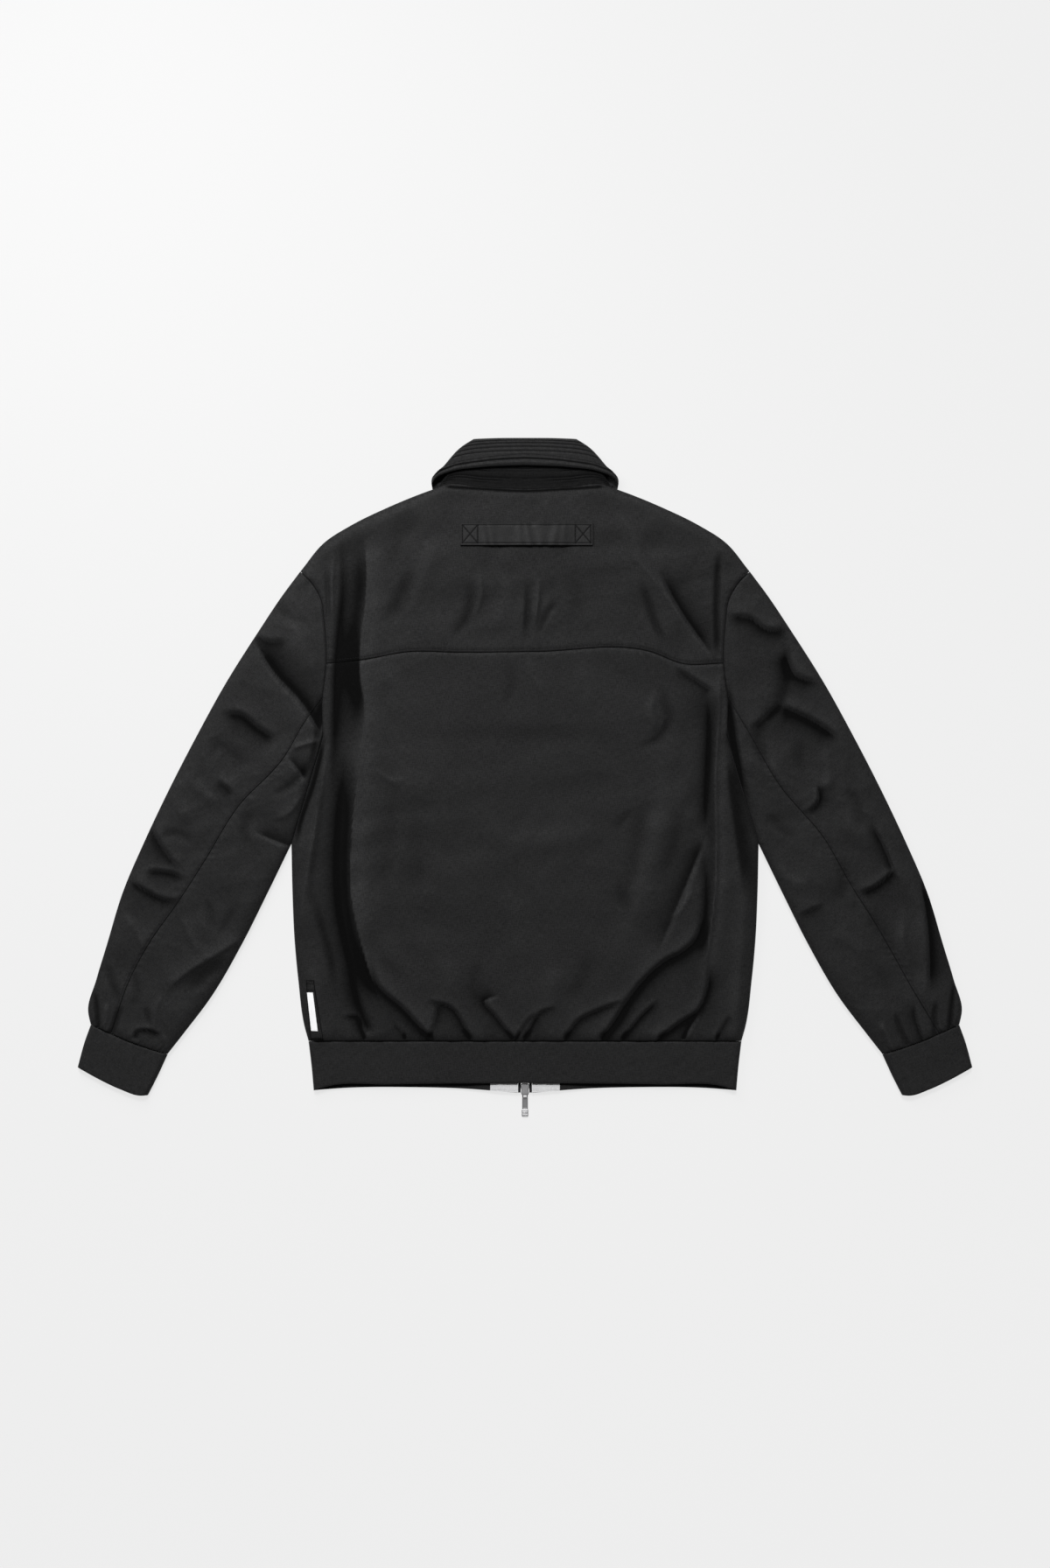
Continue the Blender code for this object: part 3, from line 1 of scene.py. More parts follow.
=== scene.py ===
"""Looks of a padded bomber jacket, zipped up and laid flat on its front.

Sizes are in millimetres until a mesh is made. +X is to the right of someone who
looks down on the jacket's back with the collar at the top, +Y runs from the hem
to the collar and +Z is up from the table. Each cloth piece is a wall between an
outer grid of points, which holds the creases, and a plain inner grid.
"""

import logging
import math
from collections.abc import Callable
from dataclasses import dataclass, field, replace
from enum import Enum

import bmesh
import bpy
import numpy as np
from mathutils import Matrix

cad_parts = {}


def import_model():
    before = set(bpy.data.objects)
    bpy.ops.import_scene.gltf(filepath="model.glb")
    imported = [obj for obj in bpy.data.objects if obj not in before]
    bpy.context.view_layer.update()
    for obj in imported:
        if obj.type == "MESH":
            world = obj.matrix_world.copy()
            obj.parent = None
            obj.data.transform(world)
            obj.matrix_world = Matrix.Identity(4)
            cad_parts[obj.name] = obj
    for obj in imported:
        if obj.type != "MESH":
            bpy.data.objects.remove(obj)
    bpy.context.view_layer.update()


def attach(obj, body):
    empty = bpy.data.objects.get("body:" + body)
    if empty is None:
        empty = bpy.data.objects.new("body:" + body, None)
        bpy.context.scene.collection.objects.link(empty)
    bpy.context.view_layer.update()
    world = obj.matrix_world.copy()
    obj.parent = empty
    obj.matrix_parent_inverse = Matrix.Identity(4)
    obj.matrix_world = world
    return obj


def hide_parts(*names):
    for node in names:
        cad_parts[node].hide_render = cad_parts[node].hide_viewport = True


Array = np.ndarray
Object = bpy.types.Object
Node = bpy.types.Node
Socket = bpy.types.NodeSocket
Tree = bpy.types.NodeTree
Value = Socket | float
Heights = Callable[..., Array]  # of points, from their plan or from their X and Y
LOG = logging.getLogger("jacket")

MM = 0.001
CLOUDS = 9.0  # clouds of a cloth's colour in a metre
ORIGIN_Y = -1.1  # the middle of the jacket's length, where the model's origin goes


# ------------------------------------------------------------------ levels

@dataclass(frozen=True)
class Levels:
    """Heights above the table, and how far seams and folds draw the padding in."""

    front_top: float = 6.0  # inner face of the fronts
    back_floor: float = 6.8  # inner face of the back
    fold: float = 6.4  # where the two layers meet along a folded edge
    body_loft: float = 6.4
    sleeve_loft: float = 6.0
    thinnest: float = 1.3  # what the deepest crease leaves of the wall
    rim: float = 0.5
    side_round: float = 14.0
    sleeve_round: float = 16.0
    seam_round: float = 5.0
    seam_depth: float = 0.3
    hem_round: float = 11.0
    hem_kept: float = 0.5
    collar_lift: float = 3.3  # of the fronts, over the collar's points
    zip_lift: float = 2.3  # of the fronts, over the lower slider


LEVEL = Levels()
SEAM_GAP = 0.34  # between two pieces that are sewn together
CREASE_REACH = 5.0  # widths from its run at which a crease is no longer felt
TUCK_DEEPER = 1.2  # what its valley adds to a tuck's height
INNER_STEP = 8.0  # between points of the hidden inner faces
ARM_GRAIN = math.radians(-24)  # from +Y to the threads of the left sleeve
CURVE_STEP = 1.5
FINE = (0.0, 0.25, 0.8, 1.7, 3.0)  # distances from an edge at which a wall is cut
ROLLED = (0.0, 0.2, 0.6, 1.3, 2.4, 4.0)  # the same from a rolled fold
BAND_EDGE = (0.0, 0.3, 0.9, 1.8)
BARE = (0.0,)


class Side(Enum):
    """Half of the jacket, by its sign on X in the left half's own sizes."""

    LEFT = 1
    RIGHT = -1

    @property
    def word(self) -> str:
        """The half's name in the names of pieces."""
        return self.name.lower()


class Border(Enum):
    """Side of a four-sided panel."""

    NEAR = "near"
    FAR = "far"
    LEFT = "left"
    RIGHT = "right"


# ------------------------------------------------------------- plan curves

def knots(*pairs: tuple[float, float]) -> Array:
    """Plan points as an array with a row for each."""
    return np.array(pairs, float)


class Edges:
    """Plan edges of the left half, seen on the side that faces up."""

    shoulder = knots(
        (-250.6, 229), (-224.2, 260.8), (-194, 280.3), (-154, 299.8), (-120, 314), (-96.5, 322.6)
    )
    neck_back = knots((-96.5, 322.6), (-88, 325.4), (-48.8, 322.6), (0, 320.3))
    neck_front = knots((-96.5, 322.6), (-84, 296), (-52, 266), (-7.9, 253))
    armhole = knots(
        (-250.6, 229), (-236.5, 214), (-227.5, 198), (-223.5, 171),
        (-221.3, 126), (-223.5, 105), (-225.5, 88.2), (-225, 45.3),
    )
    yoke_corner = 4  # the armhole's point where the yoke seam ends
    sleeve_corner = 6  # the armhole's point where the sleeve's back seam starts
    underarm = knots((-225, 45.3), (-241.8, -12.2), (-260.6, -75.6))
    side = knots(
        (-260.6, -75.6), (-259.5, -129.2), (-257.4, -177.9), (-253, -226.7), (-245.7, -280),
        (-241.5, -294.9),
    )
    yoke_seam = knots(
        (-221.3, 126), (-184.3, 129.2), (-130.7, 138.6), (-72.1, 138), (11.7, 138.9), (139.4, 138.9),
        (176.5, 125.5), (221.3, 126),
    )
    sleeve_outer = knots(
        (-250.6, 229), (-270.5, 202.3), (-296.5, 163.3), (-333.5, 104.8), (-365.8, 46.3), (-396, -12.2),
        (-423.8, -70.7), (-448.8, -129.2), (-466.6, -187.7), (-478.4, -226.7), (-487.5, -262),
        (-484.6, -276.4),
    )
    sleeve_inner = knots(
        (-260.6, -75.6), (-286.6, -129.2), (-315.9, -187.7), (-350, -246.2), (-380, -286),
        (-398.5, -309.6),
    )
    cuff_seam = knots((-484.6, -276.4), (-461.5, -286.6), (-444.6, -294), (-423, -302), (-398.5, -309.6))
    cuff_corner = 1  # the cuff seam's point where the sleeve's back seam ends
    back_seam = {
        Side.LEFT: knots(
            (-225.5, 88.2), (-245.7, 60), (-270.1, 19), (-319.8, -34), (-356.8, -94.1),
            (-389, -143.8), (-415.3, -180.9), (-437.8, -220.8), (-461.5, -286.6),
        ),
        Side.RIGHT: knots(
            (-225.5, 88.2), (-250, 48), (-281.8, -7.3), (-334.4, -70.7), (-362, -119),
            (-392.9, -168.2), (-434.8, -242.3), (-461.5, -286.6),
        ),
    }
    cuff_edge = knots((-499.2, -324.2), (-474, -338.2), (-451.4, -348.8), (-429, -356), (-420.5, -355.6))
    cuff_outer = knots((-499.2, -324.2), (-491.5, -296), (-484.6, -276.8))
    cuff_inner = knots((-420.5, -355.6), (-410, -335), (-398.5, -310))
    band_side = knots((-235.8, -350.2), (-238, -325), (-241.5, -295.2))
    band_back_edge = knots((-235.8, -350.2), (-222, -345.8), (-150, -343.2), (0, -341.9))
    band_front_edge = knots((-235.8, -350.2), (-200, -347.6), (-130, -346.8), (-58.5, -348.9), (-7.9, -353))
    fall_side = knots((-104.6, 326.4), (-104.6, 330.5), (-92, 345), (-72, 367), (-57.5, 376.6))
    fall_back_edge = knots((-104.6, 326.4), (-98, 333.2), (-84, 339.2), (-50, 344.4), (0, 346.8))
    fall_back_fold = knots((-57.5, 376.6), (-30, 377.6), (0, 377.8))
    fall_front_edge = knots((-104.6, 326.4), (-97, 292), (-74, 250), (-44, 214))
    fall_front_fold = knots((-57.5, 376.6), (-48, 343), (-30, 311), (-12, 297))
    stand_side = knots((-96.5, 322.6), (-86, 340), (-69, 360.5), (-62, 366))
    stand_back_top = knots((-62, 366), (-48, 370.6), (0, 371.4))
    stand_front_top = knots((-62, 366), (-56, 340), (-37, 308), (-7.9, 288))


def evenly(line: Array, step: float = CURVE_STEP) -> Array:
    """The same polyline, resampled at even steps of its length.

    Args:
        line: points, a row each, in two or three sizes.
        step: about how far apart the new points are.

    Returns:
        The new points.
    """
    run = np.concatenate([[0], np.cumsum(np.linalg.norm(np.diff(line, axis=0), axis=1))])
    where = np.linspace(0, run[-1], 1 + math.ceil(run[-1] / step))
    return np.stack([np.interp(where, run, line[:, axis]) for axis in range(line.shape[1])], axis=1)


def smooth_curve(points: Array, first: int = 0, last: int | None = None) -> Array:
    """A cubic Hermite curve through the points, with the slope at each worked out
    from its neighbours.

    Args:
        points: the points that it goes through.
        first: the point that the curve starts at.
        last: the point that it ends at, or the last one.

    Returns:
        The curve at even steps of its length.
    """
    last = len(points) - 1 if last is None else last
    spans = np.linalg.norm(np.diff(points, axis=0), axis=1)
    places = np.concatenate([[0], np.cumsum(spans)])
    slopes = np.gradient(points, places, axis=0)
    where = np.linspace(places[first], places[last], 400)
    index = np.clip(np.searchsorted(places, where, side="right") - 1, 0, len(spans) - 1)
    step = spans[index][:, None]
    t = (where - places[index])[:, None] / step
    line = (
        (2 * t**3 - 3 * t**2 + 1) * points[index]
        + (t**3 - 2 * t**2 + t) * step * slopes[index]
        + (3 * t**2 - 2 * t**3) * points[index + 1]
        + (t**3 - t**2) * step * slopes[index + 1]
    )
    return evenly(line)


def straight(start: Array, end: Array) -> Array:
    """A straight line between two points, as a curve."""
    return evenly(np.array([start, end], float))


def joined(*lines: Array) -> Array:
    """Polylines one after the other, each kept on its own even steps."""
    return np.concatenate([lines[0]] + [line[1:] for line in lines[1:]])


def mirrored(line: Array) -> Array:
    """The polyline on the other side of the centre line."""
    return line * (-1, 1)


def there_and_back(half: Array) -> Array:
    """A line that runs to the centre line, and on as its own mirror image."""
    return joined(half, mirrored(half)[::-1])


def reading(line: Array, share: Array) -> Array:
    """Points of a polyline at shares of its steps."""
    steps = np.linspace(0, 1, len(line))
    return np.stack([np.interp(share, steps, line[:, axis]) for axis in (0, 1)], axis=-1)


def ways(line: Array) -> Array:
    """Unit vector along a plan curve at each of its points."""
    way = np.gradient(line, axis=0)
    return way / np.linalg.norm(way, axis=1, keepdims=True)


def length_of(line: Array) -> float:
    """Length of a polyline."""
    return float(np.linalg.norm(np.diff(line, axis=0), axis=1).sum())


def stops(length: float, step: float, near: tuple = FINE, far: tuple = FINE) -> Array:
    """Columns or rows along a side: close together by its ends and even between.

    Args:
        length: about how long the side is.
        step: distance between the even ones.
        near: distances from the start of the first ones.
        far: distances from the end of the last ones.

    Returns:
        A row for each: a share of the way, and a distance on from there.
    """
    count = max(1, round((length - near[-1] - far[-1]) / step) - 1)
    share = np.linspace(0, 1, count + 2)[1:-1]
    return np.concatenate([
        np.stack([np.zeros(len(near)), near], axis=1),
        np.stack([share, near[-1] * (1 - share) - far[-1] * share], axis=1),
        np.stack([np.ones(len(far)), -np.array(far[::-1])], axis=1),
    ])


def even_stops(length: float, step: float) -> Array:
    """Columns or rows at even steps, for a face that shows no edges."""
    return stops(length, step, BARE, BARE)


def order(places: Array) -> Array:
    """Rising numbers for columns or rows, which rims are sewn by."""
    return places[:, 0] + places[:, 1] / 1000


@dataclass
class Patch:
    """A four-sided area of the plan. near and far run left to right, left and
    right run near to far."""

    near: Array
    far: Array
    left: Array
    right: Array

    def plan(self, columns: Array, rows: Array) -> tuple[Array, Array, Array, Array, Array]:
        """Plan points on a grid, drawn in by half a seam gap on all sides: the sum
        of the blends between opposite edges, less the blend of the four corners.

        Args:
            columns: shares and distances from left to right.
            rows: shares and distances from near to far.

        Returns:
            The points, and how far each is from the left, right, near and far edge.
        """
        middle = np.linalg.norm(reading(self.right, 0.5) - reading(self.left, 0.5))
        first = np.clip(columns[:, 0] + columns[:, 1] / middle, 0, 1)
        length = np.linalg.norm(reading(self.far, first) - reading(self.near, first), axis=-1)
        v = np.clip(rows[:, 0] + rows[:, 1] / length[:, None], 0, 1)
        width = np.linalg.norm(reading(self.right, v) - reading(self.left, v), axis=-1)
        u = np.clip(columns[:, :1] + columns[:, 1:] / width, 0, 1)
        near, far = reading(self.near, u), reading(self.far, u)
        left, right = reading(self.left, v), reading(self.right, v)
        u_, v_ = u[..., None], v[..., None]
        corners = (
            (1 - u_) * (1 - v_) * self.near[0]
            + u_ * (1 - v_) * self.near[-1]
            + (1 - u_) * v_ * self.far[0]
            + u_ * v_ * self.far[-1]
        )
        place = (1 - v_) * near + v_ * far + (1 - u_) * left + u_ * right - corners
        across, along = right - left, far - near
        width, length = np.linalg.norm(across, axis=-1), np.linalg.norm(along, axis=-1)
        drawn_in = (1 - 2 * u_) * across / width[..., None] + (1 - 2 * v_) * along / length[..., None]
        return place + drawn_in * SEAM_GAP / 2, u * width, (1 - u) * width, v * length, (1 - v) * length


# ------------------------------------------------------------------ relief

def ease(t: Array) -> Array:
    """Smooth step from 0 to 1."""
    t = np.clip(t, 0, 1)
    return t * t * (3 - 2 * t)


def rounding(distance: Array, radius: float | Array) -> Array:
    """Quarter ellipse: 0 at the edge, 1 from radius inwards."""
    return np.sqrt(1 - (1 - np.clip(distance / radius, 0, 1)) ** 2)


def edge(distance: Array, radius: float | Array, kept: float | Array) -> Array:
    """Share of the height left near an edge that keeps only this share itself."""
    return kept + (1 - kept) * rounding(distance, radius)


def bump(distance: Array, width: float | Array, power: float = 2.0) -> Array:
    """1 at no distance, falling away as a bell of this half width."""
    return np.exp(-2 * (np.abs(distance) / width) ** power)


class Form(Enum):
    """Cross-section of a crease."""

    SOFT = "soft"  # a rounded ridge or trough
    CRISP = "crisp"  # with a pressed line along its crest
    FACET = "facet"  # no height of its own: a band of painted shade on one side of a line, painted highlight where its height is above 0
    TUCK = "tuck"  # a sharp valley with a steep bank on one side and a slope on the other


@dataclass(frozen=True)
class Crease:
    """A crease along a smooth run. height is over the loft; a painted band's height is
    only painted shade below 0 and painted highlight above 0. left and right are its
    half widths on the two sides of the run, as someone who walks along it sees
    them. A tuck has the width of its steep side in left and of its slope in right.
    Its bank is on the right, or on the left where right is below 0, and a painted
    band's broad side is found in the same way. starts and ends are the shares of the run
    over which it comes and goes, swell widens its middle."""

    run: tuple
    height: float
    left: float
    right: float
    form: Form = Form.SOFT
    starts: float = 0.35
    ends: float = 0.4
    swell: float = 0.0

    def mirrored(self) -> "Crease":
        """The same crease on the other half."""
        run = tuple((-x, y) for x, y in self.run)
        one_sided = self.form in (Form.TUCK, Form.FACET)
        left, right = (self.left, -self.right) if one_sided else (self.right, self.left)
        return replace(self, run=run, left=left, right=right)

    def section(self, beside: Array, wider: Array) -> tuple[Array, Array]:
        """Cross-section as sums of bells of the distance beside the run. A tuck is a
        bank less a narrow valley on one side and a long slope below 0 on the other,
        and its tone, painted highlight on the bank and painted shade in the valley and
        down the slope, is darker and sharper in the valley than its height.

        Args:
            beside: distance to the right of the run, below 0 to its left.
            wider: how much the widths have grown at each point.

        Returns:
            The height and the painted light and shade at each point, as shares of the crease's own.
        """
        past = beside * np.sign(self.right)
        if self.form is Form.FACET:
            shape = np.where(past > 0, bump(past, 1.5 * abs(self.right), 3.0), bump(past, self.left))
        elif self.form is Form.TUCK:
            slope = 1.35 * abs(self.right) * wider
            bank = 0.4 * bump(past, 1.5 * slope, 1.7) - 1.2 * bump(past, 0.8 * self.left * wider)
            # lit and dark are painted light and shade: a highlight on the bank with a dark line in the
            # valley, and shade down the slope
            lit = 0.6 * bump(past, 1.5 * slope) - 1.5 * bump(past, 0.35 * self.left)
            dark = -0.9 * bump(past, 2.6 * slope, 1.4) - 0.6 * bump(past, 0.9 * slope)
            foot = -0.8 * bump(past, 1.7 * slope, 1.1)
            return np.where(past > 0, bank, foot), np.where(past > 0, lit, dark)
        else:
            width = np.where(beside > 0, self.right, self.left) * wider
            shape = bump(beside, width, 1.3 if self.form is Form.CRISP else 2.0)
        return shape, shape

    def add_to(self, total: Array, tone: Array, x: Array, y: Array) -> None:
        """Adds the crease to the heights, and to the painted light and shade, of the points
        near it: its cross-section at the distance from the run, times its comings and goings along it.

        Args:
            total: heights at the points, which are changed.
            tone: painted light and shade at the points, which are changed.
            x: the points' X.
            y: the points' Y.
        """
        line = smooth_curve(np.array(self.run, float))
        line = line[np.unique(np.linspace(0, len(line) - 1, max(8, len(line) // 3)).astype(int))]
        reach = CREASE_REACH * max(abs(self.left), abs(self.right)) * (1 + self.swell)
        low, high = line.min(axis=0) - reach, line.max(axis=0) + reach
        near = (x > low[0]) & (x < high[0]) & (y > low[1]) & (y < high[1])
        if not near.any():
            return
        points = np.stack([x[near], y[near]], axis=1)[:, None]
        start, leg = line[:-1], np.diff(line, axis=0)
        t = np.clip(((points - start) * leg).sum(-1) / (leg**2).sum(-1), 0, 1)
        away = points - start - t[..., None] * leg
        best = (away**2).sum(-1).argmin(axis=1)
        rows = np.arange(len(points))
        away, leg, at = away[rows, best], leg[best], (best + t[rows, best]) / len(leg)
        beside = np.sign(leg[:, 1] * away[:, 0] - leg[:, 0] * away[:, 1]) * np.linalg.norm(away, axis=1)
        shape, shade = self.section(beside, 1 + self.swell * np.sin(math.pi * at))
        comes = ease(at / self.starts) if self.starts else 1.0
        goes = ease((1 - at) / self.ends) if self.ends else 1.0
        depth = (TUCK_DEEPER * self.height if self.form is Form.TUCK else self.height) * comes * goes
        # painted light and shade along the crease
        tone[near] += depth * shade
        if self.form is not Form.FACET:
            total[near] += depth * shape


def folded(x: Array, y: Array, creases: list[Crease]) -> tuple[Array, Array]:
    """Height of all the creases at the points, and their tone: painted highlight
    on ridges and painted shade in hollows, in the same millimetres."""
    total, tone = np.zeros_like(x), np.zeros_like(x)
    for crease in creases:
        crease.add_to(total, tone, x, y)
    return total, tone


def relief(x: Array, y: Array, creases: list[Crease]) -> Array:
    """Height of all the creases at the points."""
    return folded(x, y, creases)[0]


@dataclass(frozen=True)
class Rumple:
    """Unevenness of padded cloth: a sum of slow waves in all directions, with
    pressed ridges that come and go."""

    seed: int
    depth: float
    longest: float = 95.0
    shortest: float = 16.0
    waves: int = 30
    crisp: float = 0.0

    def height(self, x: Array, y: Array) -> Array:
        """Height at the points: each wave as deep as it is long."""
        random = np.random.default_rng(self.seed)
        size = np.geomspace(self.longest, self.shortest, self.waves)
        turn = random.uniform(0, math.pi, self.waves)
        phase = random.uniform(0, 2 * math.pi, self.waves)
        total = np.zeros_like(x)
        bend = 9.0 * np.sin(y / 47.0 + self.seed) + 6.0 * np.sin(x / 31.0)
        for wave, angle, shift in zip(size, turn, phase):
            along = (x + bend) * math.cos(angle) + (y - bend) * math.sin(angle)
            swing = np.sin(2 * math.pi * along / wave + shift)
            total += (wave / self.longest) ** 0.8 * swing
            here = np.sin((x + 2 * y) / 83.0 + 3 * shift) * np.sin((y - 1.4 * x) / 71.0 + 5 * angle)
            ridge = (1 - np.abs(swing)) ** 2 * np.clip(here - 0.2, 0, 1) ** 0.7
            total += self.crisp * (wave / self.longest) ** 0.6 * ridge
        calm = 0.6 + 0.4 * np.maximum(ease((np.abs(x) - 40.0) / 90.0), ease((y - 110.0) / 50.0))
        return self.depth * calm * total / math.sqrt(self.waves)


def puckers(run: Array, distance: Array, depth: float, pitch: float = 6.6, reach: float = 4.5) -> Array:
    """Small gathers that a row of stitches draws up: uneven waves along the seam
    that die away from it.

    Args:
        run: how far along the seam each point is.
        distance: how far from the seam it is.
        depth: height of the waves at the seam.
        pitch: about how long one wave is.
        reach: how far from the seam they have all but gone.

    Returns:
        The height at each point.
    """
    waves = np.sin(2 * math.pi * run / pitch + 1.7 * np.sin(run / 13.0) + 1.1 * np.sin(run / 5.3))
    uneven = 0.65 + 0.35 * np.sin(run / 17.0 + 0.8)
    return depth * waves * uneven * np.exp(-((distance / reach) ** 2))


def groove(distance: Array, depth: float, width: float = 1.1) -> Array:
    """The line that a row of stitches presses into padded cloth."""
    return -depth * bump(distance, width)


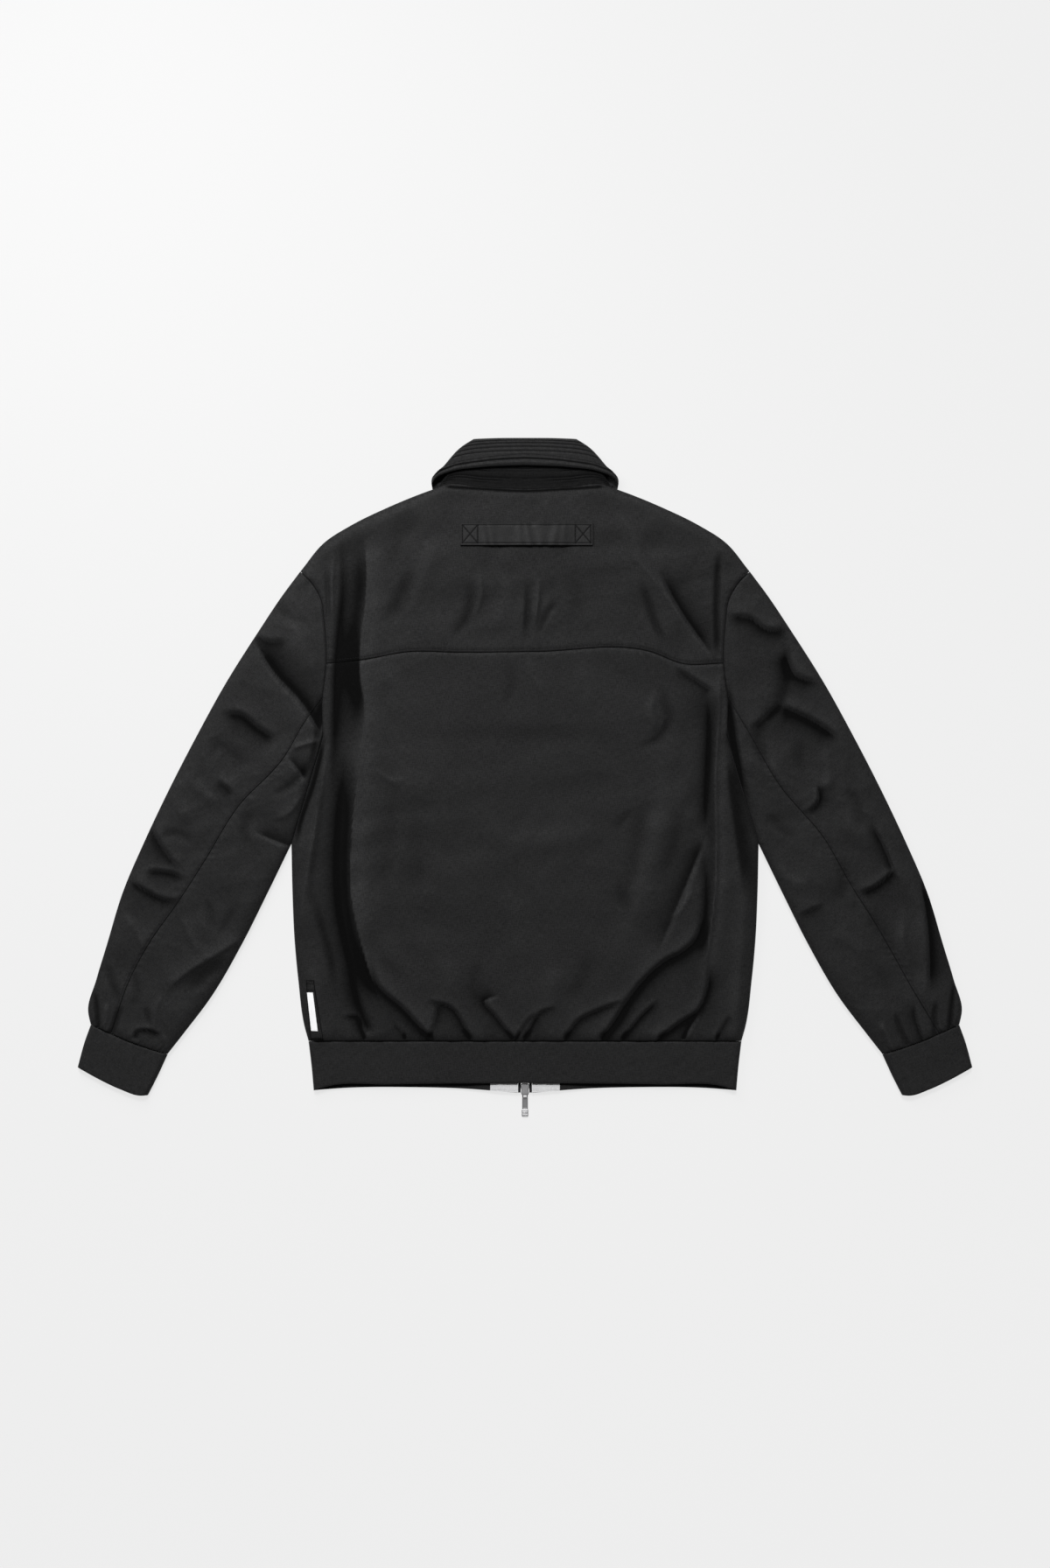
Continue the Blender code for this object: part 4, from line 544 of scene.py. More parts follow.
SOFT, CRISP, FACET, TUCK = Form
BODY_CREASES = [
    # the long fold down the left side: a plateau's edge and the trough outside it
    Crease(
        ((-181, 276), (-176, 230), (-178, 194), (-184, 151), (-184, 109), (-179, 85), (-179, 56), (-185, 17),
         (-193, -51), (-195, -98), (-194, -135), (-188, -168), (-180, -199), (-173, -224), (-164, -250)),
        4.6, 38, 13, CRISP, 0.2, 0.16,
    ),
    Crease(
        ((-205, 282), (-203, 241), (-203, 209), (-206, 175), (-209, 141), (-211, 100), (-212, 60), (-213, 17),
         (-214, -40)),
        -5.2, 17, 5, CRISP, 0.3, 0.3,
    ),
    Crease(
        ((-201, 40), (-203, 0), (-206, -50), (-208, -98), (-206, -140), (-201, -175), (-194, -207),
         (-189, -240), (-181, -266), (-169, -291)),
        -5.6, 6, 19, CRISP, 0.25, 0.05, 0.2,
    ),
    # painted bands with no height: painted shade beside the folds, under the left arm, down the right side
    # and along the neck seam under the collar, and painted highlights along the folds' edges where the height
    # is above 0
    Crease(
        ((-182, 284), (-177, 230), (-178, 194), (-183, 151), (-183, 109), (-179, 85), (-178, 56), (-184, 17)),
        -6.2, 1, 12, FACET, 0.3, 0.4,
    ),
    Crease(((-182, 196), (-184, 151), (-184, 109), (-180, 85), (-180, 56), (-186, 17)), -3.4, 1, 24,
           FACET, 0.45, 0.4),
    Crease(
        ((-178, 60), (-184, 17), (-192, -51), (-194, -98), (-193, -135), (-187, -168), (-179, -199),
         (-172, -224), (-160, -256)),
        -7.6, 1, 13, FACET, 0.35, 0.16,
    ),
    Crease(((-222, 46), (-236, -10), (-250, -52), (-256, -90)), -5.5, 4, 3.4, FACET, 0.15, 0.3),
    Crease(((-226, 20), (-232, -50), (-240, -110), (-244, -170)), -2.4, 1.2, -5, FACET, 0.3, 0.4),
    Crease(
        ((217, 112), (214, 56), (211, -2), (212, -60), (212, -99), (209, -147), (204, -183), (198, -225)),
        -4.4, 1, 9, FACET, 0.12, 0.2,
    ),
    Crease(((218, 112), (215, 56), (212, -2), (213, -60), (213, -99), (210, -147), (205, -183), (200, -235)),
           3.6, 0.8, -9, FACET, 0.12, 0.2),
    Crease(((-178, 60), (-183, 17), (-191, -51), (-193, -98), (-192, -135), (-186, -168), (-178, -199)),
           2.6, 0.8, -12, FACET, 0.3, 0.3),
    Crease(((-180, 276), (-175, 230), (-177, 194), (-182, 151), (-182, 109), (-178, 80)),
           2, 0.8, -14, FACET, 0.3, 0.3),
    Crease(((226, 34), (229, -10), (236, -60), (243, -110), (247, -160)), -4.2, 5, -13, FACET, 0.2, 0.35),
    Crease(((-92, 323.5), (-48, 320.6), (0, 318.2), (48, 320.6), (92, 323.5)), -5.5, 2.4, 1.7, FACET,
           0.05, 0.05),
    Crease(((-213, 256), (-215, 210), (-214, 160)), 1.9, 4, 4),
    Crease(((-222, 239), (-220, 209), (-219, 160)), -1.7, 3, 3),
    Crease(((-222, 60), (-226, -8), (-233, -50), (-243, -106), (-249, -147), (-252, -190)), 2, 9, 4, CRISP,
           0.15, 0.3),
    Crease(((-239, -120), (-229, -158), (-216, -207), (-210, -262)), -2.6, 6, 6),
    Crease(((-228, -288), (-232, -250), (-236, -205)), 1.6, 9, 9, SOFT, 0),
    # gathers that the band draws up on the left
    Crease(((-172, -205), (-163, -234), (-138, -257), (-107, -291)), 3.2, 4.5, -8, TUCK, 0.3, 0),
    Crease(((-112, -251), (-84, -257), (-61, -291)), 2.7, 3.5, -6.5, TUCK, 0.3, 0),
    Crease(((-97, -254), (-100, -272), (-106, -291)), 1.8, 3.5, 5, TUCK, 0.3, 0),
    Crease(((-28, -243), (-46, -250), (-33, -267), (-14, -291)), 2.7, 3.2, -5.5, TUCK, 0.25, 0),
    Crease(((13, -262), (2, -274), (-9, -291)), 2, 3.2, 4.5, TUCK, 0.3, 0),
    Crease(((-206, -270), (-188, -267), (-179, -291)), 1.9, 3, -4, TUCK, 0.3, 0),
    Crease(((-146, -276), (-140, -282), (-134, -291)), 1.5, 3, -3.5, TUCK, 0.3, 0),
    # soft pulls in the middle of the yoke and below its seam
    Crease(((-124, 235), (-139, 198), (-160, 161)), -2.6, 13, 11),
    Crease(((-61, 222), (-62, 181), (-84, 148)), -2.2, 8, 8),
    Crease(((-52, 236), (-48, 205), (-60, 168)), 1.6, 5, 9, CRISP),
    Crease(((16, 224), (14, 191), (9, 158)), 2.4, 4, 7, CRISP),
    Crease(((4, 222), (2, 177), (0, 139)), -2.6, 7, 4),
    Crease(((40, 200), (24, 178), (14, 150)), -1.6, 5, 6),
    Crease(((4, 134), (10, 112), (24, 84)), 1.2, 9, 9),
    Crease(((-126, 43), (0, 46), (134, 40)), -0.9, 15, 18),
    Crease(((-74, -58), (20, -72), (104, -52)), 0.9, 22, 16),
    Crease(((-132, -30), (-118, -92), (-128, -160)), -0.9, 16, 16),
    Crease(((120, -35), (110, -49), (99, -64)), -1, 6, 6),
    Crease(((101, -108), (112, -143), (119, -182)), -1.1, 8, 8),
    Crease(((-30, -120), (-4, -168), (-12, -212)), 0.9, 17, 17),
    Crease(((-176, -160), (-160, -204), (-128, -236)), -1.6, 12, 12),
    Crease(((-150, 110), (-156, 78), (-140, 46)), -1.2, 12, 14),
    Crease(((-168, 12), (-150, -4), (-126, -2)), 1.3, 5, 9, CRISP),
    Crease(((-96, -196), (-84, -226), (-92, -258)), 1.3, 13, 15),
    Crease(((-50, -206), (-58, -236), (-48, -264)), -1.1, 10, 10),
    Crease(((40, -210), (28, -240), (34, -270)), 1.2, 14, 14),
    Crease(((72, -196), (62, -232), (40, -256)), -1.4, 12, 12),
    Crease(((176, -24), (166, -80), (140, -140)), -1.5, 10, 13),
    Crease(((190, -120), (172, -150), (150, -170)), 1.7, 6, 9, CRISP),
    Crease(((-110, 300), (-140, 262), (-156, 214)), -1.3, 12, 16),
    Crease(((-100, 270), (-112, 226), (-132, 180)), 1.2, 12, 14),
    Crease(((-34, 236), (-20, 200), (-34, 158)), 1.2, 11, 11),
    Crease(((44, 234), (60, 196), (48, 156)), -1, 12, 12),
    Crease(((96, 296), (122, 262), (134, 226)), 1.3, 10, 14),
    Crease(((112, 256), (150, 210), (184, 160)), 1.3, 8, 6, CRISP),
    Crease(((-20, 130), (-14, 104), (-24, 70)), -1, 9, 9),
    Crease(((60, 128), (72, 98), (64, 66)), 1, 14, 14),
    # right side of the yoke, and under its seam
    Crease(((127, 222), (137, 194), (149, 161), (163, 136)), -2.7, 6, 6),
    Crease(((147, 236), (172, 188), (203, 143), (214, 126)), 2.9, 4.5, 7.5, TUCK, 0.3, 0.3),
    Crease(((217, 252), (214, 209), (214, 151), (215, 128)), -3.4, 4.5, 4.5, SOFT, 0.2, 0.2),
    Crease(((166, 122), (189, 107), (212, 92)), 2.3, 4, -6, TUCK, 0.3, 0.2),
    Crease(((162, 104), (155, 84), (160, 62), (150, 44), (117, 29)), -2, 9, 6),
    Crease(((146, 96), (140, 74), (143, 56), (132, 46)), 1.6, 6, 8),
    # the sharp fold down the right side, the trough inside it and what leaves it
    Crease(
        ((217, 116), (215, 56), (212, -2), (213, -60), (213, -99), (210, -147), (205, -183), (200, -219),
         (195, -252)),
        3.4, 4.5, 13, CRISP, 0.08, 0.25,
    ),
    Crease(((201, 104), (205, 62), (205, 28), (203, -8), (201, -42), (197, -84)), -4.8, 4, 15, CRISP,
           0.25, 0.3),
    Crease(((197, -70), (202, -120), (201, -165), (196, -205)), -3.6, 4, 12, CRISP, 0.3, 0.3),
    Crease(((160, 28), (148, -58), (122, -150), (96, -216)), 1.7, 19, 15),
    Crease(((134, -4), (124, -86), (106, -164)), -1.2, 12, 12),
    Crease(((-154, 46), (-148, -40), (-158, -124), (-140, -196)), -1.3, 15, 17),
    Crease(((202, -62), (184, -108), (170, -142), (155, -178), (144, -204)), 2.3, 6, -10, TUCK, 0.2, 0.35),
    Crease(
        ((199, -156), (192, -180), (177, -195), (154, -208), (135, -225), (115, -250), (101, -272),
         (87, -291)),
        3.7, 5.5, 8.5, TUCK, 0.15, 0,
    ),
    Crease(((116, -249), (79, -262), (60, -272), (46, -291)), 2.6, 3.8, 6.5, TUCK, 0.25, 0),
    Crease(((152, -247), (130, -267), (110, -291)), 2.3, 3.4, 5.5, TUCK, 0.3, 0),
    Crease(((206, -208), (203, -238), (192, -262), (174, -274), (151, -291)), 3.1, 4.2, 6.5, TUCK, 0.25, 0),
    Crease(((193, -263), (185, -277), (177, -291)), 1.9, 3, -4, TUCK, 0.3, 0),
    Crease(((228, -266), (220, -280), (214, -291)), 1.8, 3, 4, TUCK, 0.3, 0),
    Crease(((39, -258), (20, -262), (0, -291)), 2.2, 3.2, 5, TUCK, 0.3, 0),
    Crease(((232, -288), (239, -200), (245, -90)), 1.7, 9, 9, SOFT, 0),
]
BODY_CREASES += [  # painted shade in the pockets where the gathers meet the band
    Crease(
        ((0.6 * one.run[-1][0] + 0.4 * one.run[-2][0], -281), one.run[-1]), -5.5, 2.2, 0.62 * one.right,
        FACET, 0.8, 0,
    )
    for one in BODY_CREASES if one.form is TUCK and one.run[-1][1] == -291
]
SLEEVE_CREASES = {
    Side.LEFT: [
        Crease(((-303, 156), (-281, 119), (-248, 82), (-226, 48)), 3.2, 5, 11, TUCK, 0.3, 0.1),
        Crease(((-226, 94), (-231, 44), (-239, 2)), -3.2, 4, 5, SOFT, 0.2, 0.3),
        Crease(((-262, 30), (-246, 36), (-228, 40)), 2.6, 5, 6, CRISP, 0.3, 0.1),
        Crease(((-264, 196), (-254, 150), (-240, 108)), 1.9, 14, 14),
        Crease(((-340, 69), (-316, 68), (-298, 54), (-272, 38)), 3.3, 5, -8, TUCK, 0.25, 0.25),
        Crease(((-346, -4), (-332, -13), (-321, -26)), 2.3, 4.5, -6, TUCK),
        Crease(((-420, -52), (-403, -83), (-374, -114)), 2.4, 5, -8, TUCK, 0.25),
        Crease(((-424, -106), (-398, -107), (-370, -119)), 2.5, 4, -6, TUCK, 0.2),
        Crease(((-443, -114), (-424, -127), (-394, -139), (-373, -134)), 2.8, 4, -6, TUCK, 0.2),
        Crease(((-304, -60), (-281, -70), (-258, -79)), 2.1, 4, 10, TUCK, 0.4, 0.1),
        Crease(((-234, 24), (-252, -2), (-286, -26)), -2, 7, 7),
        Crease(((-244, -12), (-262, -40), (-290, -52)), 1.7, 6, 9, CRISP),
        Crease(((-300, -34), (-312, -62), (-300, -92)), -1.5, 7, 9),
        Crease(((-286, 208), (-262, 176), (-236, 168)), -1.4, 8, 8),
        Crease(((-301, 158), (-285, 150), (-262, 152)), 2, 3.6, -7, TUCK, 0.15, 0.3),
        Crease(((-356, 40), (-332, 30), (-306, 2)), -1.6, 10, 12),
        Crease(((-378, 6), (-352, -22), (-330, -30)), 1.2, 6, 9),
        Crease(((-408, -66), (-388, -64), (-366, -78)), -1.4, 6, 7),
        Crease(((-452, -150), (-436, -168), (-422, -200)), 1.3, 7, 9, CRISP),
        Crease(((-382, -150), (-372, -182), (-350, -206)), 1.3, 9, 6),
        Crease(((-470, -206), (-458, -236), (-452, -262)), -1.7, 6, 6),
        Crease(((-440, -214), (-432, -240), (-438, -268)), -1.5, 7, 7),
        Crease(((-402, -240), (-412, -262), (-414, -284)), 1.7, 5, 7, CRISP, 0.35, 0.1),
        Crease(((-266, 24), (-252, 8), (-240, -10)), 2.2, 4.5, 7, TUCK),
        Crease(((-357, -134), (-350, -155), (-346, -176)), -1.4, 7, 7),
        Crease(((-318, -138), (-331, -161), (-343, -186)), -1.4, 7, 7),
        Crease(((-312, -178), (-341, -196), (-381, -221), (-408, -246)), 2.9, 5.5, 15, CRISP, 0.15, 0.3),
        Crease(((-322, -200), (-354, -218), (-386, -246)), -3.2, 12, 10),
        Crease(((-390, 4), (-384, -30), (-364, -62)), 1.2, 13, 13),
        Crease(((-480, -236), (-477, -258), (-475, -280)), -3.7, 3.4, 4.5, SOFT, 0.35, 0),
        Crease(((-449, -254), (-455, -271), (-460, -286)), -3.2, 4.2, 4.2, SOFT, 0.4, 0),
        Crease(((-437, -294), (-432, -284), (-421, -283), (-404, -290)), 2.6, 3, -4, TUCK, 0.15, 0.2),
        Crease(((-423, -256), (-420, -271), (-418, -284)), -1.9, 4, 4),
        Crease(((-466, -250), (-467, -266), (-468, -284)), 1.8, 5, 5, SOFT, 0.4, 0),
        Crease(((-404, -286), (-400, -296), (-398, -308)), 1.6, 4, 4, SOFT, 0.4, 0),
    ],
    Side.RIGHT: [
        Crease(((224, 176), (247, 177), (273, 162), (297, 166)), 2.9, 4.5, -9, TUCK, 0.2, 0.2),
        Crease(((293, 148), (291, 112), (282, 80), (256, 62)), -2.4, 9, 11, SOFT, 0.25, 0.2),
        Crease(((226, 104), (233, 44), (243, -12), (252, -46)), -4.2, 5, 6, SOFT, 0.15, 0.25),
        # painted shade in the gap between the sleeve and the body
        Crease(((226, 84), (230, 50), (236, 16), (243, -16)), -7.5, 3.6, 3.4, FACET, 0.2, 0.3),
        Crease(((288, 140), (299, 114), (338, 102)), 3.1, 5.5, -8, TUCK, 0.2),
        Crease(((284, 78), (317, 63), (356, 38)), 3.6, 5.5, -9, TUCK, 0.15, 0.3),
        Crease(((288, 84), (270, 67), (250, 50)), 2.7, 5, 6, TUCK, 0.25, 0.25),
        Crease(((326, -10), (328, -26), (320, -36), (306, -43)), 3, 3.4, 5, TUCK, 0.2),
        Crease(((412, -104), (395, -120), (368, -133)), 3.3, 3.8, 6, TUCK, 0.15, 0.3),
        Crease(((384, -50), (403, -88), (411, -110)), 2.5, 4, -6, TUCK, 0.3, 0.15),
        Crease(((300, -159), (320, -149), (338, -143)), 2, 4.5, -6, TUCK),
        Crease(((439, -108), (448, -156), (451, -190), (451, -250)), 3.1, 5.5, 9, TUCK, 0.2, 0.25),
        Crease(((270, 30), (284, 0), (302, -20)), 1.5, 9, 9),
        Crease(((258, 60), (262, 30), (276, 6)), -2.2, 9, 9),
        Crease(((312, 46), (306, 20), (318, -8)), -1.5, 8, 10),
        Crease(((330, 34), (338, 4), (334, -30)), 1.4, 8, 8),
        Crease(((356, -8), (372, -34), (374, -70)), -1.4, 8, 9),
        Crease(((268, -40), (290, -62), (312, -70)), -1.6, 8, 8),
        Crease(((276, -92), (300, -118), (326, -122)), 1.4, 9, 12),
        Crease(((352, -84), (356, -118), (346, -150)), -1.3, 10, 10),
        Crease(((424, -140), (420, -180), (430, -226)), 1.3, 8, 8),
        Crease(((376, -150), (400, -176), (412, -214)), -1.3, 12, 12),
        Crease(((352, -30), (372, -62), (392, -84)), 1.3, 12, 12),
        Crease(((360, -184), (392, -214), (410, -252)), -1.6, 10, 10),
        Crease(((340, -168), (376, -196), (404, -226)), 1.5, 10, 10),
        Crease(((479, -224), (476, -251), (473, -280)), -3.8, 4.2, 3.6, SOFT, 0.35, 0),
        Crease(((459, -248), (456, -268), (457, -288)), -2.9, 4, 4, SOFT, 0.4, 0),
        Crease(((433, -252), (436, -274), (443, -292)), 2.3, 3.4, -4.5, TUCK, 0.35, 0),
        Crease(((412, -262), (418, -282), (425, -298)), -2.6, 4, 4, SOFT, 0.35, 0),
        Crease(((394, -272), (403, -288), (410, -304)), 2.2, 5, 5, SOFT, 0.35, 0),
    ],
}
FRONT_CREASES = [  # of the left front, seen from above: how far each lifts off the table
    Crease(((-196, 240), (-190, 150), (-198, 60), (-206, -60)), 1.5, 5, 8, CRISP, 0.1, 0.2),
    Crease(((-120, 150), (-158, 118), (-204, 98)), 1.2, 6, 6),
    Crease(((-96, 60), (-140, 40), (-196, 8)), 0.9, 7, 7),
    Crease(((-214, -30), (-190, -110), (-176, -190)), 1.3, 5, 7),
    Crease(((-58, -40), (-82, -100), (-70, -160)), 0.8, 8, 8),
    Crease(((-206, -226), (-196, -262), (-204, -293)), 1.6, 4, 4, SOFT, 0.4, 0),
    Crease(((-158, -236), (-150, -268), (-160, -293)), 1.5, 4, 4, SOFT, 0.4, 0),
    Crease(((-118, -244), (-122, -270), (-112, -293)), 1.6, 4, 4, SOFT, 0.4, 0),
    Crease(((-86, -240), (-74, -268), (-80, -293)), 1.3, 4, 4, SOFT, 0.4, 0),
    Crease(((-180, -252), (-176, -272), (-181, -293)), 1.2, 3, 3, SOFT, 0.4, 0),
]
SLEEVE_BELOW_CREASES = [
    Crease(((-296, 140), (-276, 110), (-250, 92)), 1.4, 5, 7),
    Crease(((-330, 70), (-306, 44), (-276, 30)), 1.4, 5, 7),
    Crease(((-362, 10), (-336, -16), (-300, -26)), 1.2, 5, 7),
    Crease(((-410, -84), (-384, -104), (-348, -112)), 1.4, 5, 6),
    Crease(((-340, -170), (-366, -196), (-396, -214)), 1.2, 6, 6),
    Crease(((-462, -244), (-460, -262), (-462, -284)), 1.6, 4, 4, SOFT, 0.4, 0),
    Crease(((-436, -256), (-432, -276), (-434, -296)), 1.6, 4, 4, SOFT, 0.4, 0),
]
BODY_RUMPLE = Rumple(11, 1.2, 130.0, 30.0, 30, 1.4)
SLEEVE_RUMPLE = Rumple(23, 1.15, 110.0, 24.0, 30, 2.0)
TRIM_RUMPLE = Rumple(31, 0.3, 60.0, 9.0)


def body_top(x: Array, y: Array) -> Array:
    """Outer face of the back before its edges are rounded: the padding's loft with
    the creases, the waves that the band gathers, and never thinner than a shell."""
    waves = np.sin(x / 4.6 + 0.8 * np.sin(x / 23)) * np.exp(-(y + 294.9) / 14)
    loft = LEVEL.body_loft + relief(x, y, BODY_CREASES) + BODY_RUMPLE.height(x, y) + 0.8 * waves
    return LEVEL.back_floor + soft_least(loft, LEVEL.thinnest)


def soft_least(height: Array, least: float, blend: float = 1.2) -> Array:
    """The height, eased so that it never falls below the least."""
    return least + blend * np.logaddexp(0, (height - least) / blend)


def collar_under(x: Array, y: Array) -> Array:
    """1 where the collar's front lies under the fronts, easing to 0 around it."""
    line = Edges.fall_front_edge[np.argsort(-Edges.fall_front_edge[:, 0])]
    low = np.interp(np.abs(x), -line[:, 0], line[:, 1])
    return ease((y - low + 64.0) / 16.0) * ease((142.0 - np.abs(x)) / 12.0)


def zip_under(x: Array, y: Array) -> Array:
    """1 by the zip's lower end, easing to 0 around it."""
    return ease((72.0 - np.abs(x)) / 28.0) * ease((-262.0 - y) / 30.0)


# ------------------------------------------------------------------ meshes

def raised(plan: Array, height: float | Array) -> Array:
    """Plan points with their heights."""
    return np.concatenate([plan, np.broadcast_to(height, plan.shape[:2])[..., None]], axis=-1)


def grid_quads(numbers: Array, closed: bool = False) -> Array:
    """Quads of a grid of vertex numbers, also from the last column to the first."""
    if closed:
        numbers = np.vstack([numbers, numbers[:1]])
    corners = (numbers[:-1, :-1], numbers[1:, :-1], numbers[1:, 1:], numbers[:-1, 1:])
    return np.stack(corners, axis=-1).reshape(-1, 4)


def rim_triangles(first: Array, second: Array, first_at: Array, second_at: Array) -> Array:
    """Triangles between two rows of vertex numbers: each step of one row takes the
    vertex of the other row that is level with its middle.

    Args:
        first: vertex numbers of one row.
        second: vertex numbers of the other.
        first_at: how far along each vertex of the first row is.
        second_at: how far along each vertex of the second row is.

    Returns:
        The triangles, three numbers each.
    """
    one = (first_at[1:] + first_at[:-1]) / 2
    other = (second_at[1:] + second_at[:-1]) / 2
    across = second[np.searchsorted(other, one, side="left")]
    back = first[np.searchsorted(one, other, side="right")]
    return np.concatenate([
        np.stack([first[:-1], first[1:], across], axis=-1),
        np.stack([second[1:], second[:-1], back], axis=-1),
    ])


@dataclass
class Wall:
    """A closed wall of cloth between an outer and an inner grid, columns first."""

    outer: Array
    inner: Array
    outer_at: tuple[Array, Array]
    inner_at: tuple[Array, Array]
    closed: bool = False
    # painted light and shade of the outer face's points, in millimetres of crease
    tone: Array | None = None

    def faces(self) -> tuple[Array, Array]:
        """The quads of both faces, and the triangles of the rims between them."""
        outside = np.arange(self.outer.shape[0] * self.outer.shape[1]).reshape(self.outer.shape[:2])
        inside = np.arange(self.inner.shape[0] * self.inner.shape[1]).reshape(self.inner.shape[:2])
        inside = inside + outside.size
        quads = np.concatenate([grid_quads(outside, self.closed), grid_quads(inside, self.closed)])
        rims = []
        for row in (0, -1):
            ring, hole = outside[:, row], inside[:, row]
            ring_at, hole_at = self.outer_at[0], self.inner_at[0]
            if self.closed:
                ring, hole = np.append(ring, ring[0]), np.append(hole, hole[0])
                ring_at, hole_at = np.append(ring_at, 1.0), np.append(hole_at, 1.0)
            rims.append(rim_triangles(ring, hole, ring_at, hole_at))
        if not self.closed:
            for column in (0, -1):
                at = self.outer_at[1], self.inner_at[1]
                rims.append(rim_triangles(outside[column], inside[column], *at))
        return quads, np.concatenate(rims)

    def cut(self) -> tuple[tuple[float, float], float]:
        """The cloth's flat width and length and its area, in metres, measured along
        the outer face."""
        around = np.concatenate([self.outer, self.outer[:1]]) if self.closed else self.outer
        widths = np.linalg.norm(np.diff(around, axis=0), axis=-1).sum(axis=0)
        lengths = np.linalg.norm(np.diff(self.outer, axis=1), axis=-1).sum(axis=1)
        across, along = np.diff(around, axis=0), np.diff(around, axis=1)
        area = np.linalg.norm(np.cross(across[:, :-1], along[:-1]), axis=-1).sum()
        width, length = float(widths.max()) * MM, float(lengths.max()) * MM
        return (width, length), min(float(area) * MM**2, width * length)

    def make(self, name: str, dress: "Finish", grain: float = 0.0, flip: int = 1) -> Object:
        """The wall as a piece.

        Args:
            name: the piece's name.
            dress: its finish.
            grain: angle from +Y to its threads.
            flip: -1 mirrors it to the other half.

        Returns:
            The new piece.
        """
        points = np.concatenate([self.outer.reshape(-1, 3), self.inner.reshape(-1, 3)]) * (flip, 1, 1)
        quads, rims = self.faces()
        piece = add_mesh(name, points, quads, rims, dress, grain * flip)
        # the crease tone is kept on the points as painted light and shade for the finishes
        if self.tone is not None:
            tones = np.zeros(len(points), np.float32)
            tones[: self.tone.size] = self.tone.ravel()
            piece.data.attributes.new("crest", "FLOAT", "POINT").data.foreach_set("value", tones)
        return piece


def add_object(name: str, data: bpy.types.ID) -> Object:
    """An object in the scene for a mesh, a lamp or a camera."""
    made = bpy.data.objects.new(name, data)
    bpy.context.scene.collection.objects.link(made)
    return made


def stand_for(piece: Object, node: str, body: str = "root") -> Object:
    """Has a piece take the place of its solid and ride on a body."""
    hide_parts(node)
    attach(piece, body)
    return piece


def add_mesh(
    name: str, points: Array, quads: Array, triangles: Array, dress: "Finish", grain: float = 0.0,
    crisp: float = 50.0,
) -> Object:
    """A piece from points in millimetres, with its faces turned outwards and its
    plan, turned to the grain, as its UV map in metres.

    Args:
        name: the piece's name.
        points: its vertices.
        quads: faces of four vertex numbers.
        triangles: faces of three.
        dress: its finish.
        grain: angle from +Y to the cloth's threads.
        crisp: edges sharper than this angle in degrees stay sharp.

    Returns:
        The new piece.
    """
    points = (np.asarray(points, float) - (0, ORIGIN_Y, 0)) * MM
    corners = np.concatenate([quads.ravel(), triangles.ravel()]).astype(np.int32)
    sizes = np.concatenate([np.full(len(quads), 4), np.full(len(triangles), 3)])
    starts = np.concatenate([[0], np.cumsum(sizes)[:-1]]).astype(np.int32)
    mesh = bpy.data.meshes.new(name)
    mesh.vertices.add(len(points))
    mesh.vertices.foreach_set("co", points.astype(np.float32).ravel())
    mesh.loops.add(len(corners))
    mesh.loops.foreach_set("vertex_index", corners)
    mesh.polygons.add(len(sizes))
    mesh.polygons.foreach_set("loop_start", starts)
    mesh.update(calc_edges=True)
    across = points[:, 0] * math.cos(grain) + points[:, 1] * math.sin(grain)
    along = points[:, 1] * math.cos(grain) - points[:, 0] * math.sin(grain) + points[:, 2]
    layer = mesh.uv_layers.new(name="grain")
    layer.data.foreach_set("uv", np.stack([across, along], axis=1)[corners].astype(np.float32).ravel())
    work = bmesh.new()
    work.from_mesh(mesh)
    bmesh.ops.recalc_face_normals(work, faces=work.faces)
    if work.calc_volume(signed=True) < 0:
        bmesh.ops.reverse_faces(work, faces=work.faces)
    work.to_mesh(mesh)
    work.free()
    mesh.shade_smooth()
    mesh.set_sharp_from_angle(angle=math.radians(crisp))
    piece = add_object(name, mesh)
    mesh.materials.append(dress.material())
    return piece


def stations(line: Array, pitch: float) -> tuple[Array, Array]:
    """Places at even steps along a polyline in space.

    Args:
        line: its points.
        pitch: about how long a step is.

    Returns:
        The places, and the line's direction at each.
    """
    even = evenly(line, 0.5)
    run = np.concatenate([[0], np.cumsum(np.linalg.norm(np.diff(even, axis=0), axis=1))])
    count = max(1, int(run[-1] / pitch))
    where = (np.arange(count) + 0.5) * run[-1] / count
    at = np.stack([np.interp(where, run, even[:, axis]) for axis in range(3)], axis=1)
    ahead = np.stack([np.interp(where + 0.7, run, even[:, axis]) for axis in range(3)], axis=1)
    behind = np.stack([np.interp(where - 0.7, run, even[:, axis]) for axis in range(3)], axis=1)
    way = ahead - behind
    return at, way / np.linalg.norm(way, axis=1, keepdims=True)


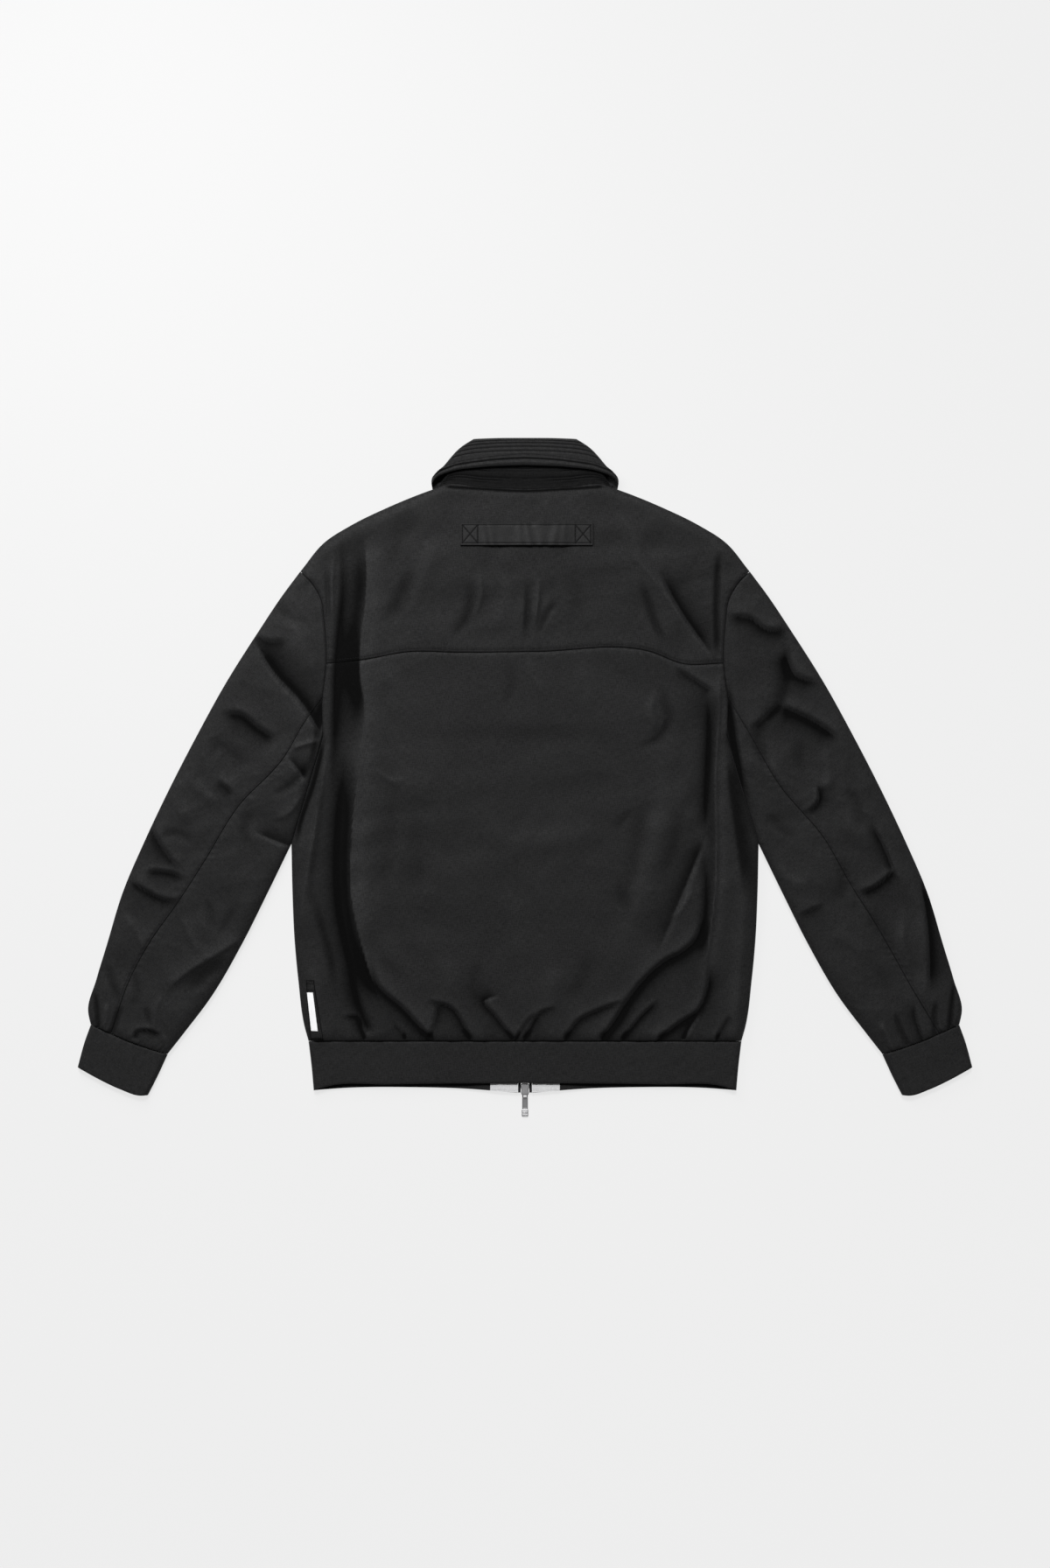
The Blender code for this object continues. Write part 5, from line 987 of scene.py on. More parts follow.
@dataclass(frozen=True)
class Stitching:
    """Rows of topstitching: each stitch is a short spindle of thread, half sunk in
    the cloth."""

    long: float = 2.7
    pitch: float = 3.3
    thick: float = 0.62
    sides: int = 5

    def spindle(self) -> tuple[Array, Array]:
        """One stitch along its own X: rings whose radius grows and shrinks as the
        square root of a half circle, and the quads between them."""
        along = np.array([-0.5, -0.42, 0.0, 0.42, 0.5])
        radius = np.array([0.05, 0.72, 1.0, 0.72, 0.05]) * self.thick / 2
        turn = np.arange(self.sides) * 2 * math.pi / self.sides
        ring = np.stack([
            np.broadcast_to(along[:, None] * self.long, (5, self.sides)),
            radius[:, None] * np.cos(turn), radius[:, None] * np.sin(turn),
        ], axis=-1)
        numbers = np.arange(5 * self.sides).reshape(5, self.sides).T
        return ring.reshape(-1, 3), grid_quads(numbers, True)

    def make(self, name: str, runs: list[Array], dress: "Finish | None" = None) -> Object:
        """All the stitches of some runs as one piece that rides on the body.

        Args:
            name: the piece's name.
            runs: a polyline in space for each row of stitches.
            dress: the thread's finish, where it isn't the shell's own.

        Returns:
            The new piece.
        """
        spots, ways = zip(*(stations(run, self.pitch) for run in runs if len(run) > 1))
        at, way = np.concatenate(spots), np.concatenate(ways)
        side = np.cross((0, 0, 1), way)
        side /= np.linalg.norm(side, axis=1, keepdims=True)
        up = np.cross(way, side)
        shape, quads = self.spindle()
        points = (
            at[:, None] + shape[:, 0, None] * way[:, None] + shape[:, 1, None] * side[:, None]
            + shape[:, 2, None] * up[:, None]
        )
        every = np.arange(len(at))[:, None, None] * len(shape)
        ends = np.array([range(self.sides), range(4 * self.sides, 5 * self.sides)])
        fans = np.stack([ends[:, :1].repeat(self.sides - 2, 1), ends[:, 1:-1], ends[:, 2:]], axis=-1)
        piece = add_mesh(
            name, points.reshape(-1, 3), (quads + every).reshape(-1, 4),
            (fans.reshape(-1, 3) + every).reshape(-1, 3), dress or Finishes.thread,
        )
        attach(piece, "root")
        return piece


# --------------------------------------------------------------- materials

class Graph:
    """Short hand for a node tree."""

    def __init__(self, tree: Tree) -> None:
        """Keeps the tree that nodes are added to."""
        self.tree = tree

    def add(self, kind: str, inputs: dict | None = None, **settings) -> Node:
        """A node with settings, and values or sockets for its inputs.

        Args:
            kind: the node's type without its ShaderNode prefix.
            inputs: socket names or numbers, each with a value or a socket to link.
            settings: the node's own properties.

        Returns:
            The new node.
        """
        node = self.tree.nodes.new("ShaderNode" + kind)
        for name, value in settings.items():
            setattr(node, name, value)
        for name, value in (inputs or {}).items():
            self.put(node, name, value)
        return node

    def put(self, node: Node, name: str | int, value: object) -> None:
        """Links a socket to a node's input, or sets the input to a value."""
        if isinstance(value, Socket):
            self.tree.links.new(value, node.inputs[name])
        else:
            node.inputs[name].default_value = value

    def math(self, operation: str, first: Value, second: Value = 0.0) -> Socket:
        """The result of a Math node on two values or sockets."""
        return self.add("Math", {0: first, 1: second}, operation=operation).outputs[0]

    def group(self, tree: Tree, inputs: dict) -> Node:
        """A node for a group, with values or sockets for its inputs."""
        node = self.add("Group", node_tree=tree)
        for name, value in inputs.items():
            self.put(node, name, value)
        return node

    def sum_of(self, first: Value, share: float, second: Value, other: float) -> Socket:
        """Two sockets, each times its share, added up."""
        return self.math("ADD", self.math("MULTIPLY", first, share), self.math("MULTIPLY", second, other))

    def ramp(self, value: Value, start: float, end: float) -> Socket:
        """0 where the value is at the start, 1 where it is at the end."""
        return self.add("MapRange", {"Value": value, "From Min": start, "From Max": end}).outputs["Result"]

    def noise(self, place: Socket, scale: Value, detail: float, roughness: float = 0.5) -> Socket:
        """Fractal noise at a place."""
        inputs = {"Vector": place, "Scale": scale, "Detail": detail, "Roughness": roughness}
        return self.add("TexNoise", inputs).outputs["Fac"]


def new_group(name: str, inputs: dict, outputs: tuple) -> tuple[Tree, Graph, dict]:
    """A shader node group with vector and number inputs, and number outputs.

    Args:
        name: the group's name.
        inputs: for each input its value, or None for a vector.
        outputs: the outputs' names.

    Returns:
        The group, its graph and the sockets of its inputs by name.
    """
    tree = bpy.data.node_groups.new(name, "ShaderNodeTree")
    for label, value in inputs.items():
        kind = "NodeSocketVector" if value is None else "NodeSocketFloat"
        socket = tree.interface.new_socket(label, in_out="INPUT", socket_type=kind)
        if value is not None:
            socket.default_value = value
    for label in outputs:
        tree.interface.new_socket(label, in_out="OUTPUT", socket_type="NodeSocketFloat")
    graph = Graph(tree)
    start = tree.nodes.new("NodeGroupInput")
    return tree, graph, {label: start.outputs[label] for label in inputs}


def close_group(tree: Tree, results: dict) -> Tree:
    """Links a group's results to its outputs."""
    end = tree.nodes.new("NodeGroupOutput")
    for label, socket in results.items():
        tree.links.new(socket, end.inputs[label])
    return tree


def twill_group() -> Tree:
    """Twill weave on a UV map in metres: slanting ribs crossed by finer threads,
    with uneven yarns. Puts out its height and how light each yarn is."""
    known = bpy.data.node_groups.get("twill weave")
    if known:
        return known
    tree, graph, given = new_group(
        "twill weave", {"Vector": None, "Ribs": 700.0, "Uneven": 0.5}, ("Height", "Tone")
    )
    ribs = graph.add(
        "TexWave",
        {"Vector": given["Vector"], "Scale": given["Ribs"], "Distortion": 1.1, "Detail Scale": 2.0},
        wave_type="BANDS", bands_direction="DIAGONAL",
    ).outputs["Fac"]
    threads = graph.add(
        "TexWave", {"Vector": given["Vector"], "Scale": graph.math("MULTIPLY", given["Ribs"], 2.1),
                    "Distortion": 0.4},
        wave_type="BANDS", bands_direction="X",
    ).outputs["Fac"]
    yarn = graph.noise(given["Vector"], 900.0, 3.0, 0.65)
    height = graph.sum_of(ribs, 0.7, threads, 0.3)
    rough = graph.math("MULTIPLY", graph.math("SUBTRACT", yarn, 0.5), given["Uneven"])
    slubs = []
    for stretch in ((150.0, 1300.0, 1.0), (1300.0, 180.0, 1.0)):
        place = graph.add("VectorMath", {0: given["Vector"], 1: stretch}, operation="MULTIPLY").outputs[0]
        slubs.append(graph.noise(place, 1.0, 2.0))
    uneven = graph.sum_of(yarn, 0.4, graph.sum_of(slubs[0], 0.5, slubs[1], 0.5), 0.6)
    tone = graph.sum_of(ribs, 0.2, graph.ramp(uneven, 0.42, 0.58), 0.8)
    return close_group(tree, {"Height": graph.math("ADD", height, rough), "Tone": tone})


def mottle_group() -> Tree:
    """Slow variation of a surface: faint clouds, and finer smudges of lint or dust."""
    known = bpy.data.node_groups.get("mottle")
    if known:
        return known
    tree, graph, given = new_group("mottle", {"Vector": None, "Clouds": CLOUDS, "Smudges": 120.0}, ("Tone",))
    clouds = graph.noise(given["Vector"], given["Clouds"], 3.0)
    smudges = graph.noise(given["Vector"], given["Smudges"], 4.0, 0.65)
    return close_group(tree, {"Tone": graph.sum_of(clouds, 0.6, smudges, 0.4)})


def painted_shading_group() -> Tree:
    """Painted light and shade along creases, from the tone that the points carry in
    millimetres: painted shade and more roughness in hollows, painted highlight on ridges."""
    known = bpy.data.node_groups.get("crest")
    if known:
        return known
    tree, graph, given = new_group("crest", {"Crest": 0.0}, ("Light", "Rough"))
    hollow, ridge = graph.ramp(given["Crest"], 0.0, -5.0), graph.ramp(given["Crest"], 0.0, 4.5)
    light = graph.math("ADD", graph.sum_of(hollow, -0.9, ridge, 0.6), 1.0)
    return close_group(tree, {"Light": light, "Rough": graph.sum_of(hollow, 0.42, ridge, -0.03)})


@dataclass(frozen=True)
class Finish:
    """What all finishes have: a name, the record's slot and two ends of a colour."""

    name: str
    slot: str
    dark: tuple[float, float, float]
    light: tuple[float, float, float]
    roughness: float

    def material(self) -> bpy.types.Material:
        """The finish's material, made once."""
        made = bpy.data.materials.get(self.name)
        if made is None:
            made = bpy.data.materials.new(self.name)
            made.use_nodes = True
            graph = Graph(made.node_tree)
            self.dress(graph, made.node_tree.nodes["Principled BSDF"])
        return made

    def dress(self, graph: Graph, shader: Node) -> None:
        """Adds the finish's own nodes."""
        raise NotImplementedError

    def colour(self, graph: Graph, shader: Node, tone: Socket, spread: float) -> None:
        """Base Color between the dark and the light end by the tone, and Roughness
        a little lower where the colour is light. Along creases the colour takes painted
        shade in hollows and painted highlight on ridges, and the roughness changes too."""
        crest = graph.add("Attribute", attribute_name="crest").outputs["Fac"]
        painted_light = graph.group(painted_shading_group(), {"Crest": crest})
        mix = graph.add("Mix", data_type="RGBA")
        graph.tree.links.new(tone, mix.inputs[0])
        mix.inputs[6].default_value, mix.inputs[7].default_value = (*self.dark, 1), (*self.light, 1)
        # the base colour scaled by painted light and shade along creases
        lit = graph.add("VectorMath", {0: mix.outputs[2], 3: painted_light.outputs["Light"]}, operation="SCALE")
        graph.tree.links.new(lit.outputs[0], shader.inputs["Base Color"])
        rough = graph.add(
            "MapRange", {"Value": tone, "To Min": self.roughness + spread, "To Max": self.roughness - spread}
        )
        rough = graph.math("ADD", rough.outputs["Result"], painted_light.outputs["Rough"])
        graph.tree.links.new(rough, shader.inputs["Roughness"])


@dataclass(frozen=True)
class Cloth(Finish):
    """Woven cloth: twill ribs in bump, mottled colour, and a sheen of short fibres."""

    ribs: float = 700.0
    bump: float = 0.00012
    sheen: float = 0.03
    shine: float = 0.1

    def dress(self, graph: Graph, shader: Node) -> None:
        """Weave on the piece's grain, mottle on its place, sheen on the shader."""
        uv = graph.add("UVMap", uv_map="grain").outputs["UV"]
        weave = graph.group(twill_group(), {"Vector": uv, "Ribs": self.ribs})
        place = graph.add("TexCoord").outputs["Object"]
        mottle = graph.group(mottle_group(), {"Vector": place, "Clouds": CLOUDS})
        tone = graph.sum_of(mottle.outputs["Tone"], 0.35, weave.outputs["Tone"], 0.65)
        self.colour(graph, shader, tone, 0.13)
        woven = graph.add("Bump", {"Strength": 0.6, "Distance": self.bump, "Height": weave.outputs["Height"]})
        graph.tree.links.new(woven.outputs["Normal"], shader.inputs["Normal"])
        shader.inputs["Sheen Weight"].default_value = self.sheen
        shader.inputs["Sheen Roughness"].default_value = 0.4
        shader.inputs["Specular IOR Level"].default_value = self.shine


@dataclass(frozen=True)
class Metal(Finish):
    """Plated zip metal: clouded plating, paler on worn edges."""

    def dress(self, graph: Graph, shader: Node) -> None:
        """Plating tone from mottle, wear from how sharp the surface is."""
        place = graph.add("TexCoord").outputs["Object"]
        mottle = graph.group(mottle_group(), {"Vector": place, "Clouds": 180.0, "Smudges": 900.0})
        worn = graph.ramp(graph.add("NewGeometry").outputs["Pointiness"], 0.5, 0.62)
        tone = graph.math("MINIMUM", graph.math("ADD", mottle.outputs["Tone"], worn), 1.0)
        self.colour(graph, shader, tone, 0.08)
        scuffs = graph.add("Bump", {"Strength": 0.25, "Distance": 0.00004, "Height": mottle.outputs["Tone"]})
        graph.tree.links.new(scuffs.outputs["Normal"], shader.inputs["Normal"])
        shader.inputs["Metallic"].default_value = 1.0


def grey(level: float, blue: float = 0.0) -> tuple[float, float, float]:
    """A linear grey, with a little more blue where asked."""
    return (level, level, round(level + blue, 6))


class Finishes:
    """Every finish of the jacket. Colours are linear."""

    charcoal = "charcoal_twill"
    shell = Cloth("charcoal shell", charcoal, grey(0.003, 0.0001), grey(0.0208, 0.0003), 0.6)
    elastic = Cloth(
        "charcoal elastic", charcoal, grey(0.003, 0.0001), grey(0.0208, 0.0003), 0.62, 420.0, 0.00018
    )
    # the stand is the shell's cloth made much darker: painted shade
    stand = Cloth("charcoal stand", charcoal, grey(0.0008, 0.0001), grey(0.004, 0.0001), 0.76, 420.0)
    # the strap is the shell's cloth made lighter: painted light
    strap = Cloth("charcoal strap", charcoal, grey(0.0115, 0.0002), grey(0.0246, 0.0003), 0.56)
    thread = Cloth("charcoal thread", charcoal, grey(0.005, 0.0002), grey(0.012, 0.0003), 0.6, 1500.0)
    # thread near black, darker than the shell's thread: painted shade of the grooves its stitches sit in
    dark_thread = Cloth("dark thread", charcoal, grey(0.001), grey(0.003), 0.8, 1500.0)
    white = Cloth("white facing", "white_twill", grey(0.5, 0.005), grey(0.72, 0.005), 0.72, 800.0)
    label = Cloth("white label", "white_twill", grey(0.78, 0.005), grey(0.88, 0.005), 0.6, 1300.0, 0.00006)
    tape = Cloth("zip tape", "zip_tape_black", grey(0.009, 0.001), grey(0.016, 0.001), 0.85, 900.0)
    metal = Metal("gunmetal plating", "gunmetal", grey(0.2, 0.005), grey(0.42, 0.005), 0.52)


# ------------------------------------------------------------------ panels

class Panel:
    """A wall of cloth on a four-sided plan, whose outer face follows height()."""

    creases: list[Crease] = BODY_CREASES

    def __init__(self, patch: Patch) -> None:
        """Keeps the plan."""
        self.patch = patch

    def height(self, plan: Array, left: Array, right: Array, near: Array, far: Array) -> Array:
        """Outer face at the plan points.

        Args:
            plan: the points.
            left: how far each is from the left edge, and so on.
            right: from the right edge.
            near: from the near edge.
            far: from the far edge.

        Returns:
            The height of each.
        """
        raise NotImplementedError

    def outer(self, columns: Array, rows: Array) -> Array:
        """Points of the outer face."""
        plan, *edges = self.patch.plan(columns, rows)
        return raised(plan, self.height(plan, *edges))

    def tone(self, columns: Array, rows: Array) -> Array:
        """Painted light and shade of the creases on the outer face."""
        plan = self.patch.plan(columns, rows)[0]
        return folded(plan[..., 0], plan[..., 1], self.creases)[1]

    def inner(self, columns: Array, rows: Array, level: float) -> Array:
        """Points of the inner face, which is level."""
        return raised(self.patch.plan(columns, rows)[0], level)

    def wall(self, size: tuple[float, float], step: float, level: float, toned: bool = True) -> Wall:
        """The panel as a wall down to a level inner face.

        Args:
            size: about how wide and long it is.
            step: between the points of its outer face.
            level: height of its inner face.
            toned: whether its creases paint light and shade on it.

        Returns:
            The wall.
        """
        columns, rows = (stops(length, step) for length in size)
        inner_columns, inner_rows = (even_stops(length, INNER_STEP) for length in size)
        return Wall(
            self.outer(columns, rows), self.inner(inner_columns, inner_rows, level),
            (order(columns), order(rows)), (order(inner_columns), order(inner_rows)),
            tone=self.tone(columns, rows) if toned else None,
        )

    def run(self, border: Border, distance: float, trim: float = 1.5) -> Array:
        """A line on the outer face at a distance from one of its borders.

        Args:
            border: the side that it follows.
            distance: how far in it lies.
            trim: how far from the two ends it stops.

        Returns:
            The line's points in space.
        """
        across = border in (Border.NEAR, Border.FAR)
        line = {
            Border.NEAR: self.patch.near, Border.FAR: self.patch.far,
            Border.LEFT: self.patch.left, Border.RIGHT: self.patch.right,
        }[border]
        along = stops(length_of(line), 2.0, (trim,), (trim,))
        start = border in (Border.NEAR, Border.LEFT)
        at = np.array([[0.0, distance] if start else [1.0, -distance]])
        return self.outer(along, at)[:, 0] if across else self.outer(at, along)[0]


def side_line() -> Array:
    """The body's left edge from the hem up to the armpit."""
    return joined(smooth_curve(Edges.underarm), smooth_curve(Edges.side))[::-1]


class Yoke(Panel):
    """The back yoke, from the shoulders and the neck down to its seam."""

    def __init__(self) -> None:
        """Sets out the yoke between the yoke seam, armholes and shoulders."""
        shoulder, neck = smooth_curve(Edges.shoulder), smooth_curve(Edges.neck_back)
        top = joined(shoulder, neck, mirrored(neck)[::-1], mirrored(shoulder)[::-1])
        armhole = smooth_curve(Edges.armhole, 0, Edges.yoke_corner)[::-1]
        super().__init__(Patch(smooth_curve(Edges.yoke_seam), top, armhole, mirrored(armhole)))

    def height(self, plan: Array, left: Array, right: Array, near: Array, far: Array) -> Array:
        """Padding that rounds off over the shoulders and is drawn in at the seams."""
        x, y = plan[..., 0], plan[..., 1]
        by_neck = ease((104 - np.abs(x)) / 10)
        side = np.minimum(left, right)
        share = (
            edge(far, LEVEL.side_round, 0.46 * by_neck)
            * edge(side, LEVEL.seam_round, 1 - LEVEL.seam_depth)
            * edge(near, LEVEL.seam_round, 1 - LEVEL.seam_depth * 0.7)
        )
        sewn = puckers(x, near - 3.5, 0.24, 7.2, 6.5) + groove(near - 3.2, 0.3) + puckers(y, side, 0.25, 8.0)
        base = LEVEL.back_floor + LEVEL.rim
        return base + (body_top(x, y) + sewn - base) * share


class Back(Panel):
    """The back panel, from the hem seam up to the yoke seam."""

    def __init__(self) -> None:
        """Sets out the panel between its sides, the band and the yoke."""
        left = joined(side_line(), smooth_curve(Edges.armhole, Edges.yoke_corner)[::-1])
        hem = straight(left[0], left[0] * (-1, 1))
        super().__init__(Patch(hem, smooth_curve(Edges.yoke_seam), left, mirrored(left)))

    def height(self, plan: Array, left: Array, right: Array, near: Array, far: Array) -> Array:
        """Padding rounded at the folded sides and drawn in at the seams."""
        x, y = plan[..., 0], plan[..., 1]
        at_armhole = ease((y - 34.0) / 16.0)
        radius = LEVEL.side_round + (LEVEL.seam_round - LEVEL.side_round) * at_armhole
        side = np.minimum(left, right)
        share = (
            edge(side, radius, (1 - LEVEL.seam_depth) * at_armhole)
            * edge(far, LEVEL.seam_round, 1 - LEVEL.seam_depth * 0.7)
            * edge(near, LEVEL.hem_round, LEVEL.hem_kept)
        )
        sewn = (
            puckers(x, far, 0.22, 8.0, 7.0) + puckers(x + 11.0, near, 0.5, 9.5, 9.0)
            + puckers(y, side, 0.25, 8.0) * at_armhole
        )
        base = LEVEL.back_floor + LEVEL.rim
        return base + (body_top(x, y) + sewn - base) * share


class Front(Panel):
    """One front, face down on the table, in the left half's sizes."""

    def __init__(self) -> None:
        """Sets out the front between the side, the zip, the hem and the shoulder."""
        edge_line = joined(side_line(), smooth_curve(Edges.armhole)[::-1])
        far = joined(smooth_curve(Edges.shoulder), smooth_curve(Edges.neck_front))
        centre = straight((-6.3, Edges.side[-1, 1]), far[-1])
        super().__init__(Patch(straight(edge_line[0], centre[0]), far, edge_line, centre))

    def height(self, plan: Array, left: Array, right: Array, near: Array, far: Array) -> Array:
        """Flat on the table, lifted by creases, by the collar and by the slider."""
        x, y = plan[..., 0], plan[..., 1]
        rise = np.maximum(relief(x, y, FRONT_CREASES) + 0.25 * BODY_RUMPLE.height(x, y) - 0.1, 0)
        hem = 0.35 * (1 + np.sin(x / 4.3 + 0.9 * np.sin(x / 17))) * np.exp(-near / 9.0)
        lift = np.maximum(LEVEL.collar_lift * collar_under(x, y), LEVEL.zip_lift * zip_under(x, y))
        share = (
            edge(left, LEVEL.side_round, 0.8 * ease((y - 34.0) / 16.0))
            * edge(far, LEVEL.side_round, ease((104 - np.abs(x)) / 10))
            * edge(right, 3.0, 0.75)
        )
        top = LEVEL.front_top - LEVEL.rim
        return top - (top - np.minimum(lift + rise + hem, top - 1.0)) * share


class SleevePart(Panel):
    """A panel of the sleeve's upper layer. round_edge is its folded side."""

    def __init__(self, patch: Patch, side: Side, round_edge: Border) -> None:
        """Keeps the plan, the half and the folded side."""
        super().__init__(patch)
        self.creases = SLEEVE_CREASES[Side.LEFT]
        if side is Side.RIGHT:
            self.creases = [crease.mirrored() for crease in SLEEVE_CREASES[Side.RIGHT]]
        self.round_edge = round_edge

    def height(self, plan: Array, left: Array, right: Array, near: Array, far: Array) -> Array:
        """Padding round at the folded edge, puffed over the cuff, drawn in at seams."""
        x, y = plan[..., 0], plan[..., 1]
        fold, seam = (left, right) if self.round_edge is Border.LEFT else (right, left)
        loft = LEVEL.sleeve_loft + relief(x, y, self.creases) + SLEEVE_RUMPLE.height(x, y)
        loft += puckers(y, seam - 1.5, 0.3) + groove(seam - 3.0, 0.3) + puckers(x - y, near, 0.5, 8.5, 8.0)
        loft += puckers(y, far, 0.25, 8.0)
        share = (
            rounding(fold, LEVEL.sleeve_round)
            * edge(seam, LEVEL.seam_round, 1 - LEVEL.seam_depth * 0.6)
            * edge(near, LEVEL.hem_round, LEVEL.hem_kept)
            * edge(far, LEVEL.seam_round, 1 - LEVEL.seam_depth)
        )
        base = LEVEL.back_floor + LEVEL.rim
        return base + (soft_least(loft, LEVEL.thinnest) - LEVEL.rim) * share


class SleeveBelow(Panel):
    """The layer of the sleeve that lies on the table."""

    def height(self, plan: Array, left: Array, right: Array, near: Array, far: Array) -> Array:
        """Flat on the table, round at both edges, lifted a little by creases."""
        rise = np.maximum(relief(plan[..., 0], plan[..., 1], SLEEVE_BELOW_CREASES), 0)
        by_armhole = ease((14.0 - far) / 12.0)
        share = rounding(left, LEVEL.sleeve_round) * edge(right, LEVEL.side_round, 0.5 * by_armhole)
        top = LEVEL.front_top - LEVEL.rim
        return top - (top - np.minimum(rise, top - 1.0)) * share


# ---------------------------------------------------------- sub-assemblies

@dataclass
class Body:
    """The yoke, the back panel and the two fronts."""

    step: float = 1.75
    below_step: float = 3.2
    topstitch: float = 3.2

    def build(self) -> list[Object]:
        """Makes the four panels, logs their cloth's flat size, and sews the yoke."""
        yoke = Yoke()
        yoke_wall = yoke.wall((500, 190), self.step * 0.9, LEVEL.back_floor)
        back = Back().wall((500, 425), self.step, LEVEL.back_floor)
        front = Front().wall((240, 560), self.below_step, LEVEL.front_top, toned=False)
        pieces = [
            place_cloth(yoke_wall, "back_yoke", name="cloth_yoke"),
            place_cloth(back, "back_panel", name="cloth_back"),
        ]
        pieces += [place_cloth(front, f"front_{side.word}", flip=side.value) for side in Side]
        runs = [yoke.run(Border.NEAR, self.topstitch)]
        runs += [yoke.run(border, 2.6) for border in (Border.LEFT, Border.RIGHT)]
        return pieces + [Stitching().make("thread_yoke", runs)]


def place_cloth(
    wall: Wall, node: str, dress: Finish = Finishes.shell, grain: float = 0.0,
    flip: int = 1, name: str | None = None,
) -> Object:
    """Makes a wall of cloth, has it stand for its node and ride on the body, and
    logs its flat size.

    Args:
        wall: the cloth.
        node: the solid that it stands for.
        dress: its finish.
        grain: angle from +Y to its threads.
        flip: -1 mirrors it to the other half.
        name: the piece's name, where it isn't cloth_ and the node's.

    Returns:
        The new piece.
    """
    piece = stand_for(wall.make(name or f"cloth_{node}", dress, grain, flip), node)
    flat, area = wall.cut()
    LOG.info("%s: cut %.0f x %.0f mm, %.4f m2", piece.name, flat[0] / MM, flat[1] / MM, area)
    return piece


@dataclass
class Sleeve:
    """A two-piece sleeve: the top sleeve runs from the back seam round the outer
    edge and under the arm, the under sleeve fills the rest."""

    side: Side
    step: float = 1.7
    below_step: float = 3.4

    def build(self) -> list[Object]:
        """Makes both parts and sews the back seam and the armhole."""
        outer_line = smooth_curve(Edges.sleeve_outer)[::-1]
        inner_line = joined(smooth_curve(Edges.underarm), smooth_curve(Edges.sleeve_inner))[::-1]
        seam = smooth_curve(Edges.back_seam[self.side])[::-1]
        cuff, hole = Edges.cuff_seam, Edges.armhole
        ends = smooth_curve(cuff, 0, Edges.cuff_corner), smooth_curve(hole, 0, Edges.sleeve_corner)
        top = SleevePart(Patch(*ends, outer_line, seam), self.side, Border.LEFT)
        ends = smooth_curve(cuff, Edges.cuff_corner), smooth_curve(hole, Edges.sleeve_corner)
        under = SleevePart(Patch(*ends, seam, inner_line), self.side, Border.RIGHT)
        below = SleeveBelow(Patch(smooth_curve(cuff), smooth_curve(hole), outer_line, inner_line))
        under_wall = under.wall((80, 400), self.step, LEVEL.back_floor)
        word, flip = self.side.word, self.side.value
        pieces = [
            place_cloth(self.wrapped(top, below), f"sleeve_top_{word}", grain=ARM_GRAIN, flip=flip),
            place_cloth(under_wall, f"sleeve_under_{word}", grain=ARM_GRAIN, flip=flip),
        ]
        runs = [top.run(border, 2.8) * (flip, 1, 1) for border in (Border.RIGHT, Border.FAR)]
        return pieces + [Stitching().make(f"thread_sleeve_{word}", runs)]

    def wrapped(self, top: Panel, below: Panel) -> Wall:
        """The top sleeve's wall: its columns run from the back seam out to the fold,
        and then under the arm to the inner edge.

        Args:
            top: the part on the upper side.
            below: the part on the table.

        Returns:
            The wall.
        """
        rows, inner_rows = stops(430, self.step), even_stops(430, INNER_STEP)
        columns = stops(110, self.step)[::-1]
        over = top.outer(columns, rows)
        over[-1, :, 2] = LEVEL.fold
        below_columns = stops(140, self.below_step, (0.3, 0.9, 2.0, 4.0, 7.0, 11.0), FINE)
        under = below.outer(below_columns, rows)
        inner_over = stops(110, INNER_STEP, (5.0,), BARE)[::-1]
        inner_below = stops(140, INNER_STEP, (5.0,), BARE)
        inner = np.concatenate([
            top.inner(inner_over, inner_rows, LEVEL.back_floor),
            below.inner(inner_below, inner_rows, LEVEL.front_top),
        ])
        return Wall(
            np.concatenate([over, under]), inner,
            (np.concatenate([1 - order(columns), 1 + order(below_columns)]), order(rows)),
            (np.concatenate([1 - order(inner_over), 1 + order(inner_below)]), order(inner_rows)),
            tone=np.concatenate([top.tone(columns, rows), np.zeros(under.shape[:2])]),
        )


def elastic_ripples(x: Array, y: Array, seam: Array) -> Array:
    """The fine upright ripples of a band over elastic, deeper by its seam."""
    ripple = np.sin(x / 1.35 + 1.4 * np.sin(x / 9.0)) * (0.55 + 0.45 * np.sin(x / 21.0 + y / 30.0))
    return 0.09 * ripple + 0.22 * np.sin(x / 3.1 + np.sin(x / 12.0)) * np.exp(-seam / 7.0)


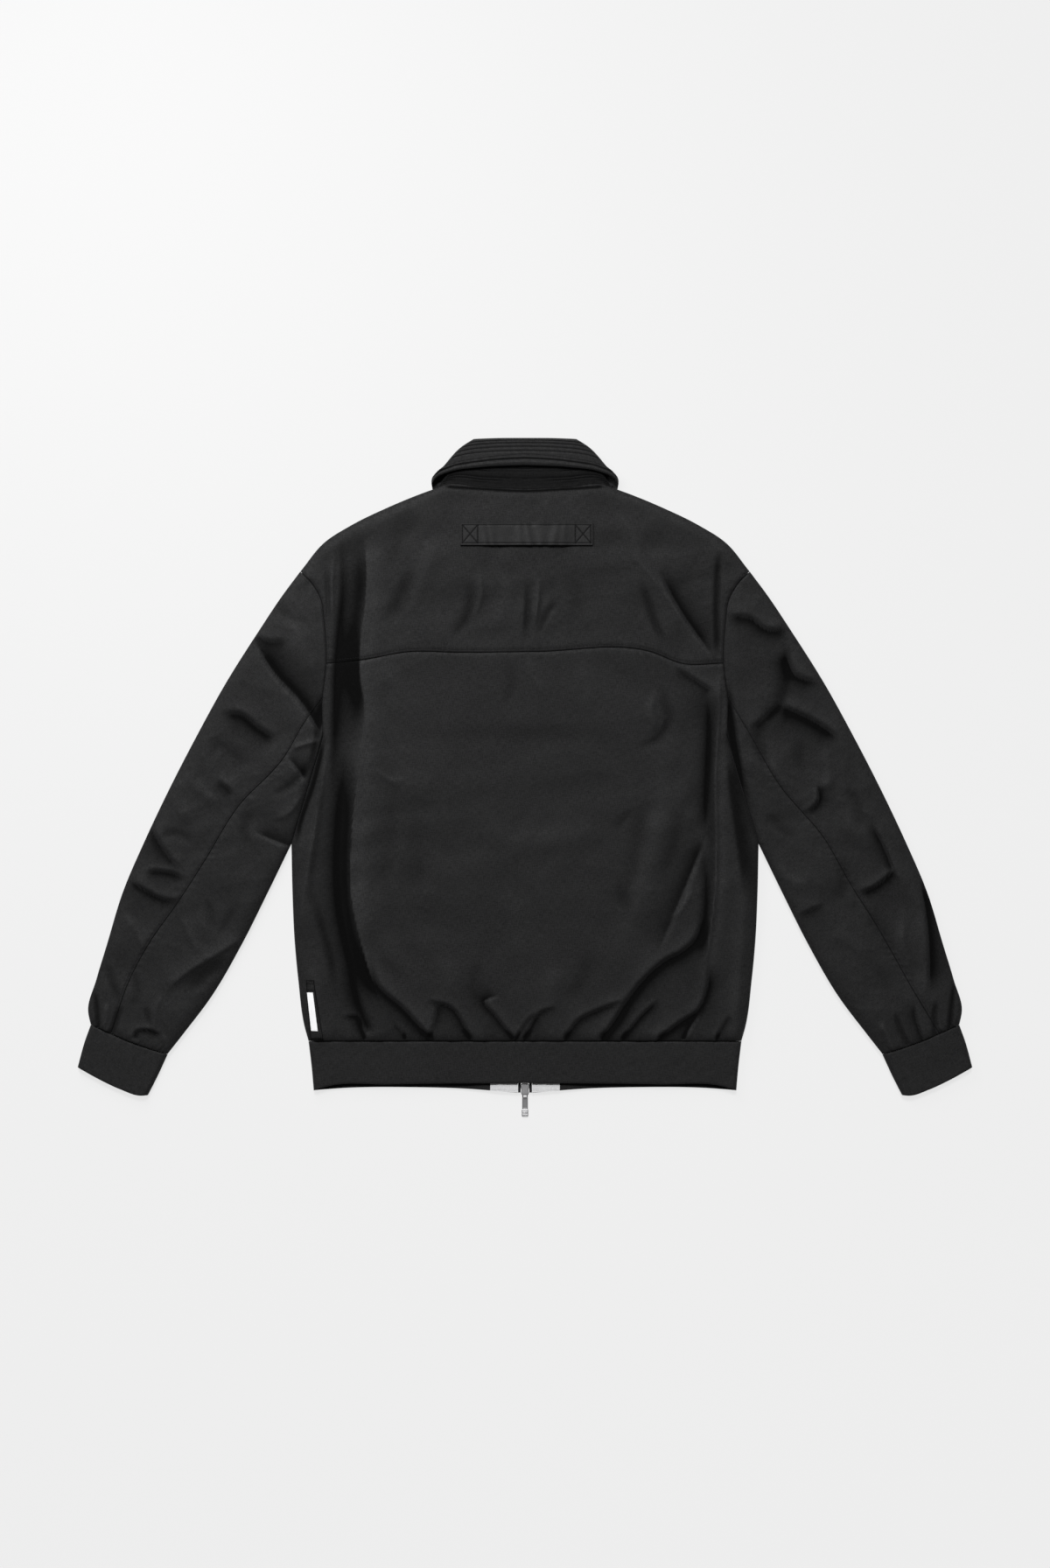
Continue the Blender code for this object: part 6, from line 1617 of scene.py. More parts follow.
@dataclass
class Cuff:
    """A cuff: a flattened tube of doubled cloth over elastic."""

    side: Side
    wall: float = 3.2
    top: float = 10.0
    nose: float = 6.0
    step: float = 1.3
    lean: float = 0.42  # of its ripples, which run along the arm

    def build(self) -> list[Object]:
        """Makes the tube, with ripples that run along the arm."""
        lines = (Edges.cuff_edge, Edges.cuff_seam, Edges.cuff_outer, Edges.cuff_inner)
        patch = Patch(*(smooth_curve(line) for line in lines))
        rows = stops(52, self.step, BAND_EDGE, BAND_EDGE)
        across = stops(88, self.step, ROLLED, ROLLED)
        inner_rows = even_stops(52, 9.0)
        inside = stops(88, 7.0, (self.wall, self.nose), (self.wall, self.nose))
        outer = self.tube(patch, across, rows, 0.0, self.top / 2)
        inner = self.tube(patch, inside, inner_rows, self.wall, self.top / 2 - self.wall)
        around = [np.arange(len(grid)) / len(grid) for grid in (outer, inner)]
        tube = Wall(outer, inner, (around[0], order(rows)), (around[1], order(inner_rows)), True)
        node = f"cuff_{self.side.word}"
        return [place_cloth(tube, node, Finishes.elastic, ARM_GRAIN, self.side.value)]

    def tube(self, patch: Patch, columns: Array, rows: Array, inset: float, reach: float) -> Array:
        """The tube's face, inset from its outside, reach above and below its middle."""
        plan, left, right, near, far = patch.plan(columns, rows)
        share = rounding(np.minimum(left, right) - inset, self.nose - inset)
        half = self.top / 2
        lower = raised(plan, half - reach * share)
        if inset:
            return np.concatenate([raised(plan, half + reach * share), lower[1:-1][::-1]])
        ends = edge(np.minimum(near, far), 2.0, 0.8)
        x, y = plan[..., 0], plan[..., 1]
        along = x * math.cos(self.lean) - y * math.sin(self.lean)
        ripple = elastic_ripples(along, y, far) + TRIM_RUMPLE.height(x, y)
        upper = raised(plan, half + (reach + ripple) * share * ends)
        return np.concatenate([upper, lower[1:-1][::-1]])


class Ring:
    """A flattened ring that is open at the centre front: from the left end under
    the body to the left fold, over the back, and back under to the right end."""

    def __init__(self, side: Array, back: tuple[Array, Array], front: tuple[Array, Array]) -> None:
        """Sets out the back and the left half of the front, each from its near and
        far edges' points."""
        fold = smooth_curve(side)
        near, far = (smooth_curve(line) for line in back)
        self.back = Patch(there_and_back(near), there_and_back(far), fold, mirrored(fold))
        near, far = (smooth_curve(line) for line in front)
        self.front = Patch(near, far, fold, straight(near[-1], far[-1]))

    def face(self, back_columns: Array, front_columns: Array, rows: Array, height: Heights) -> Array:
        """Points of one face of the ring, whose height is a function of the plan,
        the distances from the fold and from the near and far edges, and whether it
        is the part over the back."""
        plan, left, right, near, far = self.back.plan(back_columns, rows)
        over = raised(plan, height(plan, np.minimum(left, right), near, far, True))
        plan, fold, _, near, far = self.front.plan(front_columns, rows)
        below = raised(plan, height(plan, fold, near, far, False))
        return np.concatenate([below[::-1], over, below * (-1, 1, 1)])

    @staticmethod
    def places(back_columns: Array, front_columns: Array) -> Array:
        """Rising numbers for the ring's columns."""
        front = order(front_columns)
        return np.concatenate([-front[::-1], order(back_columns), 1 + front])

    def wall(self, outer: tuple, inner: tuple) -> Wall:
        """The ring's wall from the columns, rows and height of both faces."""
        return Wall(
            self.face(*outer), self.face(*inner),
            (self.places(*outer[:2]), order(outer[2])), (self.places(*inner[:2]), order(inner[2])),
        )


@dataclass
class HemBand:
    """The band round the hem, over elastic, open at the zip."""

    wall: float = 3.2
    top: float = 10.0
    nose: float = 6.0
    front_lift: float = 2.0
    end: float = 7.9  # from the centre line to its two ends
    step: float = 1.5

    def build(self) -> list[Object]:
        """Makes the ring."""
        side_x, seam_y = Edges.side[-1]
        ring = Ring(
            Edges.band_side,
            (Edges.band_back_edge, knots((side_x, seam_y), (0.0, seam_y))),
            (Edges.band_front_edge, knots((side_x, seam_y), (-self.end, seam_y))),
        )
        rows = stops(48, self.step, BAND_EDGE, BAND_EDGE)
        sides = (self.wall, self.nose)
        front_columns = stops(228, 3.0, ROLLED[1:], (0.0, 0.5))
        outer = (stops(478, self.step, ROLLED, ROLLED), front_columns, rows, self.outer)
        inner = (
            stops(478, 9.0, sides, sides),
            stops(228, 9.0, (self.wall + 0.5, self.nose), BARE), even_stops(48, 9.0), self.inner,
        )
        return [place_cloth(ring.wall(outer, inner), "hem_band", Finishes.elastic)]

    def outer(self, plan: Array, fold: Array, near: Array, far: Array, over: bool) -> Array:
        """Outer face: level above with upright ripples, lifted by the slider below."""
        x, y = plan[..., 0], plan[..., 1]
        share = rounding(fold, self.nose)
        if over:
            ends = edge(np.minimum(near, far), 2.0, 0.75)
            ripple = elastic_ripples(x, y, far) + 1.2 * TRIM_RUMPLE.height(x, y)
            return LEVEL.fold + (self.top - LEVEL.fold + ripple) * share * ends
        return LEVEL.fold - (LEVEL.fold - self.front_lift * zip_under(x, y)) * share

    def inner(self, plan: Array, fold: Array, near: Array, far: Array, over: bool) -> Array:
        """Inner face, a wall's thickness in."""
        share = rounding(fold - self.wall, self.nose - self.wall)
        if over:
            return LEVEL.fold + (LEVEL.back_floor - LEVEL.fold) * share
        lift = self.front_lift * zip_under(plan[..., 0], plan[..., 1])
        return LEVEL.fold - (LEVEL.fold - self.wall - lift) * share


@dataclass
class Collar:
    """The collar: a stand round the neck and a fall that rolls over it."""

    stand_wall: float = 2.7
    wall: float = 3.0
    floor: float = 10.1  # underside of the fall where it lies on the stand
    nose: float = 6.5
    roll: float = 4.4
    welt: float = 1.1
    rows_of_stitches: tuple = (0.17, 0.3, 0.43, 0.56)  # shares of the way from the roll
    edge_rows: tuple = (1.9, 10.4)  # distances from the fall's edge
    stand_rows: tuple = (2.4, 5.0, 7.6, 10.2, 17.5, 20.5)
    step: float = 1.2

    def __post_init__(self) -> None:
        """Sets out the stand and the fall."""
        self.stand_ring = Ring(
            Edges.stand_side, (Edges.neck_back, Edges.stand_back_top),
            (Edges.neck_front, Edges.stand_front_top),
        )
        self.fall_ring = Ring(
            Edges.fall_side, (Edges.fall_back_edge, Edges.fall_back_fold),
            (Edges.fall_front_edge, Edges.fall_front_fold),
        )

    def build(self) -> list[Object]:
        """Makes the stand, the fall and their rows of stitches."""
        fold, end = ROLLED, (0.0, 0.5)
        ends = ((self.stand_wall,), (self.stand_wall,))
        stand = self.stand_ring.wall(
            (stops(193, self.step, fold[:5], fold[:5]), stops(105, 2.5, fold[1:5], end),
             stops(45, self.step, end, end), self.stand_outer),
            (stops(193, 7.0, *ends), stops(105, 7.0, ends[0], BARE), even_stops(45, 9.0), self.stand_inner),
        )
        sides = (self.wall, self.nose)
        fall = self.fall_ring.wall(
            (stops(190, self.step, fold, fold), stops(110, 2.2, fold[1:], end),
             stops(38, 0.62, (0.0, 0.2, 0.5), (0.0, 0.1, 0.3, 0.7, 1.2)), self.fall_outer),
            (stops(190, 7.0, sides, sides), stops(110, 7.0, sides, BARE),
             stops(38, 6.0, BARE, (self.roll - 0.4, self.roll)), self.fall_inner),
        )
        pieces = [
            place_cloth(stand, "collar_stand", Finishes.stand),
            place_cloth(fall, "collar_fall"),
        ]
        on_stand, on_fall = (self.stand_ring, self.stand_outer), (self.fall_ring, self.fall_outer)
        runs = [self.row(*on_stand, distance, True, 9.0) for distance in self.stand_rows]
        runs += [self.row(*on_fall, share, False, 4.0) for share in self.rows_of_stitches]
        runs += [self.row(*on_fall, distance, True, 4.0) for distance in self.edge_rows]
        return pieces + [Stitching(2.2, 2.75, 0.5).make("thread_collar", runs)]

    def row(self, ring: Ring, height: Heights, place: float, from_near: bool, trim: float) -> Array:
        """A line over the back of a ring, at a distance from its near edge or at a
        share of the way from its far edge."""
        columns = stops(190, 2.0, (trim,), (trim,))
        rows = np.array([[0.0, place] if from_near else [1.0 - place, 0.0]])
        plan, left, right, near, far = ring.back.plan(columns, rows)
        return raised(plan, height(plan, np.minimum(left, right), near, far, True))[:, 0]

    def stand_outer(self, plan: Array, fold: Array, near: Array, far: Array, over: bool) -> Array:
        """Outer face, below the fall above and over the collar's points below."""
        face = np.full_like(fold, LEVEL.collar_lift)
        if over:
            rumple = 0.5 * TRIM_RUMPLE.height(plan[..., 0], plan[..., 1])
            face = LEVEL.back_floor + self.stand_wall + 0.3 + rumple
            for distance in self.stand_rows:
                face = face + groove(near - distance, 0.9, 1.0)
        return LEVEL.fold + (face - LEVEL.fold) * rounding(fold, self.stand_wall + 0.8)

    def stand_inner(self, plan: Array, fold: Array, near: Array, far: Array, over: bool) -> Array:
        """Inner face, level with the body's."""
        face = LEVEL.back_floor if over else LEVEL.front_top
        return LEVEL.fold + (face - LEVEL.fold) * rounding(fold - self.stand_wall, 0.8)

    def fall_outer(self, plan: Array, fold: Array, near: Array, far: Array, over: bool) -> Array:
        """Outer face: quilted rows below the roll, then a thick edge of two ridges.
        Below, it is flat on the table."""
        x, y = plan[..., 0], plan[..., 1]
        face = np.full_like(fold, self.floor + self.wall)
        face = face + self.welt * ease(near / 2.5 + 0.3) * ease((10.6 - near) / 2.0)
        face = face + 0.8 * bump(near - 7.4, 2.2) + 0.6 * bump(near - 1.8, 1.6) + groove(near - 4.4, 1.0, 1.6)
        face = face + puckers(x, near - 8.0, 0.16, 6.0, 3.0) * over
        for share in self.rows_of_stitches:
            face = face + groove(far - share * (far + near), 0.75, 1.3) * over
        for distance in self.edge_rows:
            face = face + groove(near - distance, 0.35, 0.8)
        low = LEVEL.back_floor + 0.4
        face = low + (face + 0.4 * TRIM_RUMPLE.height(x, y) - low) * rounding(far, 6.0)
        if not over:
            face = self.turned(face)
        return LEVEL.fold + (face - LEVEL.fold) * rounding(fold, self.nose)

    def turned(self, face: Array) -> Array:
        """Heights of the back's fall as the front's, which lies upside down."""
        heights = (LEVEL.back_floor, self.floor, self.floor + self.wall)
        return np.interp(face, heights, (LEVEL.front_top, self.wall, 0.0))

    def fall_inner(self, plan: Array, fold: Array, near: Array, far: Array, over: bool) -> Array:
        """Inner face: on the stand, and down to the body's inner level at the roll."""
        face = np.where(far > self.roll - 0.2, self.floor, LEVEL.back_floor + 0.1)
        if not over:
            face = self.turned(face)
        return LEVEL.fold + (face - LEVEL.fold) * rounding(fold - self.wall, self.nose - self.wall)


@dataclass
class Layer:
    """A flat piece that lies on another: a sheet between four corners, near left,
    near right, far left and far right, with its underside on floor(x, y)."""

    corners: Array
    wall: float
    floor: Heights
    step: float = 1.0
    lip: float = 0.35

    def grid(self, step: float) -> Array:
        """Plan points between the corners, by blending them both ways."""
        near_left, near_right, far_left, far_right = self.corners
        lengths = (np.linalg.norm(end - near_left) for end in (near_right, far_left))
        rim = (0.0, 0.2, 0.5)
        u, v = (order(stops(length, step, rim, rim) * (1, 1000 / length)) for length in lengths)
        u, v = u[:, None, None], v[None, :, None]
        return (1 - v) * ((1 - u) * near_left + u * near_right) + v * ((1 - u) * far_left + u * far_right)

    def surface(self, plan: Array, waves: Heights | None = None) -> Array:
        """The upper face, a wall over the underside and rounded at its rim."""
        near_left, near_right, far_left, _ = self.corners
        across, along = near_right - near_left, far_left - near_left
        width, length = np.linalg.norm(across), np.linalg.norm(along)
        away = plan - near_left
        u, v = away @ (across / width) / width, away @ (along / length) / length
        inside = np.minimum(np.minimum(u, 1 - u) * width, np.minimum(v, 1 - v) * length)
        rim = self.lip * (1 - rounding(np.maximum(inside, 0), 0.8))
        over = waves(plan) if waves else 0.0
        return raised(plan, self.floor(plan[..., 0], plan[..., 1]) + self.wall - rim + over)

    def wall_of(self, waves: Heights | None = None) -> Wall:
        """The piece as a closed wall."""
        plan = self.grid(self.step)
        under = raised(plan, self.floor(plan[..., 0], plan[..., 1]))
        at = (np.arange(plan.shape[0], dtype=float), np.arange(plan.shape[1], dtype=float))
        return Wall(self.surface(plan, waves), under, at, at)

    def path(self, *points: tuple[float, float], waves: Heights | None = None) -> Array:
        """A line of straight runs on the upper face, by plan points."""
        line = evenly(np.array(points, float), 1.0)[:, None]
        return self.surface(line, waves)[:, 0]


def drawn(plan: Array, lines: list, width: float) -> Array:
    """1 on straight lines between pairs of plan points, falling away beside them."""
    total = np.zeros(plan.shape[:2])
    for start, end in lines:
        start, leg = np.array(start, float), np.subtract(end, start).astype(float)
        t = np.clip(((plan - start) @ leg) / (leg @ leg), 0, 1)
        total = np.maximum(total, bump(np.linalg.norm(plan - start - t[..., None] * leg, axis=-1), width))
    return total


@dataclass
class HangerStrap:
    """The strap sewn flat to the yoke by a crossed box at each end."""

    left: float = -72.1
    right: float = 75.6
    low: float = 257.4
    high: float = 282.3
    sewn: float = 20.5
    wall: float = 1.5
    bow: float = 1.6
    margin: float = 2.4  # of the stitches from the strap's edges

    def floor(self, x: Array, y: Array) -> Array:
        """Underside: on the yoke at its ends, bowed and rippled in between."""
        middle = ease((x - self.left - self.sewn) / 12) * ease((self.right - self.sewn - x) / 12)
        ripple = 0.35 * np.cos((x - 2.0) / 5.2)
        return body_top(x, y) + 0.8 + (self.bow + ripple) * middle

    def ripples(self, plan: Array) -> Array:
        """Upright ripples of the free middle, and the lines that the boxes press in."""
        x, y = plan[..., 0], plan[..., 1]
        middle = ease((x - self.left - self.sewn) / 10) * ease((self.right - self.sewn - x) / 10)
        slant = (y - self.low - 12.0) / 7.0 * np.sin(x / 8.3 + 0.6)
        waves = np.sin(x / 2.1 + 1.3 * np.sin(x / 7.0) + slant) * (0.6 + 0.4 * np.sin(x / 11.0))
        return 0.6 * waves * middle - 0.5 * drawn(plan, self.lines(), 1.0)

    def lines(self) -> list:
        """The straight rows of stitches: along both edges, and a crossed box at each
        end."""
        low, high = self.low + self.margin, self.high - self.margin
        rows = [((self.left + 2, y), (self.right - 2, y)) for y in (low, high)]
        first = (self.left + self.margin, self.left + self.sewn - 1)
        for start, end in (first, (self.right - self.sewn + 1, self.right - self.margin)):
            rows += [((start, low), (start, high)), ((end, low), (end, high))]
            rows += [((start, low), (end, high)), ((start, high), (end, low))]
        return rows

    def tone(self, plan: Array) -> Array:
        """Painted shade along the rows of stitches and round the rim, and painted light and shade on the
        ripples.
        """
        x, y = plan[..., 0], plan[..., 1]
        rim = np.minimum(np.minimum(x - self.left, self.right - x), np.minimum(y - self.low, self.high - y))
        edges, boxes = drawn(plan, self.lines()[:2], 0.8), drawn(plan, self.lines()[2:], 0.9)
        return 2.0 * self.ripples(plan) - 4.2 * boxes - 2.0 * edges - 3 * bump(rim, 0.7)

    def build(self) -> list[Object]:
        """Makes the strap and its boxes of stitches."""
        corners = knots(*((x, y) for y in (self.low, self.high) for x in (self.left, self.right)))
        layer = Layer(corners, self.wall, self.floor, 0.6)
        wall = layer.wall_of(self.ripples)
        wall.tone = self.tone(wall.outer[..., :2])
        strap = place_cloth(wall, "hanger_strap", Finishes.strap)
        runs = [layer.path(start, end, waves=self.ripples) for start, end in self.lines()]
        return [strap, Stitching(2.4, 2.9, 0.6).make("thread_hanger_strap", runs)]


@dataclass
class SidePatch:
    """The patch over the left side seam and the bare label on it."""

    corners: Array = field(default_factory=lambda: knots(
        (-239.4, -292.6), (-224.4, -292.6), (-244.0, -226.7), (-235.0, -226.7)
    ))
    label: Array = field(default_factory=lambda: knots(
        (-238.0, -283.2), (-230.6, -283.2), (-242.6, -240.3), (-236.0, -240.3)
    ))

    def on_back(self, clearance: float) -> Heights:
        """The level that a piece keeps on the back panel, clear of it."""
        left = Back().patch.left

        def level(x: Array, y: Array) -> Array:
            """Height at (x, y), by the distance from the panel's left edge."""
            away = x - np.interp(y, left[:, 1], left[:, 0])
            by_hem = edge(y - Edges.side[-1, 1], LEVEL.hem_round, LEVEL.hem_kept)
            share = edge(away, LEVEL.side_round, 0) * by_hem
            base = LEVEL.back_floor + LEVEL.rim
            return base + (body_top(x, y) - base) * share + clearance

        return level

    def build(self) -> list[Object]:
        """Makes the patch, the label and the stitches round both."""
        patch = Layer(self.corners, 1.0, self.on_back(0.5), 0.7)
        label = Layer(self.label, 0.8, self.on_back(1.9), 0.9, 0.2)
        wall = patch.wall_of()
        near_left, near_right, far_left, far_right = self.corners
        bars = [far_left * (1 - share) + near_left * share for share in (0.06, 0.17)]
        bars = [(bar, bar + (9.5, 0)) for bar in bars]
        rim = [(near_left, far_left), (near_right, far_right), (near_left, near_right), (far_left, far_right)]
        # painted shade round the patch's rim and along its two stitched bars
        wall.tone = -5.5 * drawn(wall.outer[..., :2], rim, 1.3) - 3.5 * drawn(wall.outer[..., :2], bars, 1.1)
        runs, pale_runs = [self.round_run(patch, self.corners, 1.6)], [self.round_run(label, self.label, 0.8)]
        return [
            place_cloth(wall, "side_patch"),
            place_cloth(label.wall_of(), "side_label", Finishes.label),
            Stitching(2.2, 2.5, 0.7).make("thread_side_patch", runs, Finishes.dark_thread),
            Stitching(1.4, 1.9, 0.3).make("thread_side_label", pale_runs, Finishes.label),
        ]

    @staticmethod
    def round_run(layer: Layer, corners: Array, inset: float) -> Array:
        """A line round a layer, inset from its edge."""
        near_left, near_right, far_left, far_right = corners
        middle = corners.mean(axis=0)
        loop = np.array([near_left, near_right, far_right, far_left, near_left])
        return layer.path(*(loop + (middle - loop) * (inset / np.array([6.0, 33.0])).clip(0, 0.4)))


@dataclass
class Facings:
    """White facings inside the front band's lower edge."""

    inner: float = 8.0
    outer: float = 38.8
    low: float = 5.6
    high: float = 6.4
    top_y: float = -303.0
    low_y: float = -352.4
    low_y_outer: float = -350.4

    def wrinkles(self, plan: Array) -> Array:
        """Soft upright wrinkles, never above the room between the bands."""
        x, y = plan[..., 0], plan[..., 1]
        waves = np.sin(x / 2.7 + 0.8 * np.sin(y / 6.0)) * 0.16 + np.sin(x / 5.9 + y / 9.0) * 0.14
        return waves - 0.3 - 0.25 * bump(y - self.low_y - 2.6, 0.8)

    def build(self) -> list[Object]:
        """Makes both facings with their hem stitches."""
        pieces, runs = [], []
        for side in Side:
            sign = side.value
            corners = knots(
                (-self.outer * sign, self.low_y_outer), (-self.inner * sign, self.low_y),
                (-self.outer * sign, self.top_y), (-self.inner * sign, self.top_y),
            )
            layer = Layer(corners, self.high - self.low, lambda x, y: np.full_like(x, self.low), 1.1, 0.3)
            pieces.append(place_cloth(layer.wall_of(self.wrinkles), f"facing_{side.word}", Finishes.white))
            inset = np.array([0.0, 1.9])
            runs.append(layer.path(corners[0] + inset, corners[1] + inset, waves=self.wrinkles))
        return pieces + [Stitching(2.0, 2.6, 0.35).make("thread_facings", runs, Finishes.white)]


@dataclass
class SeamAllowances:
    """Folded-in edges of the cloth under the seams, which close them from below."""

    half: float = 4.0
    low: float = 6.2
    high: float = 6.6

    def build(self) -> list[Object]:
        """Makes a strip under each armhole, side, neck, yoke and hem seam."""
        hem = Edges.side[-1]
        lines = [
            joined(smooth_curve(Edges.armhole)[2:], smooth_curve(Edges.underarm)),
            smooth_curve(Edges.neck_front), smooth_curve(Edges.neck_back),
        ]
        lines = lines + [mirrored(line) for line in lines]
        lines += [smooth_curve(Edges.yoke_seam)[3:-3], straight(hem + (6, 0), hem * (-1, 1) - (6, 0))]
        points, quads, triangles = together(*(self.strip(line) for line in lines))
        piece = add_mesh("seam_allowances", points, quads, triangles, Finishes.tape)
        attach(piece, "root")
        return [piece]

    def strip(self, line: Array) -> tuple[Array, Array, Array]:
        """A flat strip along a plan line: a ring of four corners at each point."""
        way = ways(line)
        side = np.stack([way[:, 1], -way[:, 0]], axis=1)
        corners = [
            np.column_stack([line + side * reach, np.full(len(line), level)])
            for reach, level in (
                (-self.half, self.low), (self.half, self.low), (self.half, self.high), (-self.half, self.high)
            )
        ]
        return loft(np.stack(corners, axis=1))


# ----------------------------------------------------------------- the zip

def loft(sections: Array) -> tuple[Array, Array, Array]:
    """A closed shape through rings of points: quads between neighbouring rings and
    a fan over each end.

    Args:
        sections: ring, point round the ring, and x, y, z.

    Returns:
        The points, the quads and the triangles.
    """
    count, sides = sections.shape[:2]
    numbers = np.arange(count * sides).reshape(count, sides)
    middles = np.stack([sections[0].mean(axis=0), sections[-1].mean(axis=0)])
    points = np.concatenate([sections.reshape(-1, 3), middles])
    fans = [
        np.stack([numbers[row], np.roll(numbers[row], -1), np.full(sides, count * sides + end)], axis=-1)
        for end, row in enumerate((0, -1))
    ]
    return points, grid_quads(numbers.T, True), np.concatenate(fans)


def together(*parts: tuple[Array, Array, Array]) -> tuple[Array, Array, Array]:
    """Several closed shapes as one set of points, quads and triangles."""
    points, quads, triangles, start = [], [], [], 0
    for some, four, three in parts:
        points.append(some)
        quads.append(four + start)
        triangles.append(three + start)
        start += len(some)
    return np.concatenate(points), np.concatenate(quads), np.concatenate(triangles)


def rounded_ring(half_x: Array, half_z: Array, power: float = 5.0, sides: int = 28) -> tuple[Array, Array]:
    """X and Z round a superellipse, |x|^p + |z|^p = 1.

    Args:
        half_x: half width of each ring.
        half_z: half height of each ring.
        power: p, 2 for an ellipse and more for squarer corners.
        sides: points in a ring.

    Returns:
        X and Z, a row for each ring.
    """
    turn = np.arange(sides) * 2 * math.pi / sides
    cos, sin = np.cos(turn), np.sin(turn)
    x = np.sign(cos) * np.abs(cos) ** (2 / power)
    z = np.sign(sin) * np.abs(sin) ** (2 / power)
    return half_x[:, None] * x, half_z[:, None] * z


@dataclass
class Zip:
    """The zip between the fronts: tapes, teeth, and a slider and pull at each end."""

    chain_low: float = 3.4
    chain_high: float = 5.7
    tape_low: float = 4.1
    tape_high: float = 4.9
    slider_low: float = 3.0
    slider_high: float = 6.5
    plate: float = 1.35
    slider_top: float = -342.3
    slider_length: float = 13.1
    rise: float = 629.0  # from the lower slider to the upper one
    bail_half: float = 0.7
    bail_bar: float = 0.85
    bail_low: float = 0.25
    axis_y: float = -353.2
    axis_z: float = 2.05
    tilt: float = math.radians(1.9)
    tooth_pitch: float = 2.6

    def build(self) -> list[Object]:
        """Makes the tapes, the teeth and both ends."""
        pieces = self.tapes() + [self.teeth()]
        for word, rise in (("lower", 0.0), ("upper", self.rise)):
            pieces += [self.slider(word, rise), self.pull(word, rise)]
        return pieces

    def tapes(self) -> list[Object]:
        """Both tapes: a thin strip whose edges follow the fronts."""
        rows = knots((-352.6, 4.9), (-341.0, 4.5), (-332.0, 2.9), (265.0, 2.9), (274.0, 5.8), (288.0, 5.8))
        outer = np.interp(rows[:, 0], (-352.6, -341.0, -332.0, 265.0, 274.0), (7.7, 7.7, 6.0, 6.0, 7.5))
        pieces = []
        y = np.concatenate([np.linspace(-352.6, -330.0, 24), np.linspace(-326.0, 262.0, 120),
                            np.linspace(265.0, 288.0, 14)])
        near = np.interp(y, rows[:, 0], rows[:, 1])
        far = np.interp(y, rows[:, 0], outer)
        for side in Side:
            share = np.linspace(0, 1, 5)[:, None]
            x = (near + (far - near) * share) * -side.value
            weave = 0.06 * np.sin(y * 2.4)[None] * np.ones_like(share)
            plan = np.stack([x, np.broadcast_to(y, x.shape)], axis=-1)
            at = (np.arange(5.0), np.arange(float(len(y))))
            wall = Wall(raised(plan, self.tape_high + weave), raised(plan, self.tape_low + weave), at, at)
            pieces.append(place_cloth(wall, f"zip_tape_{side.word}", Finishes.tape))
        return pieces

    def teeth(self) -> Object:
        """Two rows of teeth that reach past the middle by turns: each is a rounded
        block with a waist, lofted across the zip."""
        across = np.array([-2.6, -2.5, -1.6, -0.4, 0.5, 0.95, 1.05])
        half_y = np.array([0.5, 0.62, 0.62, 0.5, 0.62, 0.52, 0.3])
        half_z = np.array([0.7, 1.0, 1.1, 0.85, 1.0, 0.8, 0.5])
        y, z = rounded_ring(half_y, half_z, 3.0, 8)
        tooth = np.stack([np.broadcast_to(across[:, None], y.shape), y, z], axis=-1)
        middle = (self.chain_low + self.chain_high) / 2
        points, quads, fans = loft(tooth)
        start = self.slider_top + 1.4
        end = self.slider_top - self.slider_length + self.rise - 1.4
        count = int((end - start) / (self.tooth_pitch / 2))
        place = start + np.arange(count) * self.tooth_pitch / 2
        sign = np.where(np.arange(count) % 2, 1.0, -1.0)
        every = points * np.stack([sign, np.ones(count), np.ones(count)], axis=1)[:, None]
        every = every + np.stack([np.zeros(count), place, np.full(count, middle)], axis=1)[:, None]
        numbers = np.arange(count)[:, None, None] * len(points)
        piece = add_mesh(
            "zip_teeth", every.reshape(-1, 3), (quads + numbers).reshape(-1, 4),
            (fans + numbers).reshape(-1, 3), Finishes.metal,
        )
        return stand_for(piece, "zip_chain")

    def slider(self, word: str, rise: float) -> Object:
        """A slider: two plates with a waist, a post between them and the bail."""
        top = self.slider_top + rise
        along = np.concatenate([[0.0, 0.12, 0.5, 1.1], np.linspace(1.8, 11.6, 26), [12.2, 12.7, 13.0, 13.1]])
        half = np.interp(along, (0.0, 1.6, 4.6, 7.6, 10.6, 13.1), (3.6, 4.9, 4.7, 3.9, 4.6, 3.4))
        half = np.convolve(np.pad(half, 2, mode="edge"), np.ones(5) / 5, mode="valid")
        ends = rounding(np.minimum(along, self.slider_length - along) + 0.02, 0.9)
        parts = []
        below, above = self.slider_low + self.plate, self.slider_high - self.plate
        for low, high in ((self.slider_low, below), (above, self.slider_high)):
            middle, thick = (low + high) / 2, (high - low) / 2
            x, z = rounded_ring(half * (0.72 + 0.28 * ends), thick * (0.35 + 0.65 * ends), 4.0, 40)
            y = np.broadcast_to((top - along)[:, None], x.shape)
            parts.append(loft(np.stack([x, y, z + middle], axis=-1)))
        for x0 in (-3.4, 3.4):  # the flanges that hold the tapes in
            run = np.linspace(1.6, 12.0, 14)
            x, z = rounded_ring(np.full(14, 0.55), np.full(14, 1.2), 4.0, 12)
            y = np.broadcast_to((top - run)[:, None], x.shape)
            offset = np.interp(run, (1.6, 4.6, 7.6, 10.6, 12.0), (0.55, 0.5, 0.0, 0.35, 0.0))[:, None]
            parts.append(loft(np.stack([x + x0 + math.copysign(1, x0) * offset, y, z + 4.75], axis=-1)))
        parts.append(self.bail(rise))
        points, quads, fans = together(*parts)
        piece = add_mesh(f"zip_slider_body_{word}", points, quads, fans, Finishes.metal, crisp=38.0)
        return stand_for(piece, f"zip_slider_{word}")

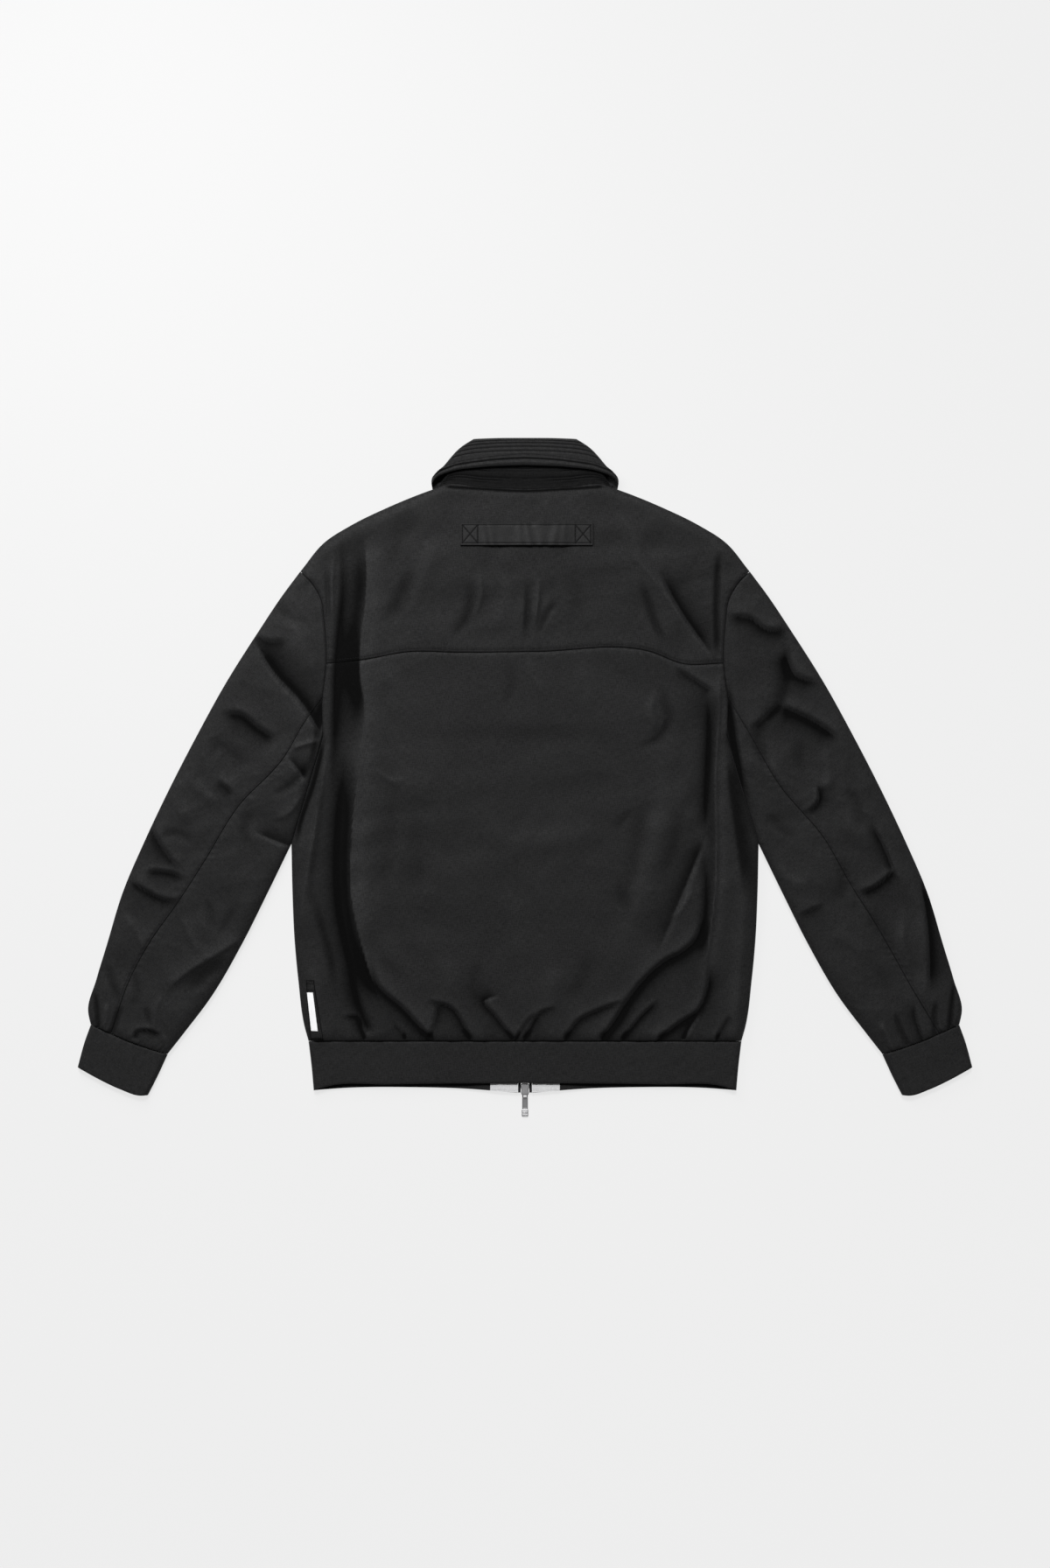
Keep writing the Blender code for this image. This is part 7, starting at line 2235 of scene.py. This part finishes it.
    def bail(self, rise: float) -> tuple[Array, Array, Array]:
        """The bail: a rounded bar along a line that leaves the slider, runs level
        and turns back into it round the pull's crossbar."""
        axis = self.axis_y + rise
        middle = self.bail_low + self.bail_bar / 2
        line = smooth_curve(knots(
            (axis + 8.2, 3.5), (axis + 7.7, 1.5), (axis + 6.6, middle), (axis + 3.0, middle),
            (axis - 0.4, middle), (axis - 1.35, 1.4), (axis - 1.45, 3.5),
        ))
        line = evenly(line, 0.35)
        way = ways(line)
        side, up = rounded_ring(
            np.full(len(line), self.bail_half), np.full(len(line), self.bail_bar / 2), 3.0, 12
        )
        y = line[:, :1] - way[:, 1:] * up
        z = line[:, 1:] + way[:, :1] * up
        return loft(np.stack([side, y, z], axis=-1))

    def pull(self, word: str, rise: float) -> Object:
        """A pull tab: a ring round the bail, a neck with a sunk panel, and a ribbed
        grip. It is made round its own crossbar and then tipped down to the table."""
        y = [np.linspace(-4.5, -18.4, 42), np.linspace(-18.6, -26.0, 44), [-26.3, -26.5, -26.6]]
        y = np.concatenate(y)
        neck = np.interp(
            y, (-26.6, -26.3, -25.8, -18.9, -18.4, -6.0, -4.5), (2.8, 3.3, 3.6, 3.6, 3.2, 3.2, 2.9)
        )
        ribs = 0.16 * np.clip(np.sin((y + 18.6) * 2 * math.pi / 1.5), -0.6, 0.6) * (y < -19.4) * (y > -25.6)
        wall = np.interp(y, (-26.6, -26.2, -25.6, -19.2, -18.5), (0.45, 0.8, 0.92, 0.92, 0.5)) + ribs
        x, z = rounded_ring(neck, wall, 5.0, 48)
        sunk = ease((2.3 - np.abs(x)) / 0.5) * (ease((y + 17.6) / 0.6) * ease((-6.2 - y) / 0.6))[:, None]
        z = z - np.sign(z) * 0.16 * sunk
        shaft = loft(np.stack([x, np.broadcast_to(y[:, None], x.shape), z], axis=-1))
        parts = together(shaft, self.pull_ring())
        points = parts[0]
        cos, sin = math.cos(self.tilt), math.sin(self.tilt)
        points = np.stack([
            points[:, 0], points[:, 1] * cos - points[:, 2] * sin + self.axis_y + rise,
            points[:, 1] * sin + points[:, 2] * cos + self.axis_z,
        ], axis=1)
        piece = add_mesh(f"zip_pull_tab_{word}", points, parts[1], parts[2], Finishes.metal, crisp=38.0)
        return stand_for(piece, f"zip_pull_{word}", f"pull_{word}")

    @staticmethod
    def pull_ring() -> tuple[Array, Array, Array]:
        """The pull's upper end: a flat bar bent round the hole, with both ends in
        the neck."""
        line = smooth_curve(knots(
            (2.3, -5.4), (2.45, -3.6), (2.4, -1.2), (1.9, -0.1), (0.0, 0.0), (-1.9, -0.1), (-2.4, -1.2),
            (-2.45, -3.6), (-2.3, -5.4),
        ))
        line = evenly(line, 0.3)
        way = ways(line)
        wide = 0.6 - 0.12 * (np.abs(line[:, 0]) < 1.6)
        side, up = rounded_ring(wide, np.full(len(line), 0.48), 3.0, 12)
        x = line[:, :1] - way[:, 1:] * side
        y = line[:, 1:] + way[:, :1] * side
        return loft(np.stack([x, y, up], axis=-1))


# ------------------------------------------------------------------ studio

@dataclass
class Studio:
    """A pale floor, a high soft light from the collar's side and a camera straight
    above."""

    pixel: float = 0.975  # millimetres for each pixel of the frame
    frame_height: int = 1792
    centre_y: float = -7.2
    lens: float = 85.0
    sensor: float = 36.0
    jacket_level: float = 10.0
    sun_turn: float = math.radians(34)
    sun_from: float = math.radians(2)  # round from the collar towards the left sleeve
    panel_watts: float = 10.5
    panel_size: float = 0.7  # metres, as is its place
    panel_at: tuple[float, float, float] = (-0.55, 0.85, 0.8)
    panel_turn: tuple[float, float, float] = (math.radians(-48), 0, math.radians(30))
    sun_spread: float = math.radians(14)
    sun_strength: float = 3.05
    fill: float = 0.1
    floor_white: float = 0.1
    floor_glow: float = 0.75

    def build(self) -> None:
        """Adds the floor, the lights and the camera."""
        self.floor()
        self.lights()
        self.camera()
        bpy.context.scene.view_settings.view_transform = "Standard"

    def floor(self) -> None:
        """A plain floor just under the jacket."""
        size, level = 4000.0, -0.3
        points = np.array([(x * size, y * size, level) for x, y in ((-1, -1), (1, -1), (1, 1), (-1, 1))]) * MM
        mesh = bpy.data.meshes.new("floor")
        mesh.from_pydata(points.tolist(), [], [(0, 1, 2, 3)])
        floor = add_object("floor", mesh)
        paint = bpy.data.materials.new("pale floor")
        paint.use_nodes = True
        shader = paint.node_tree.nodes["Principled BSDF"]
        shader.inputs["Base Color"].default_value = (*[self.floor_white] * 3, 1)
        shader.inputs["Roughness"].default_value = 0.9
        shader.inputs["Specular IOR Level"].default_value = 0.0
        shader.inputs["Emission Color"].default_value = (1, 1, 1, 1)
        shader.inputs["Emission Strength"].default_value = self.floor_glow
        mesh.materials.append(paint)

    def lights(self) -> None:
        """A wide sun from beyond the collar, a panel beyond the left shoulder and a sky."""
        sun = bpy.data.lights.new("window", "SUN")
        sun.energy, sun.angle = self.sun_strength, self.sun_spread
        add_object("window", sun).rotation_euler = (-self.sun_turn, 0, self.sun_from)
        panel = bpy.data.lights.new("panel", "AREA")
        panel.energy, panel.size = self.panel_watts, self.panel_size
        lamp = add_object("panel", panel)
        lamp.location, lamp.rotation_euler = self.panel_at, self.panel_turn
        world = bpy.data.worlds.new("sky")
        world.use_nodes = True
        sky = world.node_tree.nodes["Background"]
        sky.inputs["Color"].default_value = (1, 1, 1, 1)
        sky.inputs["Strength"].default_value = self.fill
        bpy.context.scene.world = world

    def camera(self) -> None:
        """A long lens straight above the middle of the frame."""
        data = bpy.data.cameras.new("camera")
        data.lens, data.sensor_width, data.sensor_fit = self.lens, self.sensor, "AUTO"
        above = self.frame_height * self.pixel * self.lens / self.sensor
        camera = add_object("camera", data)
        camera.location = (0, self.centre_y * MM, (above + self.jacket_level) * MM)
        data.clip_end = 50.0
        bpy.context.scene.camera = camera


def main() -> None:
    """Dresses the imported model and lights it."""
    logging.basicConfig(level=logging.INFO, format="%(name)s: %(message)s")
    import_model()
    assemblies = [Body(), Sleeve(Side.LEFT), Sleeve(Side.RIGHT), Cuff(Side.LEFT), Cuff(Side.RIGHT)]
    assemblies += [HemBand(), Collar(), HangerStrap(), SidePatch(), Facings(), SeamAllowances(), Zip()]
    for assembly in assemblies:
        for piece in assembly.build():
            LOG.info("%s: %d faces", piece.name, len(piece.data.polygons))
    Studio().build()


if __name__ == "__main__":
    main()
